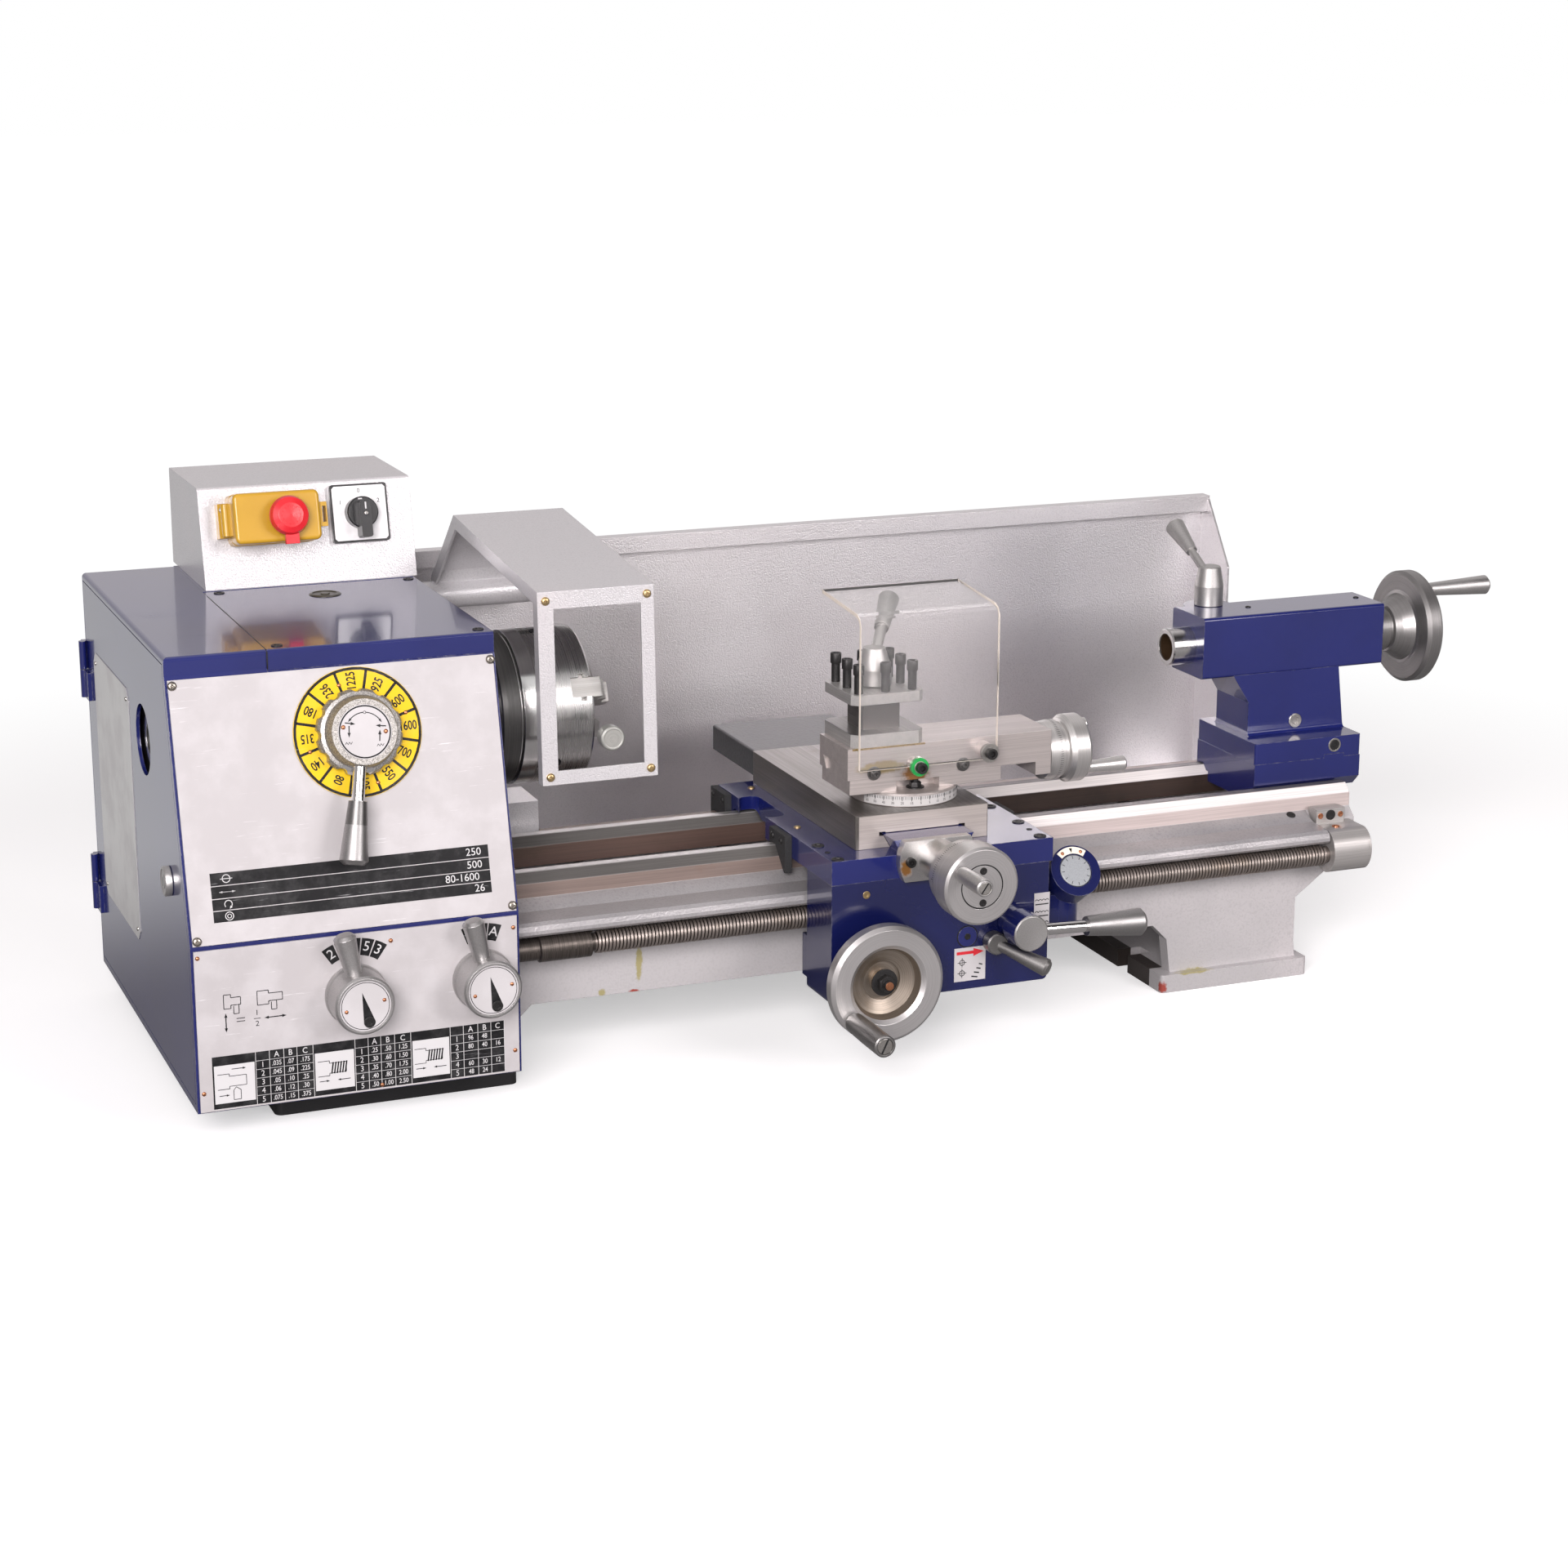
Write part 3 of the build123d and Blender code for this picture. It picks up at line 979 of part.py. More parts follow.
def top_slide_handwheel():
    """Small wheel with a collar, two fixed grips and the compound screw."""
    x = TOP_X1 + 0.4
    form = [(0, -TOP_SCREW_L), (5, -TOP_SCREW_L), (5, 0), (20, 0), (24, 3)]
    form += [(25, 10), (25, 16), (23, 17), (23, 20)]
    form += [(25.5, 21), (28.5, 25), (28.5, TOP_WHEEL_L - 2), (27, TOP_WHEEL_L), (0, TOP_WHEEL_L)]
    body = turned(form, (x, SWIVEL_Y, TOP_SCREW_Z), (1, 0, 0))
    for s, length, radius in TOP_GRIPS:
        y, z = SWIVEL_Y + s * 16, TOP_SCREW_Z + s * 14
        start = x + TOP_WHEEL_L - 2
        body += tapered((start, y, z), (start + length, y, z), 4.6, radius)
    return body


def post_plate(z0, z1, cut):
    """Square plate of the tool post with its corners cut off."""
    half = POST_W / 2
    plate = Pos(POST_X, POST_Y, (z0 + z1) / 2) * Box(2 * half, 2 * half, z1 - z0)
    return chamfer(plate.edges().filter_by(Axis.Z), cut)


def tool_post():
    """Four-way tool post with tool slots on every side."""
    z = TOP_Z + 0.1
    top = TOP_Z + POST_H
    body = post_plate(z, z + 11, POST_CUT) + post_plate(top - 8.5, top, POST_CUT)
    body += Pos(POST_X, POST_Y, (z + top) / 2) * Box(POST_NECK, POST_NECK, top - z)
    return body - rod((POST_X, POST_Y, z - 1), (POST_X, POST_Y, top + 1), 9 + RUN_FIT)


def tool_post_lever():
    """Clamp hub on the post stud with a leaning lever and grip."""
    base = TOP_Z + POST_H + 0.4
    bore = 9 + RUN_FIT
    form = [(bore, 0), (13, 0), (14.5, 1.5), (14.5, 14), (9, 31), (0, 31), (0, 21), (bore, 21)]
    hub = turned(form, (POST_X, POST_Y, base), (0, 0, 1))
    start = (POST_X + 2, POST_Y + 3, base + 24)
    mid = (POST_X + 19, POST_Y + 29, base + 39.5)
    end = (POST_X + 39, POST_Y + 59, base + 57)
    return hub + rod(start, mid, 4.5) + tapered(mid, end, 6, 8.6)


def chip_shield():
    """Bent clear shield that swings on one pin and rests with a notch on the other."""
    y1, y0 = SHIELD_Y, SHIELD_Y - SHIELD_T
    x0, x1, z0, z1 = 289.0, 410.0, 241.0, 360.0
    bend = [(y1, z0), (y0, z0), (y0, z1), (y0 + 3, z1 + 5), (y0 + 9, z1 + 8), (y0 + 80, z1 + 14)]
    bend += [(y0 + 80, z1 + 11), (y0 + 9.5, z1 + 5), (y0 + 5, z1 + 3), (y1, z1 - 1)]
    sheet = along_x(bend, x0, x1)
    sheet -= rod((341, y0 - 1, 240), (341, y1 + 1, 240), 8)
    x, z = SHIELD_PIVOT_X, SHIELD_PIVOT_Z
    return sheet - rod((x, y0 - 1, z), (x, y1 + 1, z), 4 + RUN_FIT)


def tailstock_base():
    """Lower tailstock casting that rides on the rear ridge and the front flat."""
    outline = [(TAIL_FRONT_Y, 167), (TAIL_FRONT_Y, TAIL_SPLIT)]
    outline += [(TAIL_REAR_Y, TAIL_SPLIT), (TAIL_REAR_Y, BED_Z + 3)]
    outline += [(REAR_WAY_IN - 0.6, BED_Z + 3), (REAR_WAY_IN - 0.6, BED_Z - 6)]
    outline += [(FRONT_WAY_IN + 0.6, BED_Z - 6), (FRONT_WAY_IN + 0.6, BED_Z + SLIDE_FIT)]
    outline += [(TAIL_FRONT_Y + 9.4, BED_Z + SLIDE_FIT)]
    body = along_x(outline, TAIL_X0, TAIL_X1)
    body += box(TAIL_KEY_X0, TAIL_KEY_X1, TAIL_FRONT_Y, TAIL_REAR_Y, TAIL_SPLIT - 1, TAIL_SPLIT + TAIL_KEY_H)
    return body - along_x(ridge(REAR_RIDGE, SLIDE_FIT, 1, 0), TAIL_X0 - 1, TAIL_X1 + 1)


def tailstock_body():
    """Upper tailstock casting with its waisted neck and the bored barrel."""
    foot = box(TAIL_X0, TAIL_X1, TAIL_FRONT_Y, TAIL_REAR_Y, TAIL_SPLIT, TAIL_BASE_TOP)
    foot = fillet(foot.edges().filter_by(Axis.Z), 2)
    x0, x1 = TAIL_KEY_X0 - SLIDE_FIT, TAIL_KEY_X1 + SLIDE_FIT
    top = TAIL_SPLIT + TAIL_KEY_H + SLIDE_FIT
    foot -= box(x0, x1, TAIL_FRONT_Y - 1, TAIL_REAR_Y + 1, TAIL_SPLIT - 1, top)
    low = AXIS_Z - 25.5
    neck = [(TAIL_X0 + 8, TAIL_BASE_TOP - 1), (TAIL_X0 + 8, 235)]
    neck += [(TAIL_X0 - 8, low + 1), (TAIL_X1 - 8, low + 1)]
    neck += [(TAIL_X1 - 1, TAIL_BASE_TOP - 1)]
    side = BARREL_HALF - 0.6
    body = foot + along_y(neck, -side, side)
    root = body.edges().filter_by(Axis.X).filter_by(lambda e: abs(abs(e.center().Y) - side) < 0.1)
    body = fillet(root.filter_by(lambda e: abs(e.center().Z - TAIL_BASE_TOP) < 0.1), TAIL_ROUND)
    barrel = box(BARREL_X0, BARREL_X1, -BARREL_HALF, BARREL_HALF, low, AXIS_Z + BARREL_TOP)
    body += fillet(barrel.edges().filter_by(Axis.X), 3)
    x, y, top = BARREL_X0 + LOCK_X, QUILL_R + LOCK_WALL + LOCK_STUD_R, AXIS_Z + BARREL_TOP
    body += rod((x, y, top - LOCK_BOSS_H), (x, y, top), LOCK_BOSS_R)
    body -= rod((BARREL_X0 - 1, 0, AXIS_Z), (BARREL_X1 - 12, 0, AXIS_Z), QUILL_R + RUN_FIT)
    body -= rod((BARREL_X1 - 20, 0, AXIS_Z), (BARREL_X1 + 1, 0, AXIS_Z), 6 + RUN_FIT)
    return body - rod((x, y, top - LOCK_STUD_DEEP - 2), (x, y, top + 1), LOCK_STUD_R + RUN_FIT)


def quill():
    """Sliding quill with the centre taper in front and the screw bore behind."""
    x0 = BARREL_X0 - QUILL_OUT
    t = QUILL_TAPER_R
    form = [(t, 0), (QUILL_R - 1, 0), (QUILL_R, 1), (QUILL_R, 138), (8, 138), (8, 68), (t - 1.7, 66)]
    return turned(form, (x0, 0, AXIS_Z), (1, 0, 0))


def tailstock_handwheel():
    """Dished handwheel with its collar, feed screw and fixed handle."""
    x = BARREL_X1 + 0.4
    r = TAIL_WHEEL_R
    form = [(0, -112), (6, -112), (6, 0), (19, 0), (20, 1), (20, 14), (18, 15), (18, 17), (21, 18), (24, 24)]
    form += [(30, 33), (33, 34), (r - 3, 34), (r, 37), (r, 47), (r - 3, 50), (34, 50)]
    form += [(26, 44), (14, 40), (14, 50)]
    form += [(0, 50)]
    body = turned(form, (x, 0, AXIS_Z), (1, 0, 0))
    y, z = -18.0, AXIS_Z + 36
    return body + tapered((x + 47, y, z), (x + 113, y, z), 5.5, 8.6)


def quill_lock():
    """Tapered clamp hub on the barrel with its leaning lever."""
    x, y = BARREL_X0 + LOCK_X, QUILL_R + LOCK_WALL + LOCK_STUD_R
    seat = AXIS_Z + BARREL_TOP + 0.4
    stud, top = LOCK_STUD_R, LOCK_H
    form = [(0, -LOCK_STUD_DEEP), (stud, -LOCK_STUD_DEEP), (stud, 0), (LOCK_R, 0), (LOCK_R, top / 2)]
    form += [(LOCK_TOP_R + 0.6, top - 1), (LOCK_TOP_R - 0.4, top), (0, top)]
    hub = turned(form, (x, y, seat), (0, 0, 1))
    root = (x - 5, y, seat + top - 4)
    hub += rod(root, (x - 5, y + 26, seat + top + 10), 3.6)
    return hub + tapered((x - 5, y + 24, seat + top + 9), (x - 5, y + 58, seat + top + 27), 5, 8.8)


def export(name, part):
    """Write one named part, shifted so that the origin is the centre of the bench bolts."""
    solids = part if isinstance(part, list) else [part]
    moved = [Pos(SHIFT_X, 0, 0) * solid for solid in solids]
    shape = moved[0] if len(moved) == 1 else Compound(children=moved)
    export_step(shape, f"parts/{name}.step")


def gears():
    """Idler gear and feed gear."""
    y, z, radius = idler_place()
    return change_gear(y, z, radius), change_gear(FEED_GEAR_Y, FEED_GEAR_Z, FEED_GEAR_R)


def main():
    """Build and write every part."""
    idler, feed = gears()
    parts = {
        "bed": bed(),
        "headstock": headstock(),
        "headstock_lid": headstock_lid(),
        "gear_case": gear_case(),
        "end_door": end_door(),
        "door_lock": door_lock(),
        "upper_panel": upper_panel(),
        "lower_panel": lower_panel(),
        "speed_dial": speed_dial(),
        "speed_lever": speed_lever(),
        "feed_knob_left": feed_knob(KNOB_X[0]),
        "feed_knob_right": feed_knob(KNOB_X[1]),
        "control_box": control_box(),
        "switch_base": switch_base(),
        "switch_lid": switch_lid(),
        "stop_mushroom": stop_mushroom(),
        "start_button": push_button(-14),
        "stop_button": push_button(8),
        "rotary_knob": rotary_knob(),
        "motor": motor(),
        "motor_pulley": motor_pulley(),
        "drive_belt": drive_belt(),
        "spindle": spindle(),
        "spindle_pulley": pulley(BIG_PULLEY_R, SPINDLE_TAIL_R, 0, AXIS_Z),
        "spindle_bearings": spindle_bearings(),
        "idler_gear": idler,
        "feed_gear": feed,
        "chuck": chuck(),
        "jaw_1": jaw(0),
        "jaw_2": jaw(1),
        "jaw_3": jaw(2),
        "guard": guard(),
        "guard_window": guard_window(),
        "splash_guard": splash_guard(),
        "leadscrew": leadscrew(),
        "leadscrew_bracket": leadscrew_bracket(),
        "saddle": saddle(),
        "way_wipers": way_wipers(),
        "apron": apron(),
        "thread_dial": thread_dial(),
        "carriage_handwheel": carriage_handwheel(),
        "carriage_handle": revolving_handle(GRIP_X, WHEEL_Y, GRIP_Z, WHEEL_HANDLE_L, 9),
        "half_nut_lever": half_nut_lever(),
        "feed_lever": feed_lever(),
        "cross_slide": cross_slide(),
        "cross_cover": cross_cover(),
        "cross_bracket": cross_bracket(),
        "cross_handwheel": cross_handwheel(),
        "cross_handle": revolving_handle(CROSS_GRIP_X, CROSS_WHEEL_Y, CROSS_GRIP_Z, CROSS_HANDLE_L, 6.8),
        "swivel_base": swivel_base(),
        "top_slide": top_slide(),
        "top_slide_handwheel": top_slide_handwheel(),
        "tool_post": tool_post(),
        "tool_post_lever": tool_post_lever(),
        "chip_shield": chip_shield(),
        "tailstock_base": tailstock_base(),
        "tailstock_body": tailstock_body(),
        "quill": quill(),
        "tailstock_handwheel": tailstock_handwheel(),
        "quill_lock": quill_lock(),
    }
    for name, part in parts.items():
        export(name, part)


main()
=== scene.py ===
"""Finishes, printed plates, fasteners and stage of a bench lathe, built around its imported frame."""

import logging
import math
from dataclasses import dataclass
from enum import Enum
from functools import cache, cached_property
from typing import Callable, Optional, Sequence, Union

import bmesh
import bpy
from mathutils import Matrix, Vector


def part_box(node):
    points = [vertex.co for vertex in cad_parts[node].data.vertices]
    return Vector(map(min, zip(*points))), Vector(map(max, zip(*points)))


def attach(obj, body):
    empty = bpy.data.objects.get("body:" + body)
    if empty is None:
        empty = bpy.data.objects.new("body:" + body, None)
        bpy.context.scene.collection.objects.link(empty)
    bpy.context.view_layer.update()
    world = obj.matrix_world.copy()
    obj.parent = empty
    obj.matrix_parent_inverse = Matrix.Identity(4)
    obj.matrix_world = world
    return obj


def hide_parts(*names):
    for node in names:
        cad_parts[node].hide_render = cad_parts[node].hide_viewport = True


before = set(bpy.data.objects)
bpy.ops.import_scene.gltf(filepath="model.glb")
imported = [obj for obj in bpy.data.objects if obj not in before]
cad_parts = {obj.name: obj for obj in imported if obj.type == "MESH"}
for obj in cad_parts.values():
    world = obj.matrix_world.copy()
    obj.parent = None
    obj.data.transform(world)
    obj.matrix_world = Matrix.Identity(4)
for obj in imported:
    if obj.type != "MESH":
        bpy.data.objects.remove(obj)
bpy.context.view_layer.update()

log = logging.getLogger("bench_lathe")

MM = 0.001
HEAD_FACE_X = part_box("headstock_lid")[1].x

Point = tuple[float, float]
Triple = tuple[float, float, float]
Mesh = bpy.types.Mesh
Piece = bpy.types.Object
Material = bpy.types.Material
Node = bpy.types.Node
Tree = bpy.types.NodeTree
Socket = bpy.types.NodeSocket
Value = Union[float, Triple, Socket]
Key = Union[int, str]
Ring = tuple[int, float, float, float]
NamedFinish = tuple[str, "Finish"]
Spot = tuple["Face", float, float]
ORIGIN: Triple = (0.0, 0.0, 0.0)
COAT_ROUGH = 0.06
BEVEL_SAMPLES = 4
SHARP_ANGLE = 38.0
THREAD_STEPS = 20
THREAD_FOOT = 1.7


def place(x: float, y: float, z: float) -> Vector:
    """Turn lathe millimetres (X from the headstock's right face) into the frame's metres."""
    return Vector((HEAD_FACE_X + x * MM, y * MM, z * MM))


def spin(angle: float, radius: float = 1.0) -> Point:
    """Point on a circle at an angle in degrees."""
    return radius * math.cos(math.radians(angle)), radius * math.sin(math.radians(angle))


def added(name: str, data: bpy.types.ID) -> Piece:
    """Put a new object with its data in the scene.

    Args:
        name: Name of the object.
        data: Its mesh, lamp or camera.

    Returns:
        The object.
    """
    holder = bpy.data.objects.new(name, data)
    bpy.context.scene.collection.objects.link(holder)
    return holder


@dataclass(frozen=True)
class Face:
    """A flat working plane on the lathe: its origin in lathe millimetres and its two directions."""

    origin: Triple
    across: Triple
    up: Triple

    @classmethod
    def flat(cls, x: float, y: float, z: float) -> "Face":
        """Plane that looks up, with X across."""
        return cls((x, y, z), (1, 0, 0), (0, 1, 0))

    @classmethod
    def front(cls, x: float, y: float, z: float) -> "Face":
        """Upright plane that looks to the front, with X across."""
        return cls((x, y, z), (1, 0, 0), (0, 0, 1))

    @classmethod
    def right(cls, x: float, y: float, z: float) -> "Face":
        """Upright plane that looks to the right, with Y across."""
        return cls((x, y, z), (0, 1, 0), (0, 0, 1))

    def spots(self, *places: Point) -> list[Spot]:
        """Places on the plane for one kind of fastener."""
        return [(self, u, v) for u, v in places]

    def axes(self) -> tuple[Vector, Vector, Vector]:
        """Unit vectors across, up and out of the plane.

        Returns:
            The three vectors.
        """
        across = Vector(self.across).normalized()
        up = Vector(self.up)
        up = (up - across * up.dot(across)).normalized()
        return across, up, across.cross(up)

    def matrix(self) -> Matrix:
        """Matrix that takes the plane's own millimetres to the frame's metres."""
        turn = Matrix(self.axes()).transposed().to_4x4()
        return Matrix.Translation(place(*self.origin)) @ turn @ Matrix.Scale(MM, 4)

    def at(self, u: float, v: float, w: float = 0.0) -> Vector:
        """Point of the plane in the frame's metres."""
        return self.matrix() @ Vector((u, v, w))

    def moved(self, u: float, v: float, w: float = 0.0, turn: float = 0.0) -> "Face":
        """The plane shifted in its own directions and turned about its normal.

        Args:
            u: Shift across, in millimetres.
            v: Shift up, in millimetres.
            w: Shift outwards, in millimetres.
            turn: Turn about the normal, in degrees.

        Returns:
            The new plane.
        """
        across, up, out = self.axes()
        origin = Vector(self.origin) + across * u + up * v + out * w
        c, s = spin(turn)
        return Face(tuple(origin), tuple(across * c + up * s), tuple(up * c - across * s))


class Section(Enum):
    """Outline of a turned row: round, or the shape of a driver recess."""

    ROUND = "round"
    HEX = "hex"
    CROSS = "cross"

    def reach(self, angle: float) -> float:
        """Share of the radius that the outline reaches.

        Args:
            angle: Direction in radians.

        Returns:
            A share from 0 to 1.
        """
        if self is Section.HEX:
            third = math.pi / 3
            return math.cos(third / 2) / math.cos((angle + third / 2) % third - third / 2)
        if self is Section.CROSS:
            return 0.3 + 0.7 * abs(math.cos(2 * angle)) ** 8
        return 1.0


Row = tuple[float, float] | tuple[float, float, Section]


class Stock:
    """Collects closed shapes of one finish into one mesh, placed in the frame's metres."""

    def __init__(self) -> None:
        """Start with nothing."""
        self.mesh = bmesh.new()

    def prism(self, face: Face, outline: Sequence[Point], low: float, high: float) -> "Stock":
        """Add a flat outline carried from one height to another.

        Args:
            face: Working plane.
            outline: Corners in the plane, in millimetres.
            low: Height of the underside.
            high: Height of the top side.

        Returns:
            This stock.
        """
        place_by = face.matrix()
        verts = self.mesh.verts
        rings = [[verts.new(place_by @ Vector((u, v, w))) for u, v in outline] for w in (low, high)]
        count = len(outline)
        faces = [self.mesh.faces.new(rings[0][::-1]), self.mesh.faces.new(rings[1])]
        for i in range(count):
            j = (i + 1) % count
            faces.append(self.mesh.faces.new((rings[0][i], rings[0][j], rings[1][j], rings[1][i])))
        bmesh.ops.recalc_face_normals(self.mesh, faces=faces)
        return self

    def block(self, face: Face, u0: float, u1: float, v0: float, v1: float, low: float,
              high: float) -> "Stock":
        """Add a rectangular plate between two corners and two heights."""
        return self.prism(face, [(u0, v0), (u1, v0), (u1, v1), (u0, v1)], low, high)

    def line(self, face: Face, a: Point, b: Point, width: float, low: float, high: float) -> "Stock":
        """Add a straight printed line of a given width."""
        return self.path(face, [a, b], width, low, high)

    def path(self, face: Face, points: Sequence[Point], width: float, low: float, high: float) -> "Stock":
        """Add printed lines from point to point.

        Args:
            face: Working plane.
            points: Corners of the path.
            width: Width of the lines.
            low: Height of the underside.
            high: Height of the top side.

        Returns:
            This stock.
        """
        for a, b in zip(points, points[1:]):
            way = Vector(b) - Vector(a)
            side = Vector((-way.y, way.x)).normalized() * width / 2
            corners = [Vector(a) - side, Vector(b) - side, Vector(b) + side, Vector(a) + side]
            self.prism(face, [tuple(c) for c in corners], low, high)
        return self

    def sector(self, face: Face, r0: float, r1: float, a0: float, a1: float, low: float,
               high: float) -> "Stock":
        """Add a piece of a flat ring between two radii and two angles in degrees.

        Args:
            face: Working plane, centred on the ring.
            r0: Inner radius.
            r1: Outer radius.
            a0: First angle.
            a1: Last angle.
            low: Height of the underside.
            high: Height of the top side.

        Returns:
            This stock.
        """
        steps = max(2, int(abs(a1 - a0) / 6))
        angles = [a0 + (a1 - a0) * i / steps for i in range(steps + 1)]
        outline = [spin(a, r1) for a in angles] + [spin(a, r0) for a in reversed(angles)]
        return self.prism(face, outline, low, high)

    def ring(self, face: Face, r0: float, r1: float, low: float, high: float) -> "Stock":
        """Add a whole flat ring."""
        return self.turned(face, [(r0, low), (r1, low), (r1, high), (r0, high), (r0, low)])

    def disc(self, face: Face, radius: float, low: float, high: float) -> "Stock":
        """Add a flat disc."""
        return self.turned(face, [(0, low), (radius, low), (radius, high), (0, high)])

    def turned(self, face: Face, rows: Sequence[Row], sides: int = 48) -> "Stock":
        """Add a form turned about the plane's normal.

        Args:
            face: Working plane; the axis stands on its origin.
            rows: Radius and height of each row, and its section where it isn't round.
            sides: Number of steps around.

        Returns:
            This stock.
        """
        place_by = face.matrix()
        rings = []
        for radius, height, *rest in rows:
            section = rest[0] if rest else Section.ROUND
            if radius <= 0:
                rings.append([self.mesh.verts.new(place_by @ Vector((0, 0, height)))])
                continue
            ring = []
            for i in range(sides):
                angle = 2 * math.pi * i / sides
                r = radius * section.reach(angle)
                spot = Vector((r * math.cos(angle), r * math.sin(angle), height))
                ring.append(self.mesh.verts.new(place_by @ spot))
            rings.append(ring)
        if rows[0] == rows[-1]:
            bmesh.ops.delete(self.mesh, geom=rings.pop(), context="VERTS")
            rings.append(rings[0])
        faces = []
        for lower, upper in zip(rings, rings[1:]):
            for i in range(sides):
                corners = [lower[i % len(lower)], lower[(i + 1) % len(lower)],
                           upper[(i + 1) % len(upper)], upper[i % len(upper)]]
                faces.append(self.mesh.faces.new(list(dict.fromkeys(corners))))
        bmesh.ops.recalc_face_normals(self.mesh, faces=faces)
        return self

    def words(self, face: Face, text: str, size: float, low: float, high: float, narrow: float = 1.0,
              bold: float = 0.0) -> "Stock":
        """Add plain lettering centred on the plane's origin.

        Args:
            face: Working plane.
            text: Numbers or letters to print.
            size: Letter size in millimetres.
            low: Height of the underside.
            high: Height of the top side.
            narrow: Share of the letters' own width.
            bold: Growth of the outline as a share of the size.

        Returns:
            This stock.
        """
        curve = bpy.data.curves.new("lettering", "FONT")
        curve.body = text
        curve.size = size
        curve.offset = bold * size
        curve.align_x = "CENTER"
        curve.align_y = "CENTER"
        curve.extrude = (high - low) / 2
        curve.resolution_u = 3
        holder = bpy.data.objects.new("lettering", curve)
        letters = bpy.data.meshes.new_from_object(holder)
        letters.transform(face.matrix() @ Matrix.Translation((0, 0, (low + high) / 2))
                          @ Matrix.Diagonal((narrow, 1.0, 1.0, 1.0)))
        self.mesh.from_mesh(letters)
        bpy.data.objects.remove(holder)
        bpy.data.curves.remove(curve)
        bpy.data.meshes.remove(letters)
        return self

    def data(self, name: str) -> Mesh:
        """Close the stock into a plain mesh with sharp corners kept.

        Args:
            name: Name of the mesh.

        Returns:
            The mesh.
        """
        bmesh.ops.remove_doubles(self.mesh, verts=self.mesh.verts, dist=1e-7)
        mesh = bpy.data.meshes.new(name)
        self.mesh.to_mesh(mesh)
        self.mesh.free()
        mesh.polygons.foreach_set("use_smooth", [True] * len(mesh.polygons))
        mesh.set_sharp_from_angle(angle=math.radians(SHARP_ANGLE))
        return mesh

    def piece(self, name: str, finish: NamedFinish, body: str, slot: str) -> Piece:
        """Turn the stock into one finished piece that rides on a body.

        Args:
            name: Name of the piece.
            finish: Name and finish of its material.
            body: Body of the frame that carries it.
            slot: Material slot of the record; not used.

        Returns:
            The piece.
        """
        mesh = self.data(name)
        mesh.materials.append(material_of(*finish))
        return settle(mesh, name, body)


def settle(mesh: Mesh, name: str, body: str) -> Piece:
    """Put a finished mesh in the scene and let it ride on a body.

    Args:
        mesh: Mesh in the frame's metres, with its material.
        name: Name of the piece.
        body: Body of the frame that carries it.

    Returns:
        The piece.
    """
    piece = added(name, mesh)
    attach(piece, body)
    log.info("piece %s on %s, %d faces", name, body, len(mesh.polygons))
    return piece


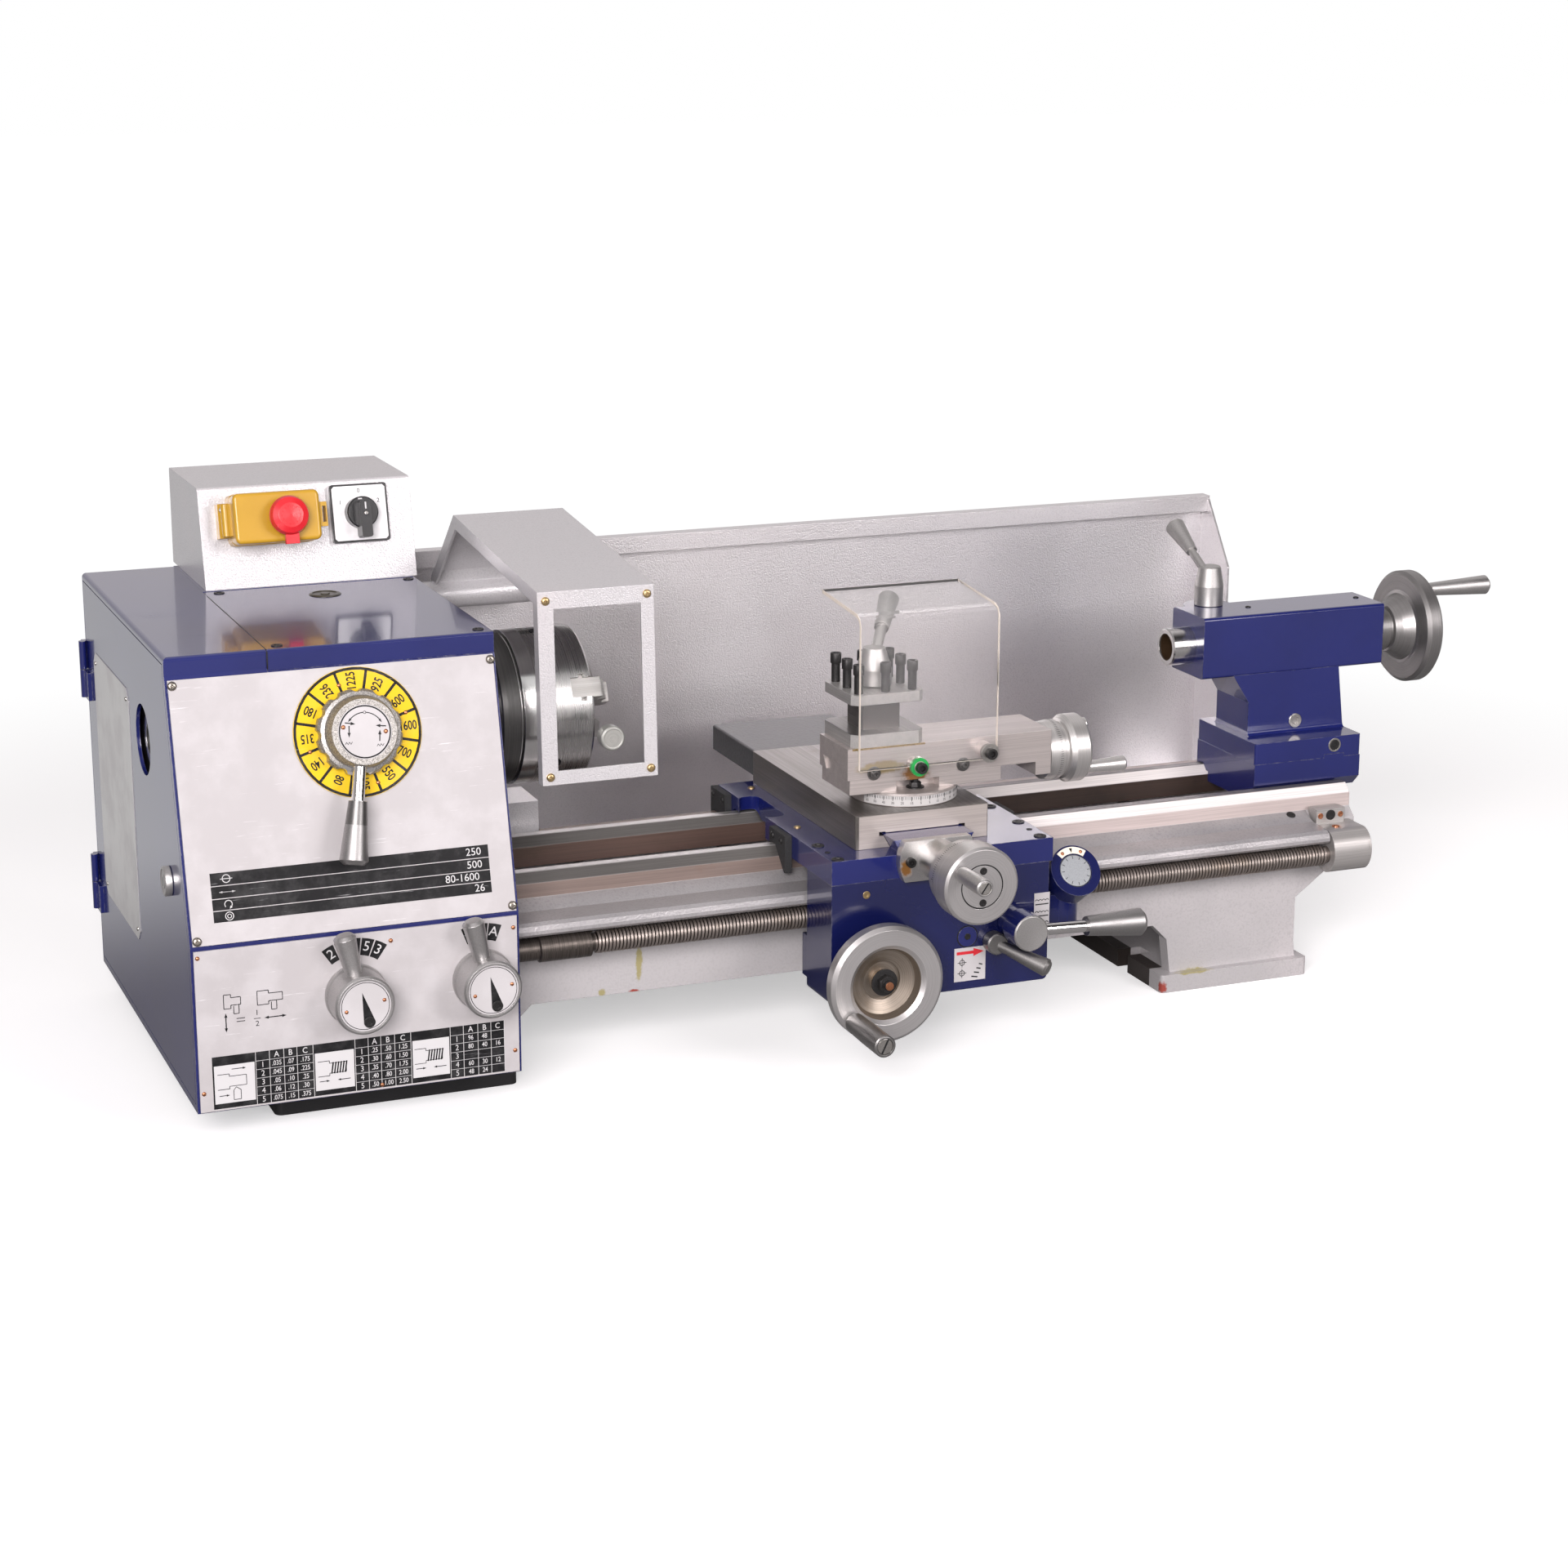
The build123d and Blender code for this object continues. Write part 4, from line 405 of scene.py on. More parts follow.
@dataclass
class Graph:
    """Short ways to wire nodes in one tree."""

    tree: Tree

    @classmethod
    def of(cls, owner: Union[Material, bpy.types.World]) -> "Graph":
        """Empty graph of a material or a world.

        Args:
            owner: The material or world.

        Returns:
            Its graph.
        """
        owner.use_nodes = True
        owner.node_tree.nodes.clear()
        return cls(owner.node_tree)

    def node(self, kind: str, **settings: object) -> Node:
        """Add a node and set its properties.

        Args:
            kind: Blender's name of the node's type.
            settings: Properties of the node.

        Returns:
            The node.
        """
        node = self.tree.nodes.new(kind)
        for key, value in settings.items():
            setattr(node, key, value)
        return node

    def feed(self, value: object, socket: Socket) -> None:
        """Link a socket, or set a constant on it.

        Args:
            value: Socket or constant that goes in.
            socket: Input that takes it.
        """
        if isinstance(value, Socket):
            self.tree.links.new(value, socket)
        elif isinstance(value, tuple) and socket.type == "RGBA":
            socket.default_value = (*value, 1.0)
        else:
            socket.default_value = value

    def wired(self, kind: str, inputs: dict[Key, object], out: Key = 0, **settings: object) -> Socket:
        """Add a node, feed its inputs and return one of its outputs.

        Args:
            kind: Blender's name of the node's type.
            inputs: Sockets or constants by the name or number of the input.
            out: Name or number of the output.
            settings: Properties of the node.

        Returns:
            The output.
        """
        node = self.node(kind, **settings)
        for key, value in inputs.items():
            self.feed(value, node.inputs[key])
        return node.outputs[out]

    def close(self, result: Socket, kind: str) -> Tree:
        """Feed the tree's output node and return the tree."""
        self.feed(result, self.node(kind).inputs[0])
        return self.tree

    def math(self, operation: str, a: Value, b: Value = 0.0) -> Socket:
        """Work out one number from two."""
        return self.wired("ShaderNodeMath", {0: a, 1: b}, operation=operation)

    def times(self, a: Value, b: Value) -> Socket:
        """Product of two numbers."""
        return self.math("MULTIPLY", a, b)

    def plus(self, a: Value, b: Value) -> Socket:
        """Sum of two numbers."""
        return self.math("ADD", a, b)

    def vector(self, operation: str, a: Value, b: Value = ORIGIN, out: str = "Vector") -> Socket:
        """Work out a vector, or the output named Value, from two vectors."""
        return self.wired("ShaderNodeVectorMath", {0: a, 1: b}, out, operation=operation)

    def tint(self, share: Value, a: Value, b: Value) -> Socket:
        """Mix two colours."""
        return self.wired("ShaderNodeMix", {0: share, 6: a, 7: b}, 2, data_type="RGBA")

    def between(self, share: Value, a: Value, b: Value) -> Socket:
        """Mix two numbers."""
        return self.wired("ShaderNodeMix", {0: share, 2: a, 3: b}, data_type="FLOAT")

    def step(self, value: Value, low: Value, high: Value, start: float = 0.0, end: float = 1.0) -> Socket:
        """Map a range smoothly and clamp it."""
        inputs = dict(enumerate((value, low, high, start, end)))
        return self.wired("ShaderNodeMapRange", inputs, interpolation_type="SMOOTHSTEP")

    def below(self, value: Value, limit: float, soft: float) -> Socket:
        """One below a limit and none above it, with a soft border."""
        return self.step(value, limit - soft, limit + soft, 1.0, 0.0)

    def within(self, value: Value, low: float, high: float, soft: float) -> Socket:
        """One between two limits and none outside them, with soft borders."""
        return self.times(self.step(value, low - soft, low + soft), self.below(value, high, soft))

    @cached_property
    def coords(self) -> Socket:
        """Object coordinates in metres."""
        return self.node("ShaderNodeTexCoord").outputs["Object"]

    def away(self, spot: Triple) -> Socket:
        """Object coordinates measured from a spot given in lathe millimetres."""
        return self.vector("SUBTRACT", self.coords, tuple(place(*spot)))

    def mapped(self, vector: Value, scale: Triple, move: Triple = ORIGIN, turn: Triple = ORIGIN) -> Socket:
        """Scale, move and turn a vector."""
        inputs = {"Vector": vector, "Location": move, "Rotation": turn, "Scale": scale}
        return self.wired("ShaderNodeMapping", inputs)

    def parts(self, vector: Value) -> tuple[Socket, ...]:
        """Split a vector into X, Y and Z."""
        return tuple(self.wired("ShaderNodeSeparateXYZ", {0: vector}).node.outputs)

    def joined(self, x: Value, y: Value, z: Value) -> Socket:
        """Join X, Y and Z into a vector."""
        return self.wired("ShaderNodeCombineXYZ", {0: x, 1: y, 2: z})

    def noise(self, vector: Value, scale: Value, detail: float = 3.0, roughness: float = 0.55) -> Socket:
        """Cloudy noise from nought to one."""
        inputs = {"Vector": vector, "Scale": scale, "Detail": detail, "Roughness": roughness}
        return self.wired("ShaderNodeTexNoise", inputs)

    def group(self, tree: Tree, vector: Optional[Socket] = None, **inputs: Value) -> tuple[Socket, ...]:
        """Place a shared effect on a vector, or on the object's coordinates, and return its outputs."""
        inputs["Vector"] = vector or self.coords
        return tuple(self.wired("ShaderNodeGroup", inputs, node_tree=tree).node.outputs)


def effect(name: str, build: Callable[..., Sequence[Socket]], outputs: Sequence[str],
           **inputs: float) -> Tree:
    """Make a shared shader effect as a node group.

    Args:
        name: Name of the group.
        build: Takes the graph, the vector and the other inputs, and returns one socket per output.
        outputs: Names of the values put out.
        inputs: Names and default values of the inputs besides the vector.

    Returns:
        The group's tree.
    """
    tree = bpy.data.node_groups.new(name, "ShaderNodeTree")
    tree.interface.new_socket("Vector", in_out="INPUT", socket_type="NodeSocketVector")
    for label, default in inputs.items():
        socket = tree.interface.new_socket(label, in_out="INPUT", socket_type="NodeSocketFloat")
        socket.default_value = default
    for label in outputs:
        tree.interface.new_socket(label, in_out="OUTPUT", socket_type="NodeSocketFloat")
    g = Graph(tree)
    source = g.node("NodeGroupInput")
    sink = g.node("NodeGroupOutput")
    results = build(g, *(source.outputs[label] for label in ("Vector", *inputs)))
    for label, result in zip(outputs, results):
        g.feed(result, sink.inputs[label])
    return tree


def wire_hammer(g: Graph, vector: Socket, scale: Socket) -> list[Socket]:
    """Dimples of hammer enamel, with the darker veins between them.

    Args:
        g: Graph of the group.
        vector: Where the effect is read.
        scale: Dimples to a metre.

    Returns:
        Height and vein.
    """
    wobble = g.noise(vector, g.times(scale, 0.7), 2.0)
    shifted = g.vector("ADD", vector, g.joined(g.times(wobble, 0.002), 0.0, 0.0))
    inputs = {"Vector": shifted, "Scale": scale}
    cell = g.wired("ShaderNodeTexVoronoi", inputs, "Distance", feature="SMOOTH_F1")
    fine = g.noise(vector, g.times(scale, 2.6), 2.0)
    height = g.plus(g.step(cell, 0.1, 0.75, 1.0, 0.0), g.times(fine, 0.35))
    return [height, g.step(cell, 0.38, 0.72)]


def wire_grind(g: Graph, vector: Socket, density: Socket) -> list[Socket]:
    """Long fine lines along X of the vector, broken here and there.

    Args:
        g: Graph of the group.
        vector: Where the effect is read.
        density: How close the marks lie.

    Returns:
        The lines.
    """
    fine = g.noise(g.mapped(vector, (14.0, 1500.0, 1500.0)), density, 2.0)
    broad = g.noise(g.mapped(vector, (3.0, 160.0, 160.0)), density, 3.0)
    return [g.between(0.4, fine, broad)]


def wire_turn(g: Graph, vector: Socket, density: Socket) -> list[Socket]:
    """Rings about Z of the vector, as a lathe tool leaves them.

    Args:
        g: Graph of the group.
        vector: Where the effect is read.
        density: How close the marks lie.

    Returns:
        The rings.
    """
    x, y, z = g.parts(vector)
    radius = g.math("SQRT", g.plus(g.times(x, x), g.times(y, y)))
    angle = g.math("ARCTAN2", y, x)
    line = g.joined(g.times(radius, 1800.0), g.times(z, 1800.0), g.times(angle, 0.25))
    return [g.noise(line, density, 2.0)]


def wire_stain(g: Graph, vector: Socket, scale: Socket, amount: Socket) -> list[Socket]:
    """Patches of oil and tarnish with ragged borders.

    Args:
        g: Graph of the group.
        vector: Where the effect is read.
        scale: Patches to a metre.
        amount: Share that they cover.

    Returns:
        The mask.
    """
    broad = g.noise(vector, scale, 6.0, 0.62)
    drop = g.math("SUBTRACT", 1.0, amount)
    return [g.step(broad, drop, g.plus(drop, 0.16))]


def wire_wear(g: Graph, vector: Socket, radius: Socket) -> list[Socket]:
    """Worn corners: where a rounded normal leaves the true one, broken up by noise.

    Args:
        g: Graph of the group.
        vector: Where the effect is read.
        radius: Reach of the wear in metres.

    Returns:
        The mask.
    """
    rounded = g.wired("ShaderNodeBevel", {"Radius": radius}, samples=BEVEL_SAMPLES)
    true_normal = g.node("ShaderNodeNewGeometry").outputs["True Normal"]
    bend = g.math("SUBTRACT", 1.0, g.vector("DOT_PRODUCT", rounded, true_normal, "Value"))
    broken = g.step(g.noise(vector, 160.0, 5.0, 0.7), 0.42, 0.66)
    return [g.times(g.step(bend, 0.02, 0.2), broken)]


def wire_grit(g: Graph, vector: Socket, scale: Socket) -> list[Socket]:
    """Fine even grain, and a slow mottle under it."""
    return [g.noise(vector, scale, 2.0), g.noise(vector, g.times(scale, 0.02), 4.0)]


def wire_scuff(g: Graph, vector: Socket, density: Socket) -> list[Socket]:
    """Thin crossing scratches, as on a protective film.

    Args:
        g: Graph of the group.
        vector: Where the effect is read.
        density: How close the marks lie.

    Returns:
        The mask.
    """
    marks: list[Socket] = []
    for turn in (0.5, 2.1, 2.8):
        bent = g.mapped(vector, (18.0, 420.0, 420.0), (turn, 0.3 * turn, 0.0), (turn, turn * 0.7, turn))
        marks.append(g.step(g.noise(bent, density, 4.0, 0.75), 0.66, 0.74))
    return [g.math("MAXIMUM", marks[0], g.math("MAXIMUM", marks[1], marks[2]))]


HAMMER = effect("hammer_dimples", wire_hammer, ("Height", "Vein"), Scale=200.0)
GRIND = effect("grinding_lines", wire_grind, ("Line",), Density=1.0)
TURN = effect("turning_rings", wire_turn, ("Ring",), Density=1.0)
STAIN = effect("oil_stain", wire_stain, ("Mask",), Scale=9.0, Amount=0.4)
WEAR = effect("worn_corner", wire_wear, ("Mask",), Radius=0.0012)
GRIT = effect("fine_grit", wire_grit, ("Grain", "Mottle"), Scale=900.0)
SCUFF = effect("film_scuff", wire_scuff, ("Mask",), Density=1.0)


class Way(Enum):
    """Direction in which a surface was ground or turned."""

    X = 0
    Y = 1
    Z = 2

    def first(self, g: Graph) -> Socket:
        """Turn the object's coordinates so that this direction becomes their X."""
        parts = g.parts(g.coords)
        return g.joined(*(parts[(self.value + k) % 3] for k in range(3)))

    def last(self, g: Graph, vector: Socket) -> Socket:
        """Turn a vector so that this direction becomes its Z."""
        parts = g.parts(vector)
        return g.joined(*(parts[(self.value + k) % 3] for k in (1, 2, 3)))


@dataclass
class Look:
    """What one finish gives the shader: colour, roughness, metal, coat and a bump height."""

    color: Value
    rough: Value
    metal: Value = 0.0
    coat: Value = 0.0
    height: Optional[Socket] = None

    def under(self, g: Graph, mask: Socket, top: "Look") -> "Look":
        """Lay another look over this one where a mask says so.

        Args:
            g: The material's graph.
            mask: Share of the upper look.
            top: The upper look.

        Returns:
            The mixed look.
        """
        bump = None
        if self.height or top.height:
            bump = g.between(mask, self.height or 0.0, top.height or 0.0)

        def mixed(a: Value, b: Value) -> Value:
            """Mix two numbers unless they are the same."""
            return a if a == b else g.between(mask, a, b)
        return Look(g.tint(mask, self.color, top.color), mixed(self.rough, top.rough),
                    mixed(self.metal, top.metal), mixed(self.coat, top.coat), bump)


class Finish:
    """A surface finish that can be made into a material."""

    bevel: float = 0.0006
    ior: float = 1.5
    clear: float = 0.0

    def look(self, g: Graph) -> Look:
        """Wire the finish.

        Args:
            g: The material's graph.

        Returns:
            What the shader takes from it.
        """
        raise NotImplementedError

    def material(self, name: str) -> Material:
        """Make a material of this finish.

        Args:
            name: Name of the material.

        Returns:
            The material.
        """
        material = bpy.data.materials.new(name)
        g = Graph.of(material)
        look = self.look(g)
        inputs = {"Base Color": look.color, "Roughness": look.rough, "Metallic": look.metal,
                  "Coat Weight": look.coat, "Coat Roughness": COAT_ROUGH, "IOR": self.ior,
                  "Transmission Weight": self.clear}
        normal: dict[str, Socket] = {}
        if self.bevel:
            normal["Normal"] = g.wired("ShaderNodeBevel", {"Radius": self.bevel}, samples=BEVEL_SAMPLES)
        if look.height:
            normal["Normal"] = g.wired("ShaderNodeBump", {"Distance": MM, "Height": look.height, **normal})
        if normal and look.coat != 0:
            inputs["Coat Normal"] = normal["Normal"]
        g.close(g.wired("ShaderNodeBsdfPrincipled", {**inputs, **normal}), "ShaderNodeOutputMaterial")
        return material


def dimmed(color: Triple, share: float) -> Triple:
    """A share of a colour."""
    return tuple(c * share for c in color)


@dataclass(frozen=True)
class Enamel(Finish):
    """Gloss enamel with a light orange peel, dust and worn corners."""

    color: Triple
    rough: float = 0.22
    coat: float = 0.6
    peel: float = 0.05
    wear: float = 0.5
    bare: Triple = (0.42, 0.41, 0.40)

    def look(self, g: Graph) -> Look:
        """Paint over iron, with a slow change of tone.

        Args:
            g: The material's graph.

        Returns:
            The look.
        """
        grain, mottle = g.group(GRIT, Scale=420.0)
        tone = g.step(mottle, 0.3, 0.7)
        darker = dimmed(self.color, 0.82)
        color = g.tint(tone, darker, self.color)
        dust = g.group(STAIN, Scale=7.0, Amount=0.36)[0]
        rough = g.between(dust, self.rough, self.rough + 0.12)
        height = g.times(grain, self.peel)
        paint = Look(color, rough, 0.0, self.coat, height)
        if not self.wear:
            return paint
        worn = g.group(WEAR, Radius=0.0011)[0]
        return paint.under(g, g.times(worn, self.wear), Look(self.bare, 0.35, 0.9, 0.0))


@dataclass(frozen=True)
class Hammer(Finish):
    """Silver hammer enamel: dimpled, a little metallic, with faint rosy patches."""

    color: Triple = (0.60, 0.588, 0.60)
    vein: Triple = (0.49, 0.478, 0.49)
    warm: Triple = (0.66, 0.615, 0.625)
    scale: float = 900.0
    rough: float = 0.32
    depth: float = 0.1
    metal: float = 0.35
    coat: float = 0.45

    def look(self, g: Graph) -> Look:
        """Dimples with veins, over a slow shift towards a warm tone.

        Args:
            g: The material's graph.

        Returns:
            The look.
        """
        dimple, vein = g.group(HAMMER, Scale=self.scale)
        blush = g.step(g.noise(g.coords, 6.0, 3.0), 0.45, 0.75)
        base = g.tint(g.times(blush, 0.5), self.color, self.warm)
        color = g.tint(g.times(vein, 0.55), base, self.vein)
        height = g.times(dimple, self.depth)
        return Look(color, self.rough, self.metal, self.coat, height)


@dataclass(frozen=True)
class Ground(Finish):
    """Ground iron or steel with grinding lines, oil and tarnish."""

    color: Triple = (0.55, 0.53, 0.50)
    oil: Triple = (0.33, 0.25, 0.15)
    way: Way = Way.X
    stain: float = 0.42
    rough: float = 0.27
    depth: float = 0.02
    metal: float = 0.75

    def look(self, g: Graph) -> Look:
        """Lines along the grinding way under patches of old oil.

        Args:
            g: The material's graph.

        Returns:
            The look.
        """
        line = g.group(GRIND, self.way.first(g))[0]
        shade = g.step(line, 0.3, 0.7)
        dull = dimmed(self.color, 0.74)
        mask = g.group(STAIN, Scale=16.0, Amount=self.stain)[0]
        color = g.tint(g.times(mask, 0.62), g.tint(shade, dull, self.color), self.oil)
        rough = g.between(shade, self.rough + 0.1, self.rough)
        return Look(color, rough, self.metal, g.times(mask, 0.4), g.times(line, self.depth))


@dataclass(frozen=True)
class Turned(Finish):
    """Turned metal with fine rings about an axis."""

    color: Triple = (0.66, 0.65, 0.63)
    way: Way = Way.X
    centre: Triple = ORIGIN
    rough: float = 0.24
    depth: float = 0.02
    spread: float = 0.2
    tarnish: float = 0.25
    metal: float = 0.85

    def look(self, g: Graph) -> Look:
        """Rings in tone and height, with light tarnish.

        Args:
            g: The material's graph.

        Returns:
            The look.
        """
        ring = g.group(TURN, self.way.last(g, g.away(self.centre)))[0]
        shade = g.step(ring, 0.3, 0.7)
        dull = dimmed(self.color, 1 - self.spread)
        mask = g.group(STAIN, Scale=22.0, Amount=self.tarnish)[0]
        warm = (self.color[0] * 0.66, self.color[1] * 0.56, self.color[2] * 0.42)
        color = g.tint(g.times(mask, 0.45), g.tint(shade, dull, self.color), warm)
        rough = g.between(shade, self.rough + 0.08, self.rough)
        return Look(color, rough, self.metal, 0.0, g.times(ring, self.depth))


@dataclass(frozen=True)
class Satin(Finish):
    """Blasted or plated metal with a fine even grain."""

    color: Triple = (0.56, 0.55, 0.54)
    rough: float = 0.36
    grain: float = 0.03
    metal: float = 1.0
    speckle: float = 0.12

    def look(self, g: Graph) -> Look:
        """Grain in tone, roughness and height.

        Args:
            g: The material's graph.

        Returns:
            The look.
        """
        grain, mottle = g.group(GRIT, Scale=1100.0)
        dark = dimmed(self.color, 1 - self.speckle)
        color = g.tint(g.step(grain, 0.35, 0.65), dark, self.color)
        rough = g.between(g.step(mottle, 0.3, 0.7), self.rough, self.rough + 0.1)
        return Look(color, rough, self.metal, 0.0, g.times(grain, self.grain))


@dataclass(frozen=True)
class Moulded(Finish):
    """Moulded plastic with a faint grain and soft wear."""

    color: Triple
    rough: float = 0.32
    grain: float = 0.02
    coat: float = 0.15

    def look(self, g: Graph) -> Look:
        """One colour with a slow mottle and a fine grain.

        Args:
            g: The material's graph.

        Returns:
            The look.
        """
        grain, mottle = g.group(GRIT, Scale=1400.0)
        pale = tuple(min(1.0, c * 1.08 + 0.004) for c in self.color)
        color = g.tint(g.step(mottle, 0.3, 0.7), self.color, pale)
        worn = g.group(WEAR, Radius=0.0008)[0]
        rough = g.between(worn, self.rough, self.rough + 0.2)
        return Look(color, rough, 0.0, self.coat, g.times(grain, self.grain))


@dataclass(frozen=True)
class Plate(Finish):
    """Printed plate under a protective film: pale, satin, a little scuffed."""

    color: Triple = (0.43, 0.41, 0.415)
    haze: Triple = (0.54, 0.525, 0.535)
    rough: float = 0.38
    scuff: float = 0.4
    metal: float = 0.0

    def look(self, g: Graph) -> Look:
        """Cloudy film with thin scratches.

        Args:
            g: The material's graph.

        Returns:
            The look.
        """
        cloud = g.step(g.noise(g.coords, 26.0, 5.0, 0.6), 0.38, 0.68)
        marks = g.group(SCUFF)[0]
        color = g.tint(g.times(cloud, 0.5), self.color, self.haze)
        color = g.tint(g.times(marks, self.scuff), color, (0.93, 0.93, 0.95))
        rough = g.between(cloud, self.rough, self.rough + 0.14)
        grain = g.group(GRIT, Scale=700.0)[0]
        return Look(color, rough, self.metal, 0.2, g.times(grain, 0.02))


@dataclass(frozen=True)
class Ink(Finish):
    """Printing ink, with pale scuffs where the film over it creased."""

    color: Triple
    scuff: float = 0.3
    rough: float = 0.4
    bevel: float = 0.0
    ior: float = 1.3

    def look(self, g: Graph) -> Look:
        """Ink broken by thin marks.

        Args:
            g: The material's graph.

        Returns:
            The look.
        """
        marks = g.group(SCUFF)[0]
        cloud = g.step(g.noise(g.coords, 60.0, 4.0, 0.65), 0.4, 0.8)
        pale = tuple(c + (0.55 - c) * 0.06 for c in self.color)
        color = g.tint(cloud, self.color, pale)
        color = g.tint(g.times(marks, self.scuff), color, (0.78, 0.78, 0.8))
        return Look(color, self.rough)


@dataclass(frozen=True)
class Clear(Finish):
    """Clear sheet with faint scratches and a tinted edge."""

    tint: Triple = (0.93, 0.95, 0.95)
    rough: float = 0.03
    ior: float = 1.2
    clear: float = 1.0
    bevel: float = 0.0
    coat: float = 0.0

    def look(self, g: Graph) -> Look:
        """Clear body whose roughness follows thin scratches.

        Args:
            g: The material's graph.

        Returns:
            The look.
        """
        marks = g.group(SCUFF)[0]
        cloud = g.step(g.noise(g.coords, 30.0, 3.0), 0.5, 0.8)
        hazy = dimmed(self.tint, 0.95)
        rough = g.between(marks, self.rough, self.rough + 0.2)
        return Look(g.tint(cloud, self.tint, hazy), rough, coat=self.coat)


@dataclass(frozen=True)
class Felt(Finish):
    """Soft dark felt or rubber."""

    color: Triple = (0.018, 0.018, 0.019)
    rough: float = 0.75

    def look(self, g: Graph) -> Look:
        """Uneven matt surface.

        Args:
            g: The material's graph.

        Returns:
            The look.
        """
        grain = g.group(GRIT, Scale=1700.0)[0]
        pale = tuple(c * 2.2 + 0.01 for c in self.color)
        color = g.tint(g.step(grain, 0.5, 0.8), self.color, pale)
        return Look(color, self.rough, 0.0, 0.0, g.times(grain, 0.12))


class Zone:
    """A region of a piece, in lathe millimetres."""

    def mask(self, g: Graph) -> Socket:
        """Wire the region.

        Args:
            g: The material's graph.

        Returns:
            Its mask.
        """
        raise NotImplementedError


@dataclass(frozen=True)
class BoxZone(Zone):
    """Everything between two corners."""

    low: Triple
    high: Triple
    soft: float = 0.4

    def mask(self, g: Graph) -> Socket:
        """Product of what lies between the sides along X, Y and Z.

        Args:
            g: The material's graph.

        Returns:
            The mask.
        """
        limits = zip(g.parts(g.coords), place(*self.low), place(*self.high))
        x, y, z = (g.within(part, low, high, self.soft * MM) for part, low, high in limits)
        return g.times(g.times(x, y), z)


@dataclass(frozen=True)
class BarZone(Zone):
    """Everything near a straight line and between two distances along it."""

    start: Triple
    way: Triple
    near: float
    far: float
    reach: float
    soft: float = 0.25

    def mask(self, g: Graph) -> Socket:
        """Distance along the line and away from it.

        Args:
            g: The material's graph.

        Returns:
            The mask.
        """
        way = tuple(Vector(self.way).normalized())
        moved = g.away(self.start)
        along = g.vector("DOT_PRODUCT", moved, way, "Value")
        aside = g.vector("LENGTH", g.vector("CROSS_PRODUCT", moved, way), out="Value")
        between = g.within(along, self.near * MM, self.far * MM, self.soft * MM)
        return g.times(between, g.below(aside, self.reach * MM, self.soft * MM))


@dataclass(frozen=True)
class SpotZone(Zone):
    """A spot with a ragged border."""

    centre: Triple
    radius: float
    stretch: Triple = (1.0, 1.0, 1.0)
    ragged: float = 1.1

    def mask(self, g: Graph) -> Socket:
        """Distance from the centre, broken by noise.

        Args:
            g: The material's graph.

        Returns:
            The mask.
        """
        moved = g.vector("DIVIDE", g.away(self.centre), self.stretch)
        away = g.vector("LENGTH", moved, out="Value")
        broken = g.times(g.noise(g.coords, 150.0, 5.0, 0.65), self.ragged)
        total = g.plus(g.math("DIVIDE", away, self.radius * MM), broken)
        return g.step(total, 0.5 + self.ragged / 2, 1.0 + self.ragged / 2, 1.0, 0.0)


@dataclass(frozen=True)
class Zoned(Finish):
    """A base finish with other finishes laid over some of its regions."""

    base: Finish
    parts: tuple[tuple[Zone, Finish], ...]

    def look(self, g: Graph) -> Look:
        """Lay each region over what is below it.

        Args:
            g: The material's graph.

        Returns:
            The look.
        """
        result = self.base.look(g)
        for zone, finish in self.parts:
            result = result.under(g, zone.mask(g), finish.look(g))
        return result


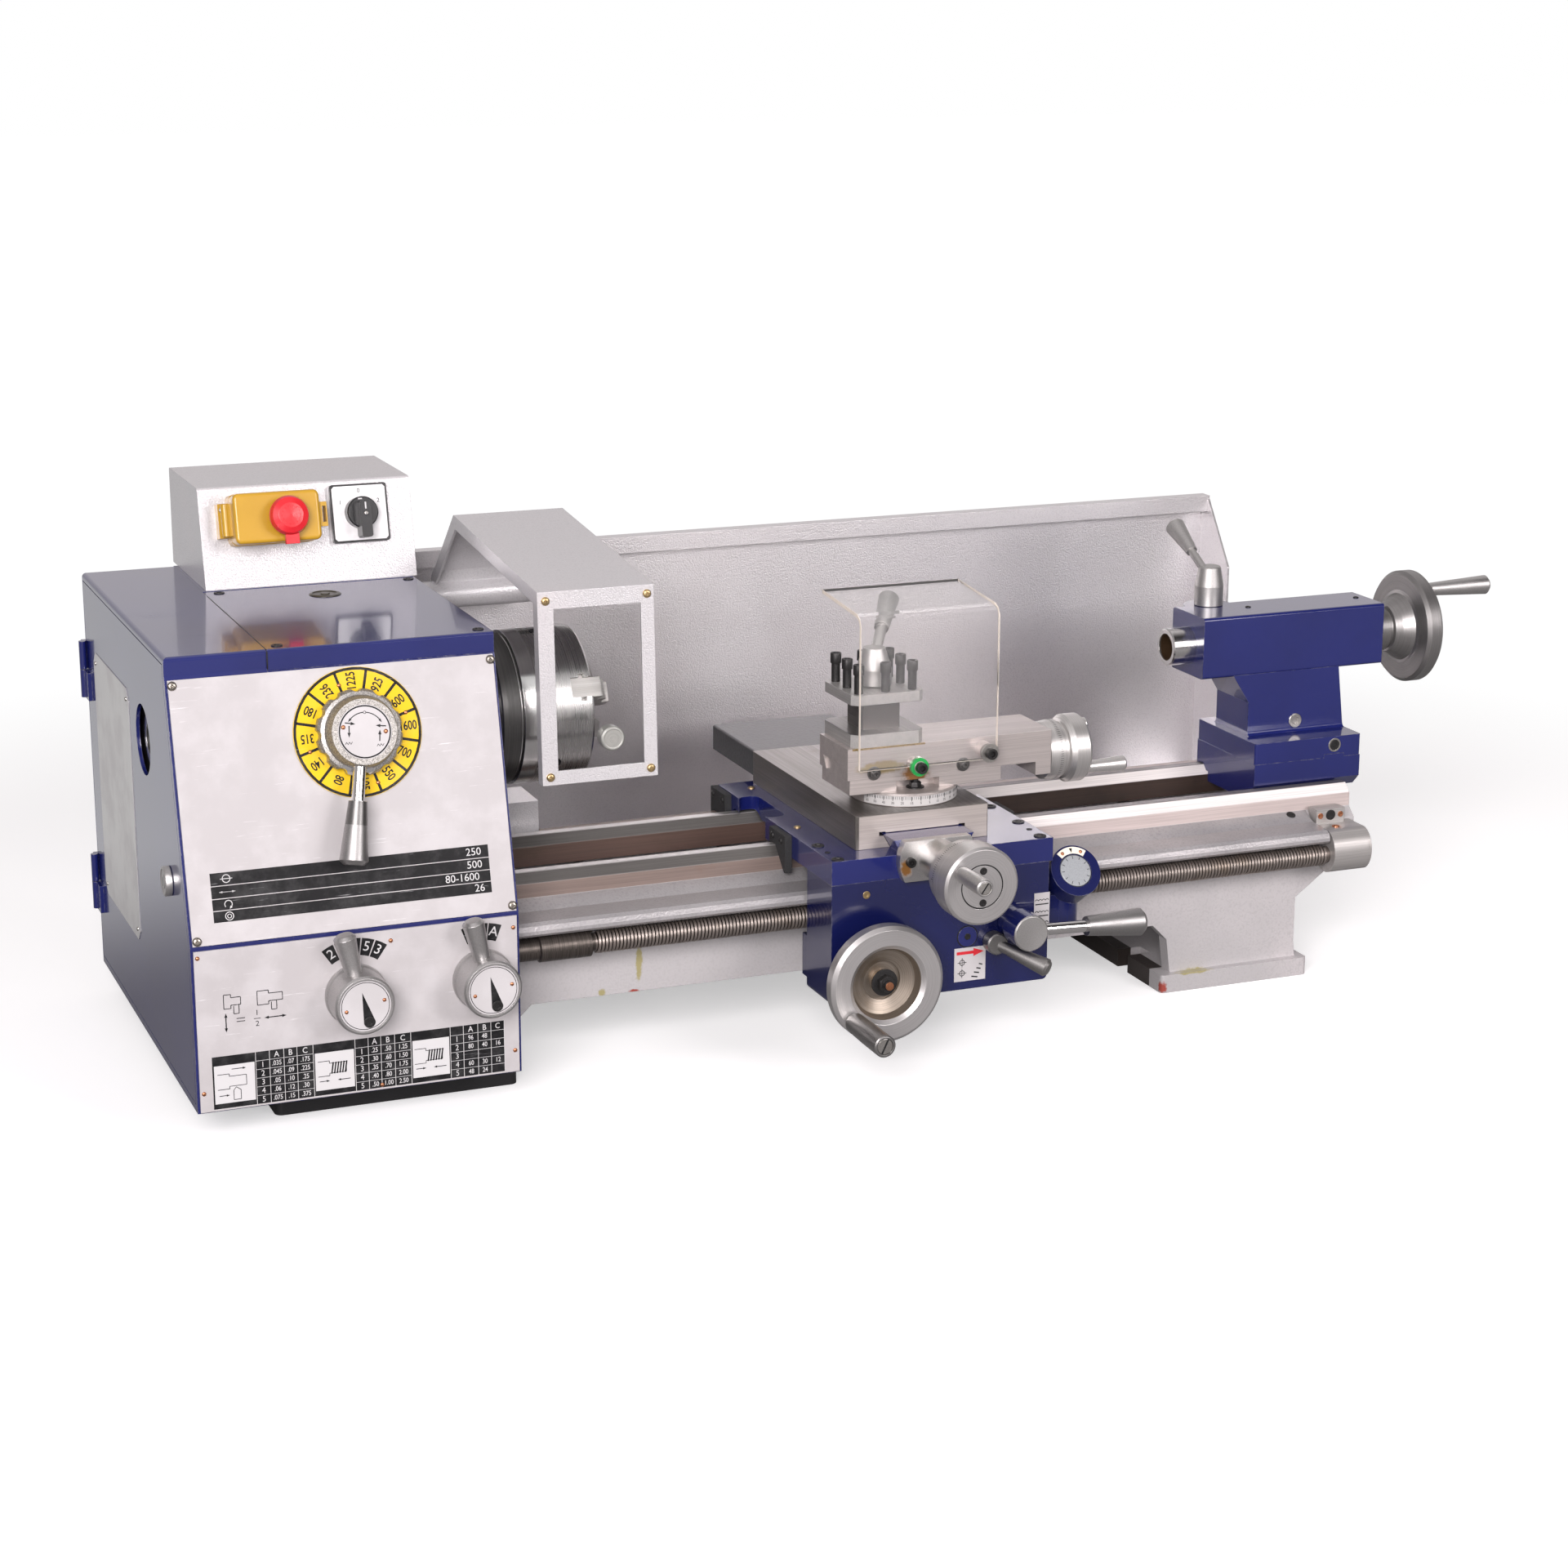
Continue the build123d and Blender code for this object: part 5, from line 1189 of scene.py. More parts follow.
class Pattern:
    """Geometry Nodes trees for what repeats or follows a path."""

    def __init__(self) -> None:
        """Build the four trees once."""
        self.spread = self._spread_tree()
        self.around = self._around_tree()
        self.row = self._row_tree()
        self.helix = self._helix_tree()

    @staticmethod
    def _start(name: str, **kinds: str) -> tuple[Graph, dict[str, Socket]]:
        """Start a tree with named inputs, a material and one mesh output.

        Args:
            name: Name of the tree.
            kinds: Kind of each named input.

        Returns:
            The tree's graph, and the sockets of its inputs by name.
        """
        tree = bpy.data.node_groups.new(name, "GeometryNodeTree")
        kinds = {"Geometry": "Geometry", **kinds, "Material": "Material"}
        for label, kind in kinds.items():
            tree.interface.new_socket(label, in_out="INPUT", socket_type=f"NodeSocket{kind}")
        tree.interface.new_socket("Geometry", in_out="OUTPUT", socket_type="NodeSocketGeometry")
        g = Graph(tree)
        source = g.node("NodeGroupInput")
        return g, {label: source.outputs[label] for label in kinds}

    @staticmethod
    def _end(g: Graph, shape: Socket, material: Socket) -> Tree:
        """Realize what was placed, give it its material and close the tree."""
        dress = {"Geometry": g.wired("GeometryNodeRealizeInstances", {0: shape}), "Material": material}
        return g.close(g.wired("GeometryNodeSetMaterial", dress), "NodeGroupOutput")

    def _copies(self, g: Graph, points: Socket, turn: Socket, inputs: dict[str, Socket]) -> Tree:
        """Close a tree with its template on points, turned as given.

        Args:
            g: The tree's graph.
            points: Where copies stand.
            turn: How they are turned.
            inputs: Sockets of the tree's inputs.

        Returns:
            The tree.
        """
        shape = g.wired("GeometryNodeObjectInfo", {"Object": inputs["Template"]}, "Geometry")
        entries = {"Points": points, "Instance": shape, "Rotation": turn}
        return self._end(g, g.wired("GeometryNodeInstanceOnPoints", entries), inputs["Material"])

    def _spread_tree(self) -> Tree:
        """Copies of a template on given points, each standing along the point's aim.

        Returns:
            The tree.
        """
        g, inputs = self._start("fasteners_on_points", Template="Object")
        aim = g.wired("GeometryNodeInputNamedAttribute", {"Name": "aim"}, data_type="FLOAT_VECTOR")
        turn = g.wired("FunctionNodeAlignRotationToVector", {"Vector": aim}, axis="Z")
        return self._copies(g, inputs["Geometry"], turn, inputs)

    def _around_tree(self) -> Tree:
        """Copies of a template around Z, evenly spaced over a span of angle.

        Returns:
            The tree.
        """
        g, inputs = self._start("marks_around_axis", Template="Object", Count="Int", Radius="Float",
                                Start="Float", Pitch="Float")
        line = g.wired("GeometryNodeMeshLine", {"Count": inputs["Count"], "Offset": ORIGIN})
        index = g.node("GeometryNodeInputIndex").outputs[0]
        angle = g.plus(inputs["Start"], g.times(index, inputs["Pitch"]))
        x, y = (g.times(g.math(side, angle), inputs["Radius"]) for side in ("COSINE", "SINE"))
        points = g.wired("GeometryNodeSetPosition", {"Geometry": line, "Position": g.joined(x, y, 0.0)})
        turn = g.wired("FunctionNodeEulerToRotation", {0: g.joined(0.0, 0.0, angle)})
        return self._copies(g, points, turn, inputs)

    def _row_tree(self) -> Tree:
        """Copies of a template in a straight row along X.

        Returns:
            The tree.
        """
        g, inputs = self._start("teeth_in_row", Template="Object", Count="Int", Pitch="Float")
        step = g.joined(inputs["Pitch"], 0.0, 0.0)
        points = g.wired("GeometryNodeMeshLine", {"Count": inputs["Count"], "Offset": step})
        turn = g.node("FunctionNodeEulerToRotation").outputs[0]
        return self._copies(g, points, turn, inputs)

    def _helix_tree(self) -> Tree:
        """A square thread ridge wound about Z.

        Returns:
            The tree.
        """
        g, inputs = self._start("screw_thread", Turns="Float", Radius="Float", Length="Float",
                                Depth="Float", Land="Float")
        spiral = {"Resolution": THREAD_STEPS, "Rotations": inputs["Turns"], "Start Radius": inputs["Radius"],
                  "End Radius": inputs["Radius"], "Height": inputs["Length"]}
        path = g.wired("GeometryNodeCurveSpiral", spiral)
        path = g.wired("GeometryNodeSetCurveNormal", {"Curve": path}, mode="Z_UP")
        ridge = {"Height": inputs["Depth"], "Bottom Width": g.times(inputs["Land"], THREAD_FOOT),
                 "Top Width": inputs["Land"], "Offset": 0.0}
        crest = g.wired("GeometryNodeCurvePrimitiveQuadrilateral", ridge, mode="TRAPEZOID")
        sweep = {"Curve": path, "Profile Curve": crest, "Fill Caps": True}
        return self._end(g, g.wired("GeometryNodeCurveToMesh", sweep), inputs["Material"])

    @staticmethod
    def run(tree: Tree, base: Mesh, inputs: dict[str, object], name: str) -> Mesh:
        """Run a tree on a base mesh and keep the result as a plain mesh.

        Args:
            tree: Geometry Nodes tree.
            base: Mesh that enters the tree.
            inputs: Values of the tree's named inputs.
            name: Name of the result.

        Returns:
            The plain mesh, with its material.
        """
        holder = added(name, base)
        modifier = holder.modifiers.new("pattern", "NODES")
        modifier.node_group = tree
        sockets = {s.name: s.identifier for s in tree.interface.items_tree if s.in_out == "INPUT"}
        for label, value in inputs.items():
            modifier[sockets[label]] = value
        graph = bpy.context.evaluated_depsgraph_get()
        result = bpy.data.meshes.new_from_object(holder.evaluated_get(graph))
        holder.modifiers.remove(modifier)
        bpy.data.objects.remove(holder)
        result.name = name
        return result

    def repeat(self, name: str, stock: Stock, tree: Tree, finish: NamedFinish, base: Optional[Mesh] = None,
               face: Optional[Face] = None, **inputs: object) -> Mesh:
        """Run a tree with a template that exists only meanwhile.

        Args:
            name: Name of the result.
            stock: Shape of the template, standing on the frame's origin along Z.
            tree: Geometry Nodes tree.
            finish: Name and finish of the material.
            base: Mesh that enters the tree, if it takes one.
            face: Working plane on which the result is put, if it isn't placed already.
            inputs: Values of the tree's other inputs.

        Returns:
            The plain mesh.
        """
        template = added("template", stock.data("template"))
        bpy.context.view_layer.update()
        inputs.update(Template=template, Material=material_of(*finish))
        mesh = self.run(tree, base or bpy.data.meshes.new("base"), inputs, name)
        bpy.data.objects.remove(template)
        if face:
            mesh.transform(face.matrix() @ Matrix.Scale(1 / MM, 4))
        return mesh

    def around_axis(self, name: str, stock: Stock, face: Face, ring: Ring, finish: NamedFinish) -> Mesh:
        """Put marks around a plane's normal.

        Args:
            name: Name of the mesh.
            stock: One mark, with its outside along X.
            face: Working plane whose normal is the axis.
            ring: Count, radius in millimetres, first angle and pitch in degrees.
            finish: Name and finish of the material.

        Returns:
            The marks.
        """
        count, radius, start, pitch = ring
        return self.repeat(name, stock, self.around, finish, face=face, Count=count, Radius=radius * MM,
                           Start=math.radians(start), Pitch=math.radians(pitch))


BENCH = Face.flat(-HEAD_FACE_X / MM, 0, 0)
SILL = (0.0, 0.06)
LAYER = (0.06, 0.1)
OVER = (0.1, 0.14)


class Fastener(Enum):
    """Small hardware, drawn for a head radius of one."""

    SOCKET_CAP = ((1.0, 0.0), (1.0, 1.02), (0.93, 1.1), (0.6, 1.1, Section.HEX), (0.56, 0.4, Section.HEX),
                  (0.0, 0.36))
    FLUSH_CAP = ((1.0, 0.0), (1.0, 0.12), (0.94, 0.17), (0.55, 0.17, Section.HEX), (0.5, 0.02, Section.HEX),
                 (0.0, 0.02))
    PAN_CROSS = ((1.0, 0.0), (1.0, 0.22), (0.86, 0.48), (0.62, 0.6), (0.5, 0.62, Section.CROSS),
                 (0.4, 0.24, Section.CROSS), (0.0, 0.2))
    RIVET = ((1.0, 0.0), (0.95, 0.26), (0.72, 0.52), (0.36, 0.66), (0.0, 0.7))
    HEX_NUT = ((1.5, 0.0), (1.5, 0.16), (1.0, 0.18, Section.HEX), (1.0, 0.86, Section.HEX), (0.86, 0.95),
               (0.52, 0.95), (0.52, 1.36), (0.44, 1.44), (0.0, 1.44))
    LOCK_NUT = ((1.25, 0.0), (1.25, 0.14), (1.0, 0.16, Section.HEX), (1.0, 0.62, Section.HEX), (0.88, 0.72),
                (0.6, 0.72), (0.6, 1.0), (0.54, 1.06), (0.34, 1.06, Section.HEX), (0.32, 0.6, Section.HEX),
                (0.0, 0.58))
    OILER = ((1.0, 0.0), (1.0, 0.2), (0.9, 0.3), (0.62, 0.3), (0.56, 0.12), (0.5, 0.34), (0.3, 0.46),
             (0.0, 0.5))
    POST_SCREW = ((0.8, 0.0), (0.8, 3.4), (0.97, 3.45), (1.0, 3.52), (1.0, 5.2), (0.93, 5.3),
                  (0.6, 5.3, Section.HEX), (0.57, 4.5, Section.HEX), (0.0, 4.4))

    def stock(self, radius: float) -> Stock:
        """The fastener for a head radius in millimetres, standing on the frame's origin along Z."""
        rows = [(r * radius, h * radius, *rest) for r, h, *rest in self.value]
        return Stock().turned(BENCH, rows, 24)


BLUE = Enamel((0.0080, 0.0128, 0.112), rough=0.22, coat=0.8, peel=0.015)
SILVER = Hammer()
BED_GREY = Hammer(color=(0.475, 0.46, 0.465), vein=(0.43, 0.415, 0.42), scale=620.0, depth=0.09, rough=0.42,
                  metal=0.2, coat=0.08)
LEDGE_GREY = Hammer(color=(0.33, 0.32, 0.326), vein=(0.27, 0.262, 0.267), scale=620.0, depth=0.09, rough=0.36,
                    metal=0.3, coat=0.1)
SPLASH_SILVER = ("splash_silver", Hammer(color=(0.80, 0.78, 0.79), vein=(0.68, 0.66, 0.67), scale=1000.0,
                                         rough=0.38, depth=0.09, metal=0.92, coat=0.1))
# Darker copy of the blue enamel for the apron: painted shade, as the apron stands in shade.
APRON_PAINTED_SHADE = ("apron_painted_shade", Enamel((0.0048, 0.0077, 0.066), rough=0.22, coat=0.7, peel=0.015))
BLACK_PAINT = Enamel((0.014, 0.014, 0.015), rough=0.42, coat=0.1, peel=0.08, wear=0.3)
COVER_BLACK = ("cover_black", Hammer(color=(0.05, 0.052, 0.056), vein=(0.035, 0.036, 0.04),
                                     warm=(0.06, 0.055, 0.055), scale=420.0, rough=0.46, metal=0.2,
                                     coat=0.12))
YELLOW = ("yellow_plastic", Moulded((0.47, 0.265, 0.016), rough=0.3))
RED = ("red_plastic", Moulded((0.62, 0.014, 0.022), rough=0.36, grain=0.06))
GREEN = ("green_plastic", Moulded((0.012, 0.30, 0.06)))
BLACK = Moulded((0.012, 0.012, 0.013), rough=0.28)
CREAM = ("cream_plate", Moulded((0.74, 0.70, 0.58), rough=0.4))
SATIN = Satin()
SATIN_GRIP = Satin((0.36, 0.352, 0.348), rough=0.36)
SATIN_DARK = Satin((0.50, 0.49, 0.485), rough=0.38)
CAST_HUB = Satin((0.52, 0.50, 0.47), rough=0.45, grain=0.16, speckle=0.55)
CHROME = Satin((0.74, 0.73, 0.72), rough=0.12, grain=0.0, speckle=0.06)
BLACK_SCREW = ("black_oxide", Satin((0.035, 0.034, 0.034), rough=0.4, metal=0.6, speckle=0.3))
COPPER_PIN = ("copper", Satin((0.55, 0.24, 0.13), rough=0.3, speckle=0.2))
BRASS_SCREW = ("brass", Satin((0.58, 0.43, 0.22), rough=0.3, speckle=0.2))
ZINC_SCREW = ("zinc", Satin((0.55, 0.53, 0.50), rough=0.3, speckle=0.2))
STEEL = Ground((0.56, 0.55, 0.53), stain=0.3)
BRACKET_STEEL = ("bracket_steel", Ground((0.52, 0.50, 0.485), (0.34, 0.26, 0.16), stain=0.34, rough=0.34,
                                         metal=0.6))
IRON = Ground((0.40, 0.385, 0.37), stain=0.34, rough=0.32)
INK = ("black_ink", Ink((0.008, 0.008, 0.009)))
PALE = ("white_ink", Ink((0.56, 0.555, 0.56), scuff=0.0))
RED_INK = ("red_ink", Ink((0.55, 0.02, 0.03), scuff=0.1))
WHITE_PLATE = ("white_plate", Plate((0.47, 0.455, 0.46), scuff=0.15, metal=0.0))
PANEL = ("panel_plate", Plate())
LEVER_SATIN = ("lever_satin", Satin((0.50, 0.49, 0.48), rough=0.46))
DARK_GRIP = Satin((0.21, 0.205, 0.20), rough=0.3)
MID_GRIP = ("mid_grip", Satin((0.34, 0.332, 0.325), rough=0.36))
DRIED_OIL = Enamel((0.35, 0.31, 0.15), rough=0.35, coat=0.4, wear=0.0)
PRIMER = Enamel((0.30, 0.05, 0.035), rough=0.5, coat=0.0, wear=0.0)
# Near-black brown for the right foot's left side and rear plate: old oil, with painted shade where the foot is in
# shadow.
OIL_AND_PAINTED_SHADE = Enamel((0.035, 0.028, 0.025), rough=0.32, coat=0.3, wear=0.0)
OLD_OIL = Enamel((0.19, 0.085, 0.02), rough=0.35, coat=0.4, wear=0.0)
DARK_NUT = ("dark_grip", DARK_GRIP)
PANEL_SCREW = ("nickel", Satin((0.34, 0.31, 0.27), rough=0.26, speckle=0.3))
CHIPS = Satin((0.50, 0.36, 0.16), rough=0.3, speckle=0.6)


@cache
def material_of(name: str, finish: Finish) -> Material:
    """The material of a finish, made at its first use and kept by name."""
    return finish.material(name)


PATTERN = Pattern()


def hardware(name: str, kind: Fastener, radius: float, spots: Sequence[Spot], finish: NamedFinish, body: str) -> Piece:
    """Put fasteners of one kind on a body.

    Args:
        name: Name of the piece.
        kind: Kind of fastener.
        radius: Head radius in millimetres.
        spots: Working planes with the place of each fastener on them.
        finish: Name and finish of the material.
        body: Body that carries them.

    Returns:
        The piece.
    """
    base = bpy.data.meshes.new("spots")
    base.from_pydata([face.at(u, v) for face, u, v in spots], [], [])
    aim = base.attributes.new("aim", "FLOAT_VECTOR", "POINT")
    for entry, (face, _, _) in zip(aim.data, spots):
        entry.vector = face.axes()[2]
    mesh = PATTERN.repeat(name, kind.stock(radius), PATTERN.spread, finish, base)
    return settle(mesh, name, body)


def ticks(name: str, face: Face, size: Triple, ring: Ring, body: str, lift: float = 0.0) -> Piece:
    """Print graduation marks around an axis.

    Args:
        name: Name of the piece.
        face: Plane whose normal is the axis.
        size: Radial, tangential and axial size of a mark in millimetres.
        ring: Count, radius, first angle and pitch.
        body: Body that carries them.
        lift: Shift along the axis.

    Returns:
        The piece.
    """
    radial, wide, tall = size
    mark = Stock().block(BENCH, -radial / 2, radial / 2, -wide / 2, wide / 2, lift, lift + tall)
    return settle(PATTERN.around_axis(name, mark, face, ring, INK), name, body)


def slotted(name: str, face: Face, radius: float, turn: float, body: str) -> None:
    """Put one flat screw with a slot across it on a plane.

    Args:
        name: Name of the screw.
        face: Plane it stands on.
        radius: Radius of its head in millimetres.
        turn: Angle of the slot in degrees.
        body: Body that carries it.
    """
    rows = [(0, 0), (radius, 0), (radius, 1.2), (radius - 0.35, 1.5), (0, 1.5)]
    Stock().turned(face, rows).piece(name, ZINC_SCREW, body, "steel")
    # The slot is a black ink bar across the head: painted shade for the cut slot.
    end = spin(turn, 0.95 * radius)
    slot = Stock().line(face.moved(0, 0, 1.5), (-end[0], -end[1]), end, 0.24 * radius, *SILL)
    slot.piece(f"{name}_slot", INK, body, "steel")


@dataclass
class PrintedFront:
    """The two printed plates of the headstock with the speed dial and the feed knobs' labels."""

    upper: Face = Face((0.0, -147.7, 159.5), (1, 0, 0), (0, 49.3, 194.5))
    lower: Face = Face.front(0.0, -149.3, 0.0)
    panel: float = 1.6
    dial: Point = (-113.0, 149.07)
    dial_top: float = 2.8
    hub_top: float = 25.0
    label: float = 0.25
    knobs: Point = (-130.5, -30.5)
    knob_z: float = 109.8
    knob_face: float = 29.4
    speeds: tuple[str, ...] = ("1225", "925", "600", "1600", "700", "550", "105", "80", "140", "315", "180",
                               "236")

    def build(self) -> None:
        """Make every print, label, screw and rivet of the front."""
        self.bars()
        self.dial_ring()
        self.hub_label()
        self.feed_table()
        self.feed_symbols()
        for x, body, marks, span in ((self.knobs[0], "left_feed_knob", "24153", (125.0, 54.0)),
                                     (self.knobs[1], "right_feed_knob", "CBA", (112.0, 68.0))):
            self.knob_label(x, body)
            self.knob_scale(x, body, marks, span)
        self.fixings()

    def bars(self) -> None:
        """Four black bars with plain numbers at their right end and simple symbols at the left."""
        face = self.upper.moved(0, 0, self.panel)
        left, right = -234.6, -20.0
        rows = ((54.5, 45.0, "250"), (44.4, 35.4, "500"), (34.8, 26.5, "80-1600"), (25.9, 17.6, "26"))
        black = Stock()
        white = Stock()
        for high, low, number in rows:
            black.block(face, left, right, low, high, *SILL)
            middle = (high + low) / 2
            white.words(face.moved(right - 4 - 2.6 * len(number), middle), number, 8.2, *LAYER)
        y = [(a + b) / 2 for a, b, _ in rows]
        x = left + 12
        white.ring(face.moved(x, y[0]), 2.6, 3.2, *LAYER)
        white.line(face, (x - 4.6, y[0]), (x + 4.6, y[0]), 0.5, *LAYER)
        self.arrow(white, face, (x - 6, y[1]), (x + 6, y[1]), LAYER)
        self.arrow(white, face, (x + 6, y[1]), (x - 6, y[1]), LAYER)
        white.sector(face.moved(x, y[2]), 2.5, 3.1, -40, 220, *LAYER)
        white.prism(face.moved(x, y[2], 0, -40), [(1.8, 0), (3.8, 0), (2.8, -2.2)], *LAYER)
        white.ring(face.moved(x, y[3]), 2.7, 3.3, *LAYER).ring(face.moved(x, y[3]), 1.2, 1.7, *LAYER)
        black.piece("upper_panel_bars", INK, "frame", "panel")
        white.piece("upper_panel_numbers", PALE, "frame", "panel")

    @staticmethod
    def arrow(stock: Stock, face: Face, tail: Point, tip: Point, layer: Point, width: float = 0.55) -> None:
        """Print a thin arrow.

        Args:
            stock: Stock that takes the print.
            face: Plane of the print.
            tail: Where the arrow starts.
            tip: Where it points.
            layer: Lower and upper height of the ink.
            width: Width of the line.
        """
        way = (Vector(tip) - Vector(tail)).normalized()
        side = Vector((-way.y, way.x))
        neck = Vector(tip) - way * 4.2 * width
        stock.line(face, tail, tuple(neck), width, *layer)
        stock.prism(face, [tip, tuple(neck + side * 1.5 * width), tuple(neck - side * 1.5 * width)], *layer)

    def dial_ring(self) -> None:
        """Black rims, sector lines and speeds on the yellow ring."""
        face = self.upper.moved(*self.dial, self.dial_top)
        ink = Stock().ring(face, 47.2, 49.3, *SILL).ring(face, 26.3, 28.4, *SILL)
        pitch = 360.0 / len(self.speeds)
        for index, speed in enumerate(self.speeds):
            angle = 92.0 - pitch * index
            ink.line(face, spin(angle + pitch / 2, 27.6), spin(angle + pitch / 2, 48.0), 2.1, *SILL)
            ink.words(face.moved(*spin(angle, 39.0), 0, angle), speed, 9.8, *SILL, 0.72, 0.02)
        ink.piece("speed_dial_print", INK, "frame", "dial")

    def hub_label(self) -> None:
        """White label on the speed lever's hub with two arrows."""
        face = self.upper.moved(*self.dial, self.hub_top)
        disc = Stock().disc(face, 20.6, 0.0, self.label)
        disc.piece("speed_lever_label", WHITE_PLATE, "speed_handle", "panel")
        top = face.moved(0, 0, self.label)
        ink = Stock().ring(top, 18.9, 20.0, *SILL).ring(top.moved(*spin(86.0, 14.5)), 0.8, 1.2, *SILL)
        for start, end in ((91.0, 134.0), (81.0, 35.0)):
            ink.sector(top, 14.2, 14.9, start, end, *SILL)
            tip = top.moved(*spin(end, 14.5), 0, end + (90 if end > start else -90))
            ink.prism(tip, [(0, 1.0), (0, -1.0), (3.0, 0)], *SILL)
        for tail, head in (((-14.7, 7.9), (-6.8, 6.3)), ((16.4, 2.9), (8.6, 4.0)),
                           ((-11.7, 5.4), (-12.4, -3.3)), ((10.6, -7.9), (11.5, 0.6))):
            self.arrow(ink, top, tail, head, SILL, 0.85)
        for u, v in ((-15.8, -7.6), (8.2, -10.8)):
            ink.path(top, [(u + 1.1 * k, v + (0.9 if k % 2 else -0.9)) for k in range(6)], 0.4, *SILL)
        ink.piece("speed_lever_print", INK, "speed_handle", "panel")
        rivets = top.spots((-16.2, 4.7), (15.9, -1.0))
        hardware("speed_lever_rivets", Fastener.RIVET, 1.7, rivets, COPPER_PIN, "speed_handle")

    def feed_table(self) -> None:
        """Black feed table with white numbers and three white picture boxes."""
        face = self.lower
        left, right, low, high = -242.0, -14.0, 32.0, 73.6
        pictures = ((-242.0, -209.0), (-164.9, -132.4), (-88.6, -57.3))
        columns = ((-209.0, -198.4, -187.4, -177.3, -164.9), (-132.4, -122.1, -112.2, -101.3, -88.6),
                   (-57.3, -46.8, -35.2, -24.7, -14.0))
        values = ((".035 .07 .175", ".045 .09 .225", ".05 .10 .25", ".06 .12 .30", ".075 .15 .375"),
                  (".25 .50 1.25", ".30 .60 1.50", ".35 .70 1.75", ".40 .80 2.00", ".50 1.00 2.50"),
                  ("96 48", "80 40 16", "", "60 30 12", "48 24"))
        first, step, head = 63.0, 6.93, 69.9
        black = Stock().block(face, left, right, low, high, *SILL)
        white = Stock()
        for edges, block in zip(columns, values):
            middles = [(a + b) / 2 for a, b in zip(edges, edges[1:])]
            for x in edges:
                white.block(face, x - 0.2, x + 0.2, low, high, *LAYER)
            for row in range(len(block)):
                z = (head + first) / 2 - step * row
                white.block(face, edges[0], edges[-1], z - 0.15, z + 0.15, *LAYER)
            for letter, x in zip("ABC", middles[1:]):
                white.words(face.moved(x, head), letter, 6.4, *LAYER, 0.9, 0.01)
            for row, numbers in enumerate(block):
                z = first - step * row
                white.words(face.moved(middles[0], z), str(row + 1), 6.4, *LAYER, 0.9)
                for x, number in zip(middles[1:], numbers.split()):
                    white.words(face.moved(x, z), number, 5.4, *LAYER, 0.8, 0.008)
        drawing = Stock()
        for index, (x0, x1) in enumerate(pictures):
            white.block(face, x0 + 1.2, x1 - 1.0, low + 4.0, first + 3.2, *LAYER)
            self.picture(drawing, face.moved((x0 + x1) / 2, (low + first) / 2 + 3.6), bool(index))
        black.piece("feed_table", INK, "frame", "panel")
        white.piece("feed_table_numbers", PALE, "frame", "panel")
        drawing.piece("feed_table_pictures", INK, "frame", "panel")

    def picture(self, ink: Stock, face: Face, threaded: bool) -> None:
        """Draw a shaft with a tool and an arrow; a threaded shaft shows its thread.

        Args:
            ink: Stock that takes the print.
            face: Plane centred on the picture.
            threaded: Whether the shaft carries a thread.
        """
        path = [(-13, 8), (-4, 8), (-4, 6), (9, 6), (9, -2), (-4, -2), (-4, -4), (-13, -4)]
        ink.path(face, path, 0.5, *OVER)
        if threaded:
            for k in range(6):
                ink.line(face, (-2.4 + 2.1 * k, -2.6), (-1.0 + 2.1 * k, 6.6), 1.1, *OVER)
            arrows = (((12, -8), (2, -8)), ((-12, -8), (-4, -8)))
        else:
            ink.path(face, [(1, -3), (4.5, -5.5), (4.5, -13), (-1, -13), (-1, -5.5), (1, -3)], 0.5, *OVER)
            arrows = (((-2, 11.5), (9, 11.5)), ((-12, -9), (-4, -9)))
        for tail, tip in arrows:
            self.arrow(ink, face, tail, tip, OVER, 0.6)

    def feed_symbols(self) -> None:
        """The ratio symbol at the left of the feed knobs."""
        face = self.lower
        ink = Stock()
        for x, wide in ((-224.8, 6.4), (-196.2, 9.6)):
            corners = [(x - wide, 121.5), (x - 1, 121.5), (x - 1, 119), (x + wide, 119), (x + wide, 113),
                       (x - 1, 113), (x - 1, 110.5), (x - wide, 110.5), (x - wide, 121.5)]
            ink.path(face, corners, 0.6, *SILL)
            ink.path(face, [(x + 1, 112), (x + 1, 106), (x + 5, 106), (x + 5, 113)], 0.6, *SILL)
        for tail, tip in (((-230, 99), (-230, 107)), ((-230, 100), (-230, 92)),
                          ((-193, 100), (-184, 100)), ((-192, 100), (-201, 100))):
            self.arrow(ink, face, tail, tip, SILL, 0.8)
        for z in (99.6, 102.0):
            ink.line(face, (-222, z), (-215.6, z), 0.6, *SILL)
        for z, number in ((104.6, "1"), (96.0, "2")):
            ink.words(face.moved(-206.4, z), number, 6.0, *SILL)
        ink.line(face, (-209, 100.2), (-203.8, 100.2), 0.5, *SILL)
        ink.piece("feed_ratio_symbol", INK, "frame", "panel")

    def knob_label(self, x: float, body: str) -> None:
        """White face of a feed knob with its pointer, rivets and set screw.

        Args:
            x: Place of the knob.
            body: Body of the knob.
        """
        face = self.lower.moved(x, self.knob_z, self.knob_face)
        name = "left" if x < self.knobs[1] else "right"
        Stock().disc(face, 19.9, 0.0, self.label).piece(f"{name}_knob_label", WHITE_PLATE, body, "panel")
        top = face.moved(0, 0, self.label, 12.0)
        ink = Stock().ring(top, 18.2, 18.7, *SILL)
        ink.prism(top, [(-4.4, -13.0), (4.4, -13.0), (0.0, 11.0)], *SILL)
        ink.piece(f"{name}_knob_pointer", INK, body, "panel")
        hardware(f"{name}_knob_rivets", Fastener.RIVET, 1.5, top.spots((-15, 0), (15, 0)), COPPER_PIN, body)
        hardware(f"{name}_knob_screw", Fastener.FLUSH_CAP, 4.4, top.spots((0, -13.4)), BLACK_SCREW, body)

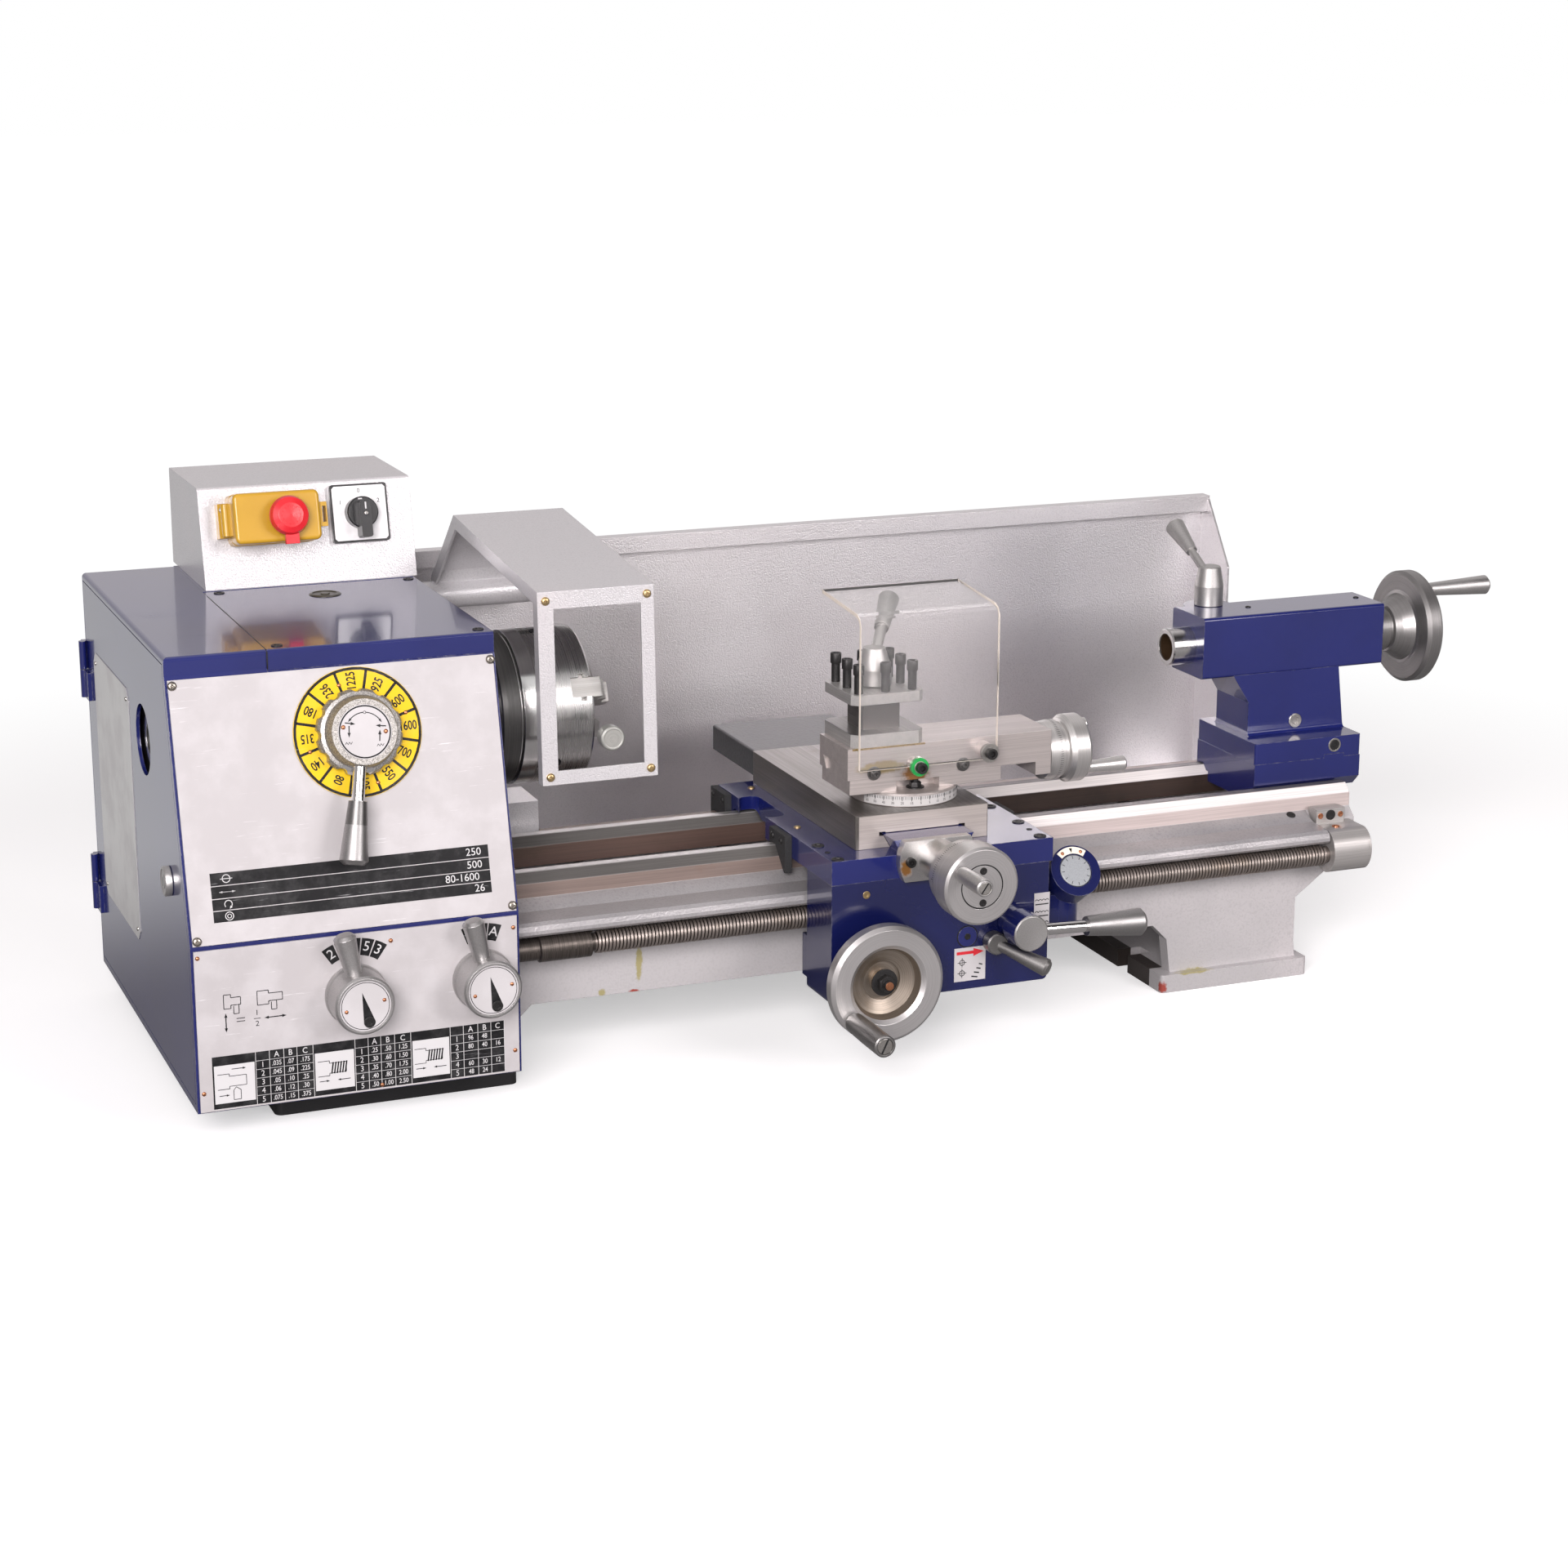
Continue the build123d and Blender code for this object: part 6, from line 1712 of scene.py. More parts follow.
    def knob_scale(self, x: float, body: str, marks: str, span: Point) -> None:
        """Black sectors with white marks above a feed knob.

        Args:
            x: Place of the knob.
            body: Body of the knob, which names the piece.
            marks: One mark for each sector.
            span: First and last angle in degrees.
        """
        face = self.lower.moved(x, self.knob_z)
        black = Stock()
        white = Stock()
        pitch = (span[1] - span[0]) / len(marks)
        for index, mark in enumerate(marks):
            start = span[0] + pitch * index
            black.sector(face, 31.0, 44.5, start - 0.7, start + pitch + 0.7, *SILL)
            middle = start + pitch / 2
            white.words(face.moved(*spin(middle, 38.0), 0, middle - 90), mark, 11.0, *LAYER)
        black.piece(f"{body}_scale", INK, "frame", "panel")
        white.piece(f"{body}_scale_marks", PALE, "frame", "panel")

    def fixings(self) -> None:
        """Screws of the upper plate and rivets of the lower one."""
        corners = ((-249.0, 195.4), (-4.4, 195.4), (-4.8, 5.7), (-248.6, 5.2))
        screws = self.upper.moved(0, 0, self.panel).spots(*corners)
        hardware("upper_panel_screws", Fastener.PAN_CROSS, 3.5, screws, PANEL_SCREW, "frame")
        rivets = self.lower.spots((-249.2, 152.4), (-101.9, 149.0), (-5.0, 148.1), (-5.4, 48.0),
                                  (-112.0, 34.2), (-249.0, 45.5), (-5.2, 110.0))
        hardware("lower_panel_rivets", Fastener.RIVET, 1.7, rivets, COPPER_PIN, "frame")
        polar = ((17, 40.0), (107, 38.0), (197, 39.6), (197, 30.6), (287, 41.0))
        rivets = self.upper.moved(*self.dial, self.dial_top).spots(*(spin(a, r) for a, r in polar))
        hardware("speed_dial_rivets", Fastener.RIVET, 1.6, rivets, COPPER_PIN, "frame")


@dataclass
class HeadCovers:
    """Lid, end door, control box and chuck guard: their screws, plates and knobs."""

    top: Face = Face.flat(0, 0, 370.0)
    lid_front: Face = Face.front(0, -98.4, 0)
    door: Face = Face((-254.0, 0, 0), (0, -1, 0), (0, 0, 1))
    switches: Face = Face((0, 146.54, 423.46), (1, 0, 0), (0, 19, 81))
    guard: Face = Face((0, -97.0, 243.0), (1, 0, 0), (0, 7, 153))
    switch_x: float = -116.0
    rotary_x: float = -41.0

    def build(self) -> None:
        """Make the small pieces of the covers."""
        self.lid()
        self.end_plate()
        self.lock()
        self.rotary()
        self.switch()
        self.guard_details()

    def lid(self) -> None:
        """Four lid screws, the seam beside the gear case and the oil filler plug."""
        spots = self.top.spots((-166, -86), (-9, -86), (-165, 121), (-7, 122))
        hardware("lid_screws", Fastener.FLUSH_CAP, 4.4, spots, BLACK_SCREW, "frame")
        seam = Stock().block(self.top, -177.0, -176.0, -96.0, 112.0, 0.0, 0.05)
        seam.block(self.lid_front, -177.0, -176.0, 355.5, 369.0, 0.0, 0.05)
        seam.piece("lid_seam", INK, "frame", "black")
        rows = [(0, -5.8), (12.9, -5.8), (12.9, 0.5), (11.6, 1.0), (10.4, 1.0), (10.0, 0.3), (4.0, 0.3),
                (3.6, 1.2), (0, 1.2)]
        plug = Stock().turned(self.top.moved(-86, 87), rows)
        plug.piece("oil_filler_plug", ("olive_plug", Moulded((0.035, 0.03, 0.018), rough=0.35)),
                   "frame", "black")

    def end_plate(self) -> None:
        """Bare aluminium plate with rivets on the end door."""
        u0, u1, v0, v1 = -206.0, -54.0, 104.0, 312.0
        cut = 9.0
        outline = [(u0 + cut, v0), (u1 - cut, v0), (u1, v0 + cut), (u1, v1 - cut), (u1 - cut, v1),
                   (u0 + cut, v1), (u0, v1 - cut), (u0, v0 + cut)]
        plate = Stock().prism(self.door, outline, 0.0, 0.6)
        plate.piece("end_door_plate", ("bare_plate", Plate((0.66, 0.66, 0.65), scuff=0.5, metal=0.6)),
                    "door", "panel")
        top = self.door.moved(0, 0, 0.6)
        spots = [(top, u, v) for u in (u0 + 9, u1 - 9) for v in (v0 + 9, v1 - 9)]
        hardware("end_door_rivets", Fastener.RIVET, 1.8, spots, ZINC_SCREW, "door")

    def lock(self) -> None:
        """Flat key lock of the end door with its stud and cam, in place of the plain knob."""
        face = self.door.moved(84.0, 195.0)
        rows = [(0, -8.0), (4.0, -8.0), (4.0, 0.4), (11.6, 0.4), (11.6, 4.8), (11.0, 5.6), (9.4, 5.8),
                (8.8, 5.2), (5.6, 5.2), (5.2, 5.7), (0, 5.7)]
        stock = Stock().turned(face, rows)
        stock.block(face, -6, 6, -22, 6, -7.0, -4.0)
        piece = stock.piece("key_lock", ("satin_metal", SATIN), "door_knob", "satin")
        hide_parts("door_lock")
        # Black ink line for the keyhole: painted shade.
        slot = Stock().line(face.moved(0, 0, 5.7), (0, -3.6), (0, 3.6), 1.5, *SILL)
        slot.piece("key_slot", INK, "door_knob", "satin")

    def rotary(self) -> None:
        """White square plate with marks under the rotary switch, and the knob's screw and mark."""
        face = self.switches.moved(self.rotary_x, 0, 4.9)
        half, cut = 22.4, 2.0
        corner = half - cut
        outline = [(-corner, -half), (corner, -half), (half, -corner), (half, corner), (corner, half),
                   (-corner, half), (-half, corner), (-half, -corner)]
        plate = Stock().prism(face, outline, 0.0, 0.5)
        plate.piece("rotary_plate", ("rotary_white", Plate((0.86, 0.86, 0.86), scuff=0.15, metal=0.0)),
                    "frame", "panel")
        top = face.moved(0, 0, 0.5)
        ink = Stock().words(top.moved(0, 18.2), "0", 5.0, *SILL)
        for angle, number in ((30.0, "2"), (150.0, "1")):
            ink.words(top.moved(*spin(angle, 18.6)), number, 5.0, *SILL)
        ink.piece("rotary_plate_marks", INK, "frame", "panel")
        knob = self.switches.moved(self.rotary_x, 0)
        mark = Stock().line(knob.moved(0, 0, 16.0), (-3.4, 11.0), (0.0, 11.0), 1.1, 0.0, 0.1)
        mark.line(knob.moved(0, 0, 26.0), (0, 2), (0, 7.6), 1.2, 0.0, 0.1)
        mark.piece("rotary_knob_mark", PALE, "selector", "panel")
        hardware("rotary_knob_screw", Fastener.PAN_CROSS, 1.9, knob.moved(0, 0, 26.0).spots((0, -1.5)),
                 ZINC_SCREW, "selector")

    def switch(self) -> None:
        """Hinge screws of the yellow switch and fine dots on the red mushroom."""
        face = self.switches.moved(self.switch_x, 0)
        hardware("switch_screws", Fastener.PAN_CROSS, 2.6, face.moved(0, 0, 12.0).spots((-40.5, 9.0)),
                 ZINC_SCREW, "frame")
        cap = face.moved(8, 0, 47.6)
        dot = Stock().turned(BENCH, [(0.42, 0.0), (0.3, 0.5), (0.0, 0.6)], 8)
        dots = PATTERN.around_axis("mushroom_dots", dot, cap, (14, 7.4, 0.0, 360.0 / 14), RED)
        settle(dots, "mushroom_dots", "mushroom")

    def guard_details(self) -> None:
        """Brass corner screws and the turned knob of the chuck guard."""
        spots = [(self.guard, x, v) for x in (44.0, 127.2) for v in (6.5, 146.0)]
        hardware("guard_screws", Fastener.PAN_CROSS, 3.4, spots, BRASS_SCREW, "chuck_guard")
        knob = self.guard.moved(90.0, 37.0, -2.0)
        rows = [(0, 5.1), (6.1, 5.1), (6.1, 8.1), (9.6, 10.0), (9.7, 10.5), (9.7, 20.3), (8.7, 21.2),
                (7.6, 21.25), (7.3, 21.0), (0, 21.05)]
        Stock().turned(knob, rows).piece("guard_knob", ("guard_knob", Turned(
            (0.5, 0.5, 0.47), Way.Y, (90.0, 0, 280.0), rough=0.4)), "chuck_guard", "satin")


@dataclass
class ChuckDetails:
    """Screws in the chuck's face and key sockets in its rim."""

    face: Face = Face.right(93.0, 0, 285.0)
    tilt: float = 24.0
    screw_ring: float = 46.0
    rim: float = 62.2
    socket_x: float = 62.0

    def build(self) -> None:
        """Put three face screws, and black discs of painted shade for the three key sockets between the jaws."""
        angles = [180 - self.tilt - 60 - 120 * k for k in range(3)]
        spots = self.face.spots(*(spin(a, self.screw_ring) for a in angles))
        hardware("chuck_face_screws", Fastener.FLUSH_CAP, 4.6, spots, BLACK_SCREW, "spindle_set")
        # The key sockets are black discs on the rim: painted shade for the holes.
        sockets = Stock()
        for c, s in map(spin, angles):
            middle = (self.socket_x, self.rim * c, self.face.origin[2] + self.rim * s)
            sockets.disc(Face(middle, (1, 0, 0), (0, s, -c)), 5.4, -0.4, 0.36)
        sockets.piece("chuck_key_sockets", INK, "spindle_set", "dark_steel")


@dataclass
class BedDetails:
    """Leadscrew thread, feed rack, bracket screws and splash guard bolts."""

    screw: Face = Face.right(0, -110.0, 115.0)
    radius: float = 9.0
    root: float = 7.3
    thread_start: float = 74.0
    thread_end: float = 739.0
    pitch: float = 3.0
    bracket_x: Triple = (744.0, 779.0, 781.0)

    def build(self) -> None:
        """Make the pieces of the bed."""
        self.leadscrew()
        self.bracket()
        self.rack()
        self.bolts()

    def leadscrew(self) -> None:
        """Cut leadscrew in place of the plain blank: core, sleeve and wound thread."""
        axis = self.screw.origin
        crest, root, sleeve = (Turned(tone, Way.X, axis, rough=0.34, spread=0.5, tarnish=0.5) for tone in (
            (0.38, 0.33, 0.30), (0.04, 0.03, 0.025), (0.13, 0.112, 0.10)))
        # Near-black thread roots: painted shade between the crests.
        r, end = self.radius, self.thread_end
        finish = ("leadscrew", Zoned(crest, (
            (BarZone(axis, (1, 0, 0), self.thread_start, end, self.root + 0.7), root),
            (BarZone(axis, (1, 0, 0), -40.0, self.thread_start - 1, 14.0), sleeve))))
        rows = [(0, -19), (r, -19), (r, 26), (11, 27), (11, 69), (7.5, 70), (self.root, self.thread_start),
                (self.root, end), (7, end + 1), (7, end + 39), (0, end + 39)]
        core = Stock().turned(self.screw, rows)
        length = end - self.thread_start
        depth = r - self.root
        inputs = {"Turns": length / self.pitch, "Radius": (self.root + depth / 2) * MM, "Length": length * MM,
                  "Depth": (depth + 0.2) * MM, "Land": 0.42 * self.pitch * MM,
                  "Material": material_of(*finish)}
        wound = PATTERN.run(PATTERN.helix, bpy.data.meshes.new("helix"), inputs, "thread")
        wound.transform(self.screw.moved(0, 0, self.thread_start).matrix() @ Matrix.Scale(1 / MM, 4))
        core.mesh.from_mesh(wound)
        piece = core.piece("cut_leadscrew", finish, "lead", "dark_steel")
        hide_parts("leadscrew")

    def bracket(self) -> None:
        """Bearing block of the leadscrew with a flat top, a rounded front and an upright lug."""
        face = self.screw
        back, top, lug_front, bore = 26.0, 22.0, 18.0, 7.3
        front = [(1.0 + 15.8 * spin(a)[0], 3.0 + 19.0 * spin(a)[1]) for a in range(90, 281, 10)]
        block = [(back, 7.0), (back, top)] + front + [(14.0, -12.0), (back, -6.0)]
        turn = [spin(a, bore) for a in range(-10, -360, -10)]
        hole = [(back, -0.1), (bore, -0.1), *turn, (bore, 0.1), (back, 0.1)]
        lug = [(back, top), (back, 23.0), (32.0, 30.0), (32.0, 35.0), (lug_front, 35.0), (lug_front, top)]
        x0, x1, end = self.bracket_x
        stock = Stock().prism(face, block + hole, x0, x1).prism(face, block, x1, end)
        stock.prism(face, lug, x0, x0 + 28.0)
        piece = stock.piece("bearing_block", BRACKET_STEEL, "frame", "hammer")
        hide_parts("leadscrew_bracket")

    def rack(self) -> None:
        """Feed rack under the ledge of the bed."""
        ledge = Face((10.0, -92.0, 127.0), (1, 0, 0), (0, -1, 0))
        side = Face.front(*BENCH.origin)
        tooth = Stock().prism(side, [(-1.5, 0), (1.5, 0), (0.7, 3.2), (-0.7, 3.2)], -4, 4)
        steel = ("rack_steel", IRON)
        teeth = PATTERN.repeat("rack_teeth", tooth, PATTERN.row, steel, face=ledge.moved(2, 0, 5.5),
                               Count=180, Pitch=4 * MM)
        settle(teeth, "rack_teeth", "frame")
        Stock().block(ledge, 0, 722, -4, 4, 0.0, 5.6).piece("rack_bar", steel, "frame", "steel")

    def bolts(self) -> None:
        """Socket screws of the leadscrew bracket and bolts along the splash guard."""
        lug = Face.front(0, -92.0, 0)
        hardware("bracket_screw", Fastener.FLUSH_CAP, 4.6, lug.spots((758.0, 144.6)), BLACK_SCREW, "frame")
        hardware("bracket_pins", Fastener.FLUSH_CAP, 2.6, lug.spots((748.0, 144.4), (768.0, 144.4)),
                 COPPER_PIN, "frame")
        deck = Face.flat(0, 0, 137.0)
        hardware("bracket_oiler", Fastener.OILER, 3.4, deck.spots((757.0, -103.0)), COPPER_PIN, "frame")
        slope = Face((0, -79.0, 144.25), (1, 0, 0), (0, 0.916, 0.401))
        hardware("way_screw", Fastener.FLUSH_CAP, 4.0, slope.spots((726.0, 0.0)), BLACK_SCREW, "frame")
        wall = Face.front(0, 246.0, 0)
        hardware("splash_guard_bolts", Fastener.PAN_CROSS, 4.0,
                 [(wall, x, 100.0) for x in (60, 300, 540, 780)], ZINC_SCREW, "frame")


@dataclass
class CarriageDetails:
    """Screws, labels, dials and nuts of the saddle, the apron and the cross slide."""

    deck: Face = Face.flat(0, 0, 179.0)
    front: Face = Face.front(0, -173.0, 0)
    cross_x: float = 339.5
    cross_z: float = 174.5
    wheel: Point = (287.0, 82.0)
    plate: float = 0.4

    def build(self) -> None:
        """Make the pieces of the carriage."""
        self.saddle_screws()
        self.apron_labels()
        self.thread_dial()
        self.cross_feed()
        self.handwheel()

    def saddle_screws(self) -> None:
        """Screws in the saddle's wings, the wipers and the bracket flange."""
        big = ((439.4, -122.0), (437.4, -166.0), (438.2, -70.4), (258.0, -168.0), (258.3, -126.4))
        hardware("saddle_screws", Fastener.FLUSH_CAP, 5.2, self.deck.spots(*big), BLACK_SCREW, "carriage")
        small = ((438.2, -144.9), (258.0, -147.0))
        hardware("saddle_set_screws", Fastener.FLUSH_CAP, 2.4, self.deck.spots(*small), BLACK_SCREW,
                 "carriage")
        hardware("saddle_oilers", Fastener.OILER, 3.0, self.deck.spots((263.4, -70.0), (273.0, 58.0)),
                 BRASS_SCREW, "carriage")
        right = Face.right(452.0, 0, 0)
        left = Face((245.0, 0, 0), (0, -1, 0), (0, 0, 1))
        spots = [(right, y, 172.5) for y in (-80.0, -62.0, 54.0, 76.0)]
        spots += [(left, -y, 172.5) for y in (-80.0, -62.0, 54.0, 76.0)]
        hardware("wiper_screws", Fastener.PAN_CROSS, 2.8, spots, BLACK_SCREW, "carriage")
        flange = self.front.moved(0, 0, 8.0)
        spots = [(flange, self.cross_x + dx, self.cross_z) for dx in (-24.5, 24.5)]
        hardware("bracket_flange_screws", Fastener.SOCKET_CAP, 4.0, spots, BLACK_SCREW, "carriage")

    def apron_labels(self) -> None:
        """Two picture plates and the oil sight of the apron."""
        face = self.front
        plates = Stock().block(face, 359.0, 387.0, 65.5, 94.0, 0.0, self.plate)
        plates.block(face, 430.0, 444.0, 101.5, 133.0, 0.0, self.plate)
        plates.piece("apron_plates", WHITE_PLATE, "carriage", "panel")
        top = face.moved(0, 0, self.plate)
        arrow = [(361, 88.3), (376, 88.3), (376, 86.2), (385.4, 89.6), (376, 93), (376, 90.9), (361, 90.9)]
        Stock().prism(top, arrow, *SILL).piece("apron_arrow", RED_INK, "carriage", "panel")
        ink = Stock()
        for x, z in ((366.0, 81.5), (366.0, 72.5)):
            ink.ring(top.moved(x, z), 1.9, 2.5, *SILL).line(top, (x - 4, z), (x + 4, z), 0.5, *SILL)
            ink.line(top, (x, z - 4), (x, z + 4), 0.5, *SILL)
        for k in range(4):
            ink.line(top, (374.5 + 2.2 * k, 69.0 + 3.4 * k), (380.0 + 1.4 * k, 68.0 + 3.4 * k), 1.1, *SILL)
        for base in (126.0, 116.0, 107.0):
            for k in range(4):
                ink.sector(top.moved(432.3 + 3.1 * k, base), 1.1, 1.7, 10, 170, *SILL)
            ink.block(top, 431.0, 443.0, base - 3.2, base - 2.2, *SILL)
        ink.piece("apron_pictures", INK, "carriage", "panel")
        at = face.moved(370.4, 103.4)
        Stock().disc(at, 8.4, 0.0, 0.5).piece("apron_oil_plug", ("blue_enamel", BLUE), "carriage", "blue")
        Stock().ring(at, 8.4, 9.3, 0.0, 0.1).piece("apron_plug_groove", INK, "carriage", "dark_steel")
        hardware("apron_plug_socket", Fastener.FLUSH_CAP, 2.7, at.moved(0, 0, 0.5).spots((0, 0)), BLACK_SCREW,
                 "carriage")
        hardware("apron_pin", Fastener.FLUSH_CAP, 3.2, face.spots((281.0, 148.6)), BRASS_SCREW, "carriage")

    def thread_dial(self) -> None:
        """Marks, rivets and pointer plate of the thread dial."""
        tilt = 35.0
        c, s = spin(tilt)
        face = Face((471.0, -166.0, 146.0), (1, 0, 0), (0, s, c))
        ticks("thread_dial_marks", face, (2.6, 0.5, 0.06), (12, 11.4, 0.0, 30.0), "thread_indicator",
              0.2)
        plate = Stock().sector(face, 14.8, 20.6, 50.0, 130.0, 0.0, self.plate)
        plate.piece("thread_dial_pointer", CREAM, "carriage", "panel")
        top = face.moved(0, 0, self.plate)
        Stock().prism(top, [(-1.5, 19.4), (1.5, 19.4), (0, 15.4)], *SILL).piece(
            "thread_dial_arrow", INK, "carriage", "panel")
        hardware("thread_dial_rivets", Fastener.RIVET, 1.5, [(top, *spin(a, 17.6)) for a in (62.0, 118.0)],
                 COPPER_PIN, "carriage")

    def cross_feed(self) -> None:
        """Graduations, set screws and handle screw of the cross feed wheel."""
        axis = self.front.moved(self.cross_x, self.cross_z)
        ticks("cross_collar_marks", axis, (0.12, 0.32, 3.0), (100, 28.0, 0.0, 3.6), "cross_wheel",
              57.6)
        ticks("cross_collar_tens", axis, (0.12, 0.4, 5.0), (10, 28.0, 0.0, 36.0), "cross_wheel",
              55.8)
        face = axis.moved(0, 0, 90.0)
        hardware("cross_wheel_screws", Fastener.FLUSH_CAP, 3.0, face.spots((0.8, 12.6), (0.8, -13.2)),
                 BLACK_SCREW, "cross_wheel")
        # Black ink ring for the groove in the wheel's face: painted shade.
        groove = Stock().ring(axis.moved(0, 0, 89.0), 17.05, 17.95, 0.0, 0.85)
        groove.piece("cross_wheel_groove", INK, "cross_wheel", "dark_steel")
        slotted("cross_handle_screw", axis.moved(*spin(145.0, 22.0), 131.0), 4.9, 55.0, "cross_wheel")

    def handwheel(self) -> None:
        """Hub nut and handle screw of the carriage wheel."""
        axis = self.front.moved(*self.wheel)
        hardware("carriage_wheel_nut", Fastener.HEX_NUT, 7.4, axis.moved(0, 0, 23.0).spots((0, 0)),
                 BLACK_SCREW, "carriage_wheel")
        Stock().disc(axis.moved(0, 0, 33.3), 3.4, 0.0, 1.4).piece(
            "carriage_wheel_stud", COPPER_PIN, "carriage_wheel", "steel")
        slotted("carriage_handle_screw", axis.moved(*spin(222.0, 40.0), 92.0), 6.5, 65.0, "carriage_wheel")


@dataclass
class CompoundDetails:
    """Scale, gib screws and tool post screws of the compound slide."""

    swivel: Triple = (346.0, -97.0, 207.2)
    swivel_r: float = 44.0
    side: Face = Face.front(0, -126.0, 0)
    post: Triple = (320.0, -94.0, 299.5)
    axis: Face = Face.right(466.4, -97.0, 231.5)

    def build(self) -> None:
        """Make the pieces of the compound."""
        self.scale()
        self.gibs()
        self.post_screws()
        self.shield()
        ticks("compound_collar_marks", self.axis, (0.12, 0.3, 2.6), (80, 25.0, 0.0, 4.5), "compound_wheel",
              11.2)

    def scale(self) -> None:
        """White angle band around the swivel with its marks and numbers."""
        face = Face.flat(*self.swivel)
        r = self.swivel_r
        band = Stock().sector(face, r - 0.2, r + 0.15, 200.0, 340.0, 0.4, 8.6)
        band.piece("swivel_scale", ("scale_plate", Plate((0.50, 0.49, 0.48), scuff=0.15)), "swivel", "panel")
        ticks("swivel_marks", face, (0.2, 0.3, 2.4), (69, r + 0.12, 202.0, 2.0), "swivel", 6.0)
        ticks("swivel_tens", face, (0.2, 0.4, 3.6), (14, r + 0.12, 205.0, 10.0), "swivel", 4.8)
        ink = Stock()
        for index in range(14):
            angle = 205.0 + 10.0 * index
            out = (*spin(angle), 0.0)
            spot = Vector(self.swivel) + Vector(out) * (r + 0.15)
            upright = Face((spot.x, spot.y, spot.z + 2.9), (*spin(angle + 90), 0.0), (0, 0, 1))
            ink.words(upright, str(abs(65 - 10 * index) // 5 * 5), 2.9, *SILL)
        ink.piece("swivel_numbers", INK, "swivel", "panel")

    def gibs(self) -> None:
        """Gib screws with lock nuts, the swivel bolts and the shield's pin screws."""
        spots = [(self.side, x, 234.6) for x in (307.0, 347.0, 386.0)]
        hardware("gib_screws", Fastener.LOCK_NUT, 4.6, spots, DARK_NUT, "compound")
        hardware("swivel_bolts", Fastener.HEX_NUT, 5.0, Face.flat(346.0, -120.5, 218.0).spots((0, 0)),
                 BLACK_SCREW, "swivel")
        pin = Face.front(0, -141.5, 0)
        spots = pin.spots((403.0, 246.0), (341.0, 240.0))
        hardware("shield_pin_screws", Fastener.SOCKET_CAP, 4.6, spots, BLACK_SCREW, "compound")
        Stock().ring(pin.moved(341.0, 240.0), 5.05, 7.6, -4.6, -0.4).piece(
            "shield_rest_washer", GREEN, "compound", "green")
        Stock().ring(pin.moved(403.0, 246.0), 4.1, 8.0, -0.4, 0.0).piece(
            "shield_pin_washer", ZINC_SCREW, "compound", "steel")

    def shield(self) -> None:
        """Cream sawn edges of the clear shield."""
        x0, x1, low, top, back, front = 289.0, 410.0, 241.0, 360.0, -136.5, -139.5
        bend = [(back, low), (front, low), (front, top), (front + 3, top + 5), (front + 9, top + 8),
                (front + 80, top + 14), (front + 80, top + 11), (front + 9.5, top + 5), (front + 5, top + 3),
                (back, top - 1)]
        thick = 0.3
        edges = Stock().prism(Face.right(x0, 0, 0), bend, -thick, 0.0)
        edges.prism(Face.right(x1, 0, 0), bend, 0.0, thick)
        under = Face.flat(0, 0, low)
        for start, end in ((x0, 332.5), (349.5, x1)):
            edges.block(under, start, end, front, back, -thick, 0.0)
        edges.block(Face.front(0, front + 80, 0), x0, x1, top + 11, top + 14, -thick, 0.0)
        edges.piece("shield_edges", ("shield_edge", Moulded((0.80, 0.72, 0.63), rough=0.5)),
                    "shield", "clear")

    def post_screws(self) -> None:
        """Eight black screws that stand around the tool post's top plate."""
        face = Face.flat(*self.post)
        reach = 23.5
        grid = (-reach, 0.0, reach)
        spots = [(face, u, v) for u in grid for v in grid if u or v]
        hardware("tool_clamp_screws", Fastener.POST_SCREW, 4.5, spots, BLACK_SCREW, "post")


@dataclass
class TailstockDetails:
    """Plugs, set screws, oilers and graduations of the tailstock."""

    barrel_top: Face = Face.flat(0, 0, 314.0)
    foot: Face = Face.front(0, -56.4, 0)
    neck: Face = Face.front(0, -27.6, 0)
    axis: Face = Face.right(843.6, 0, 285.0)

    def build(self) -> None:
        """Make the pieces of the tailstock."""
        hardware("tailstock_oilers", Fastener.OILER, 2.5, self.barrel_top.spots((722.0, 2.0), (833.0, 3.0)),
                 BLACK_SCREW, "tailstock")
        hardware("tailstock_plug", Fastener.FLUSH_CAP, 6.4, self.neck.spots((757.0, 214.8)), ZINC_SCREW,
                 "tailstock")
        hardware("tailstock_set_screw", Fastener.FLUSH_CAP, 4.6, self.foot.spots((781.0, 197.0)), BLACK_SCREW,
                 "tailstock")
        Stock().ring(self.foot.moved(781.0, 197.0), 4.7, 6.2, 0.0, 0.4).piece(
            "set_screw_ring", ZINC_SCREW, "tailstock", "steel")
        ticks("tail_collar_marks", self.axis, (0.12, 0.3, 3.0), (50, 20.0, 0.0, 7.2), "tail_wheel",
              2.4)
        ink = Stock()
        for k in range(9):
            ring = Face.right(641.5 + 2.5 * k, 0, 285.0)
            ink.sector(ring, 16.35, 16.425, 80.0, 100.0 if k % 2 else 110.0, 0.0, 0.25)
        ink.piece("quill_marks", INK, "barrel", "steel")


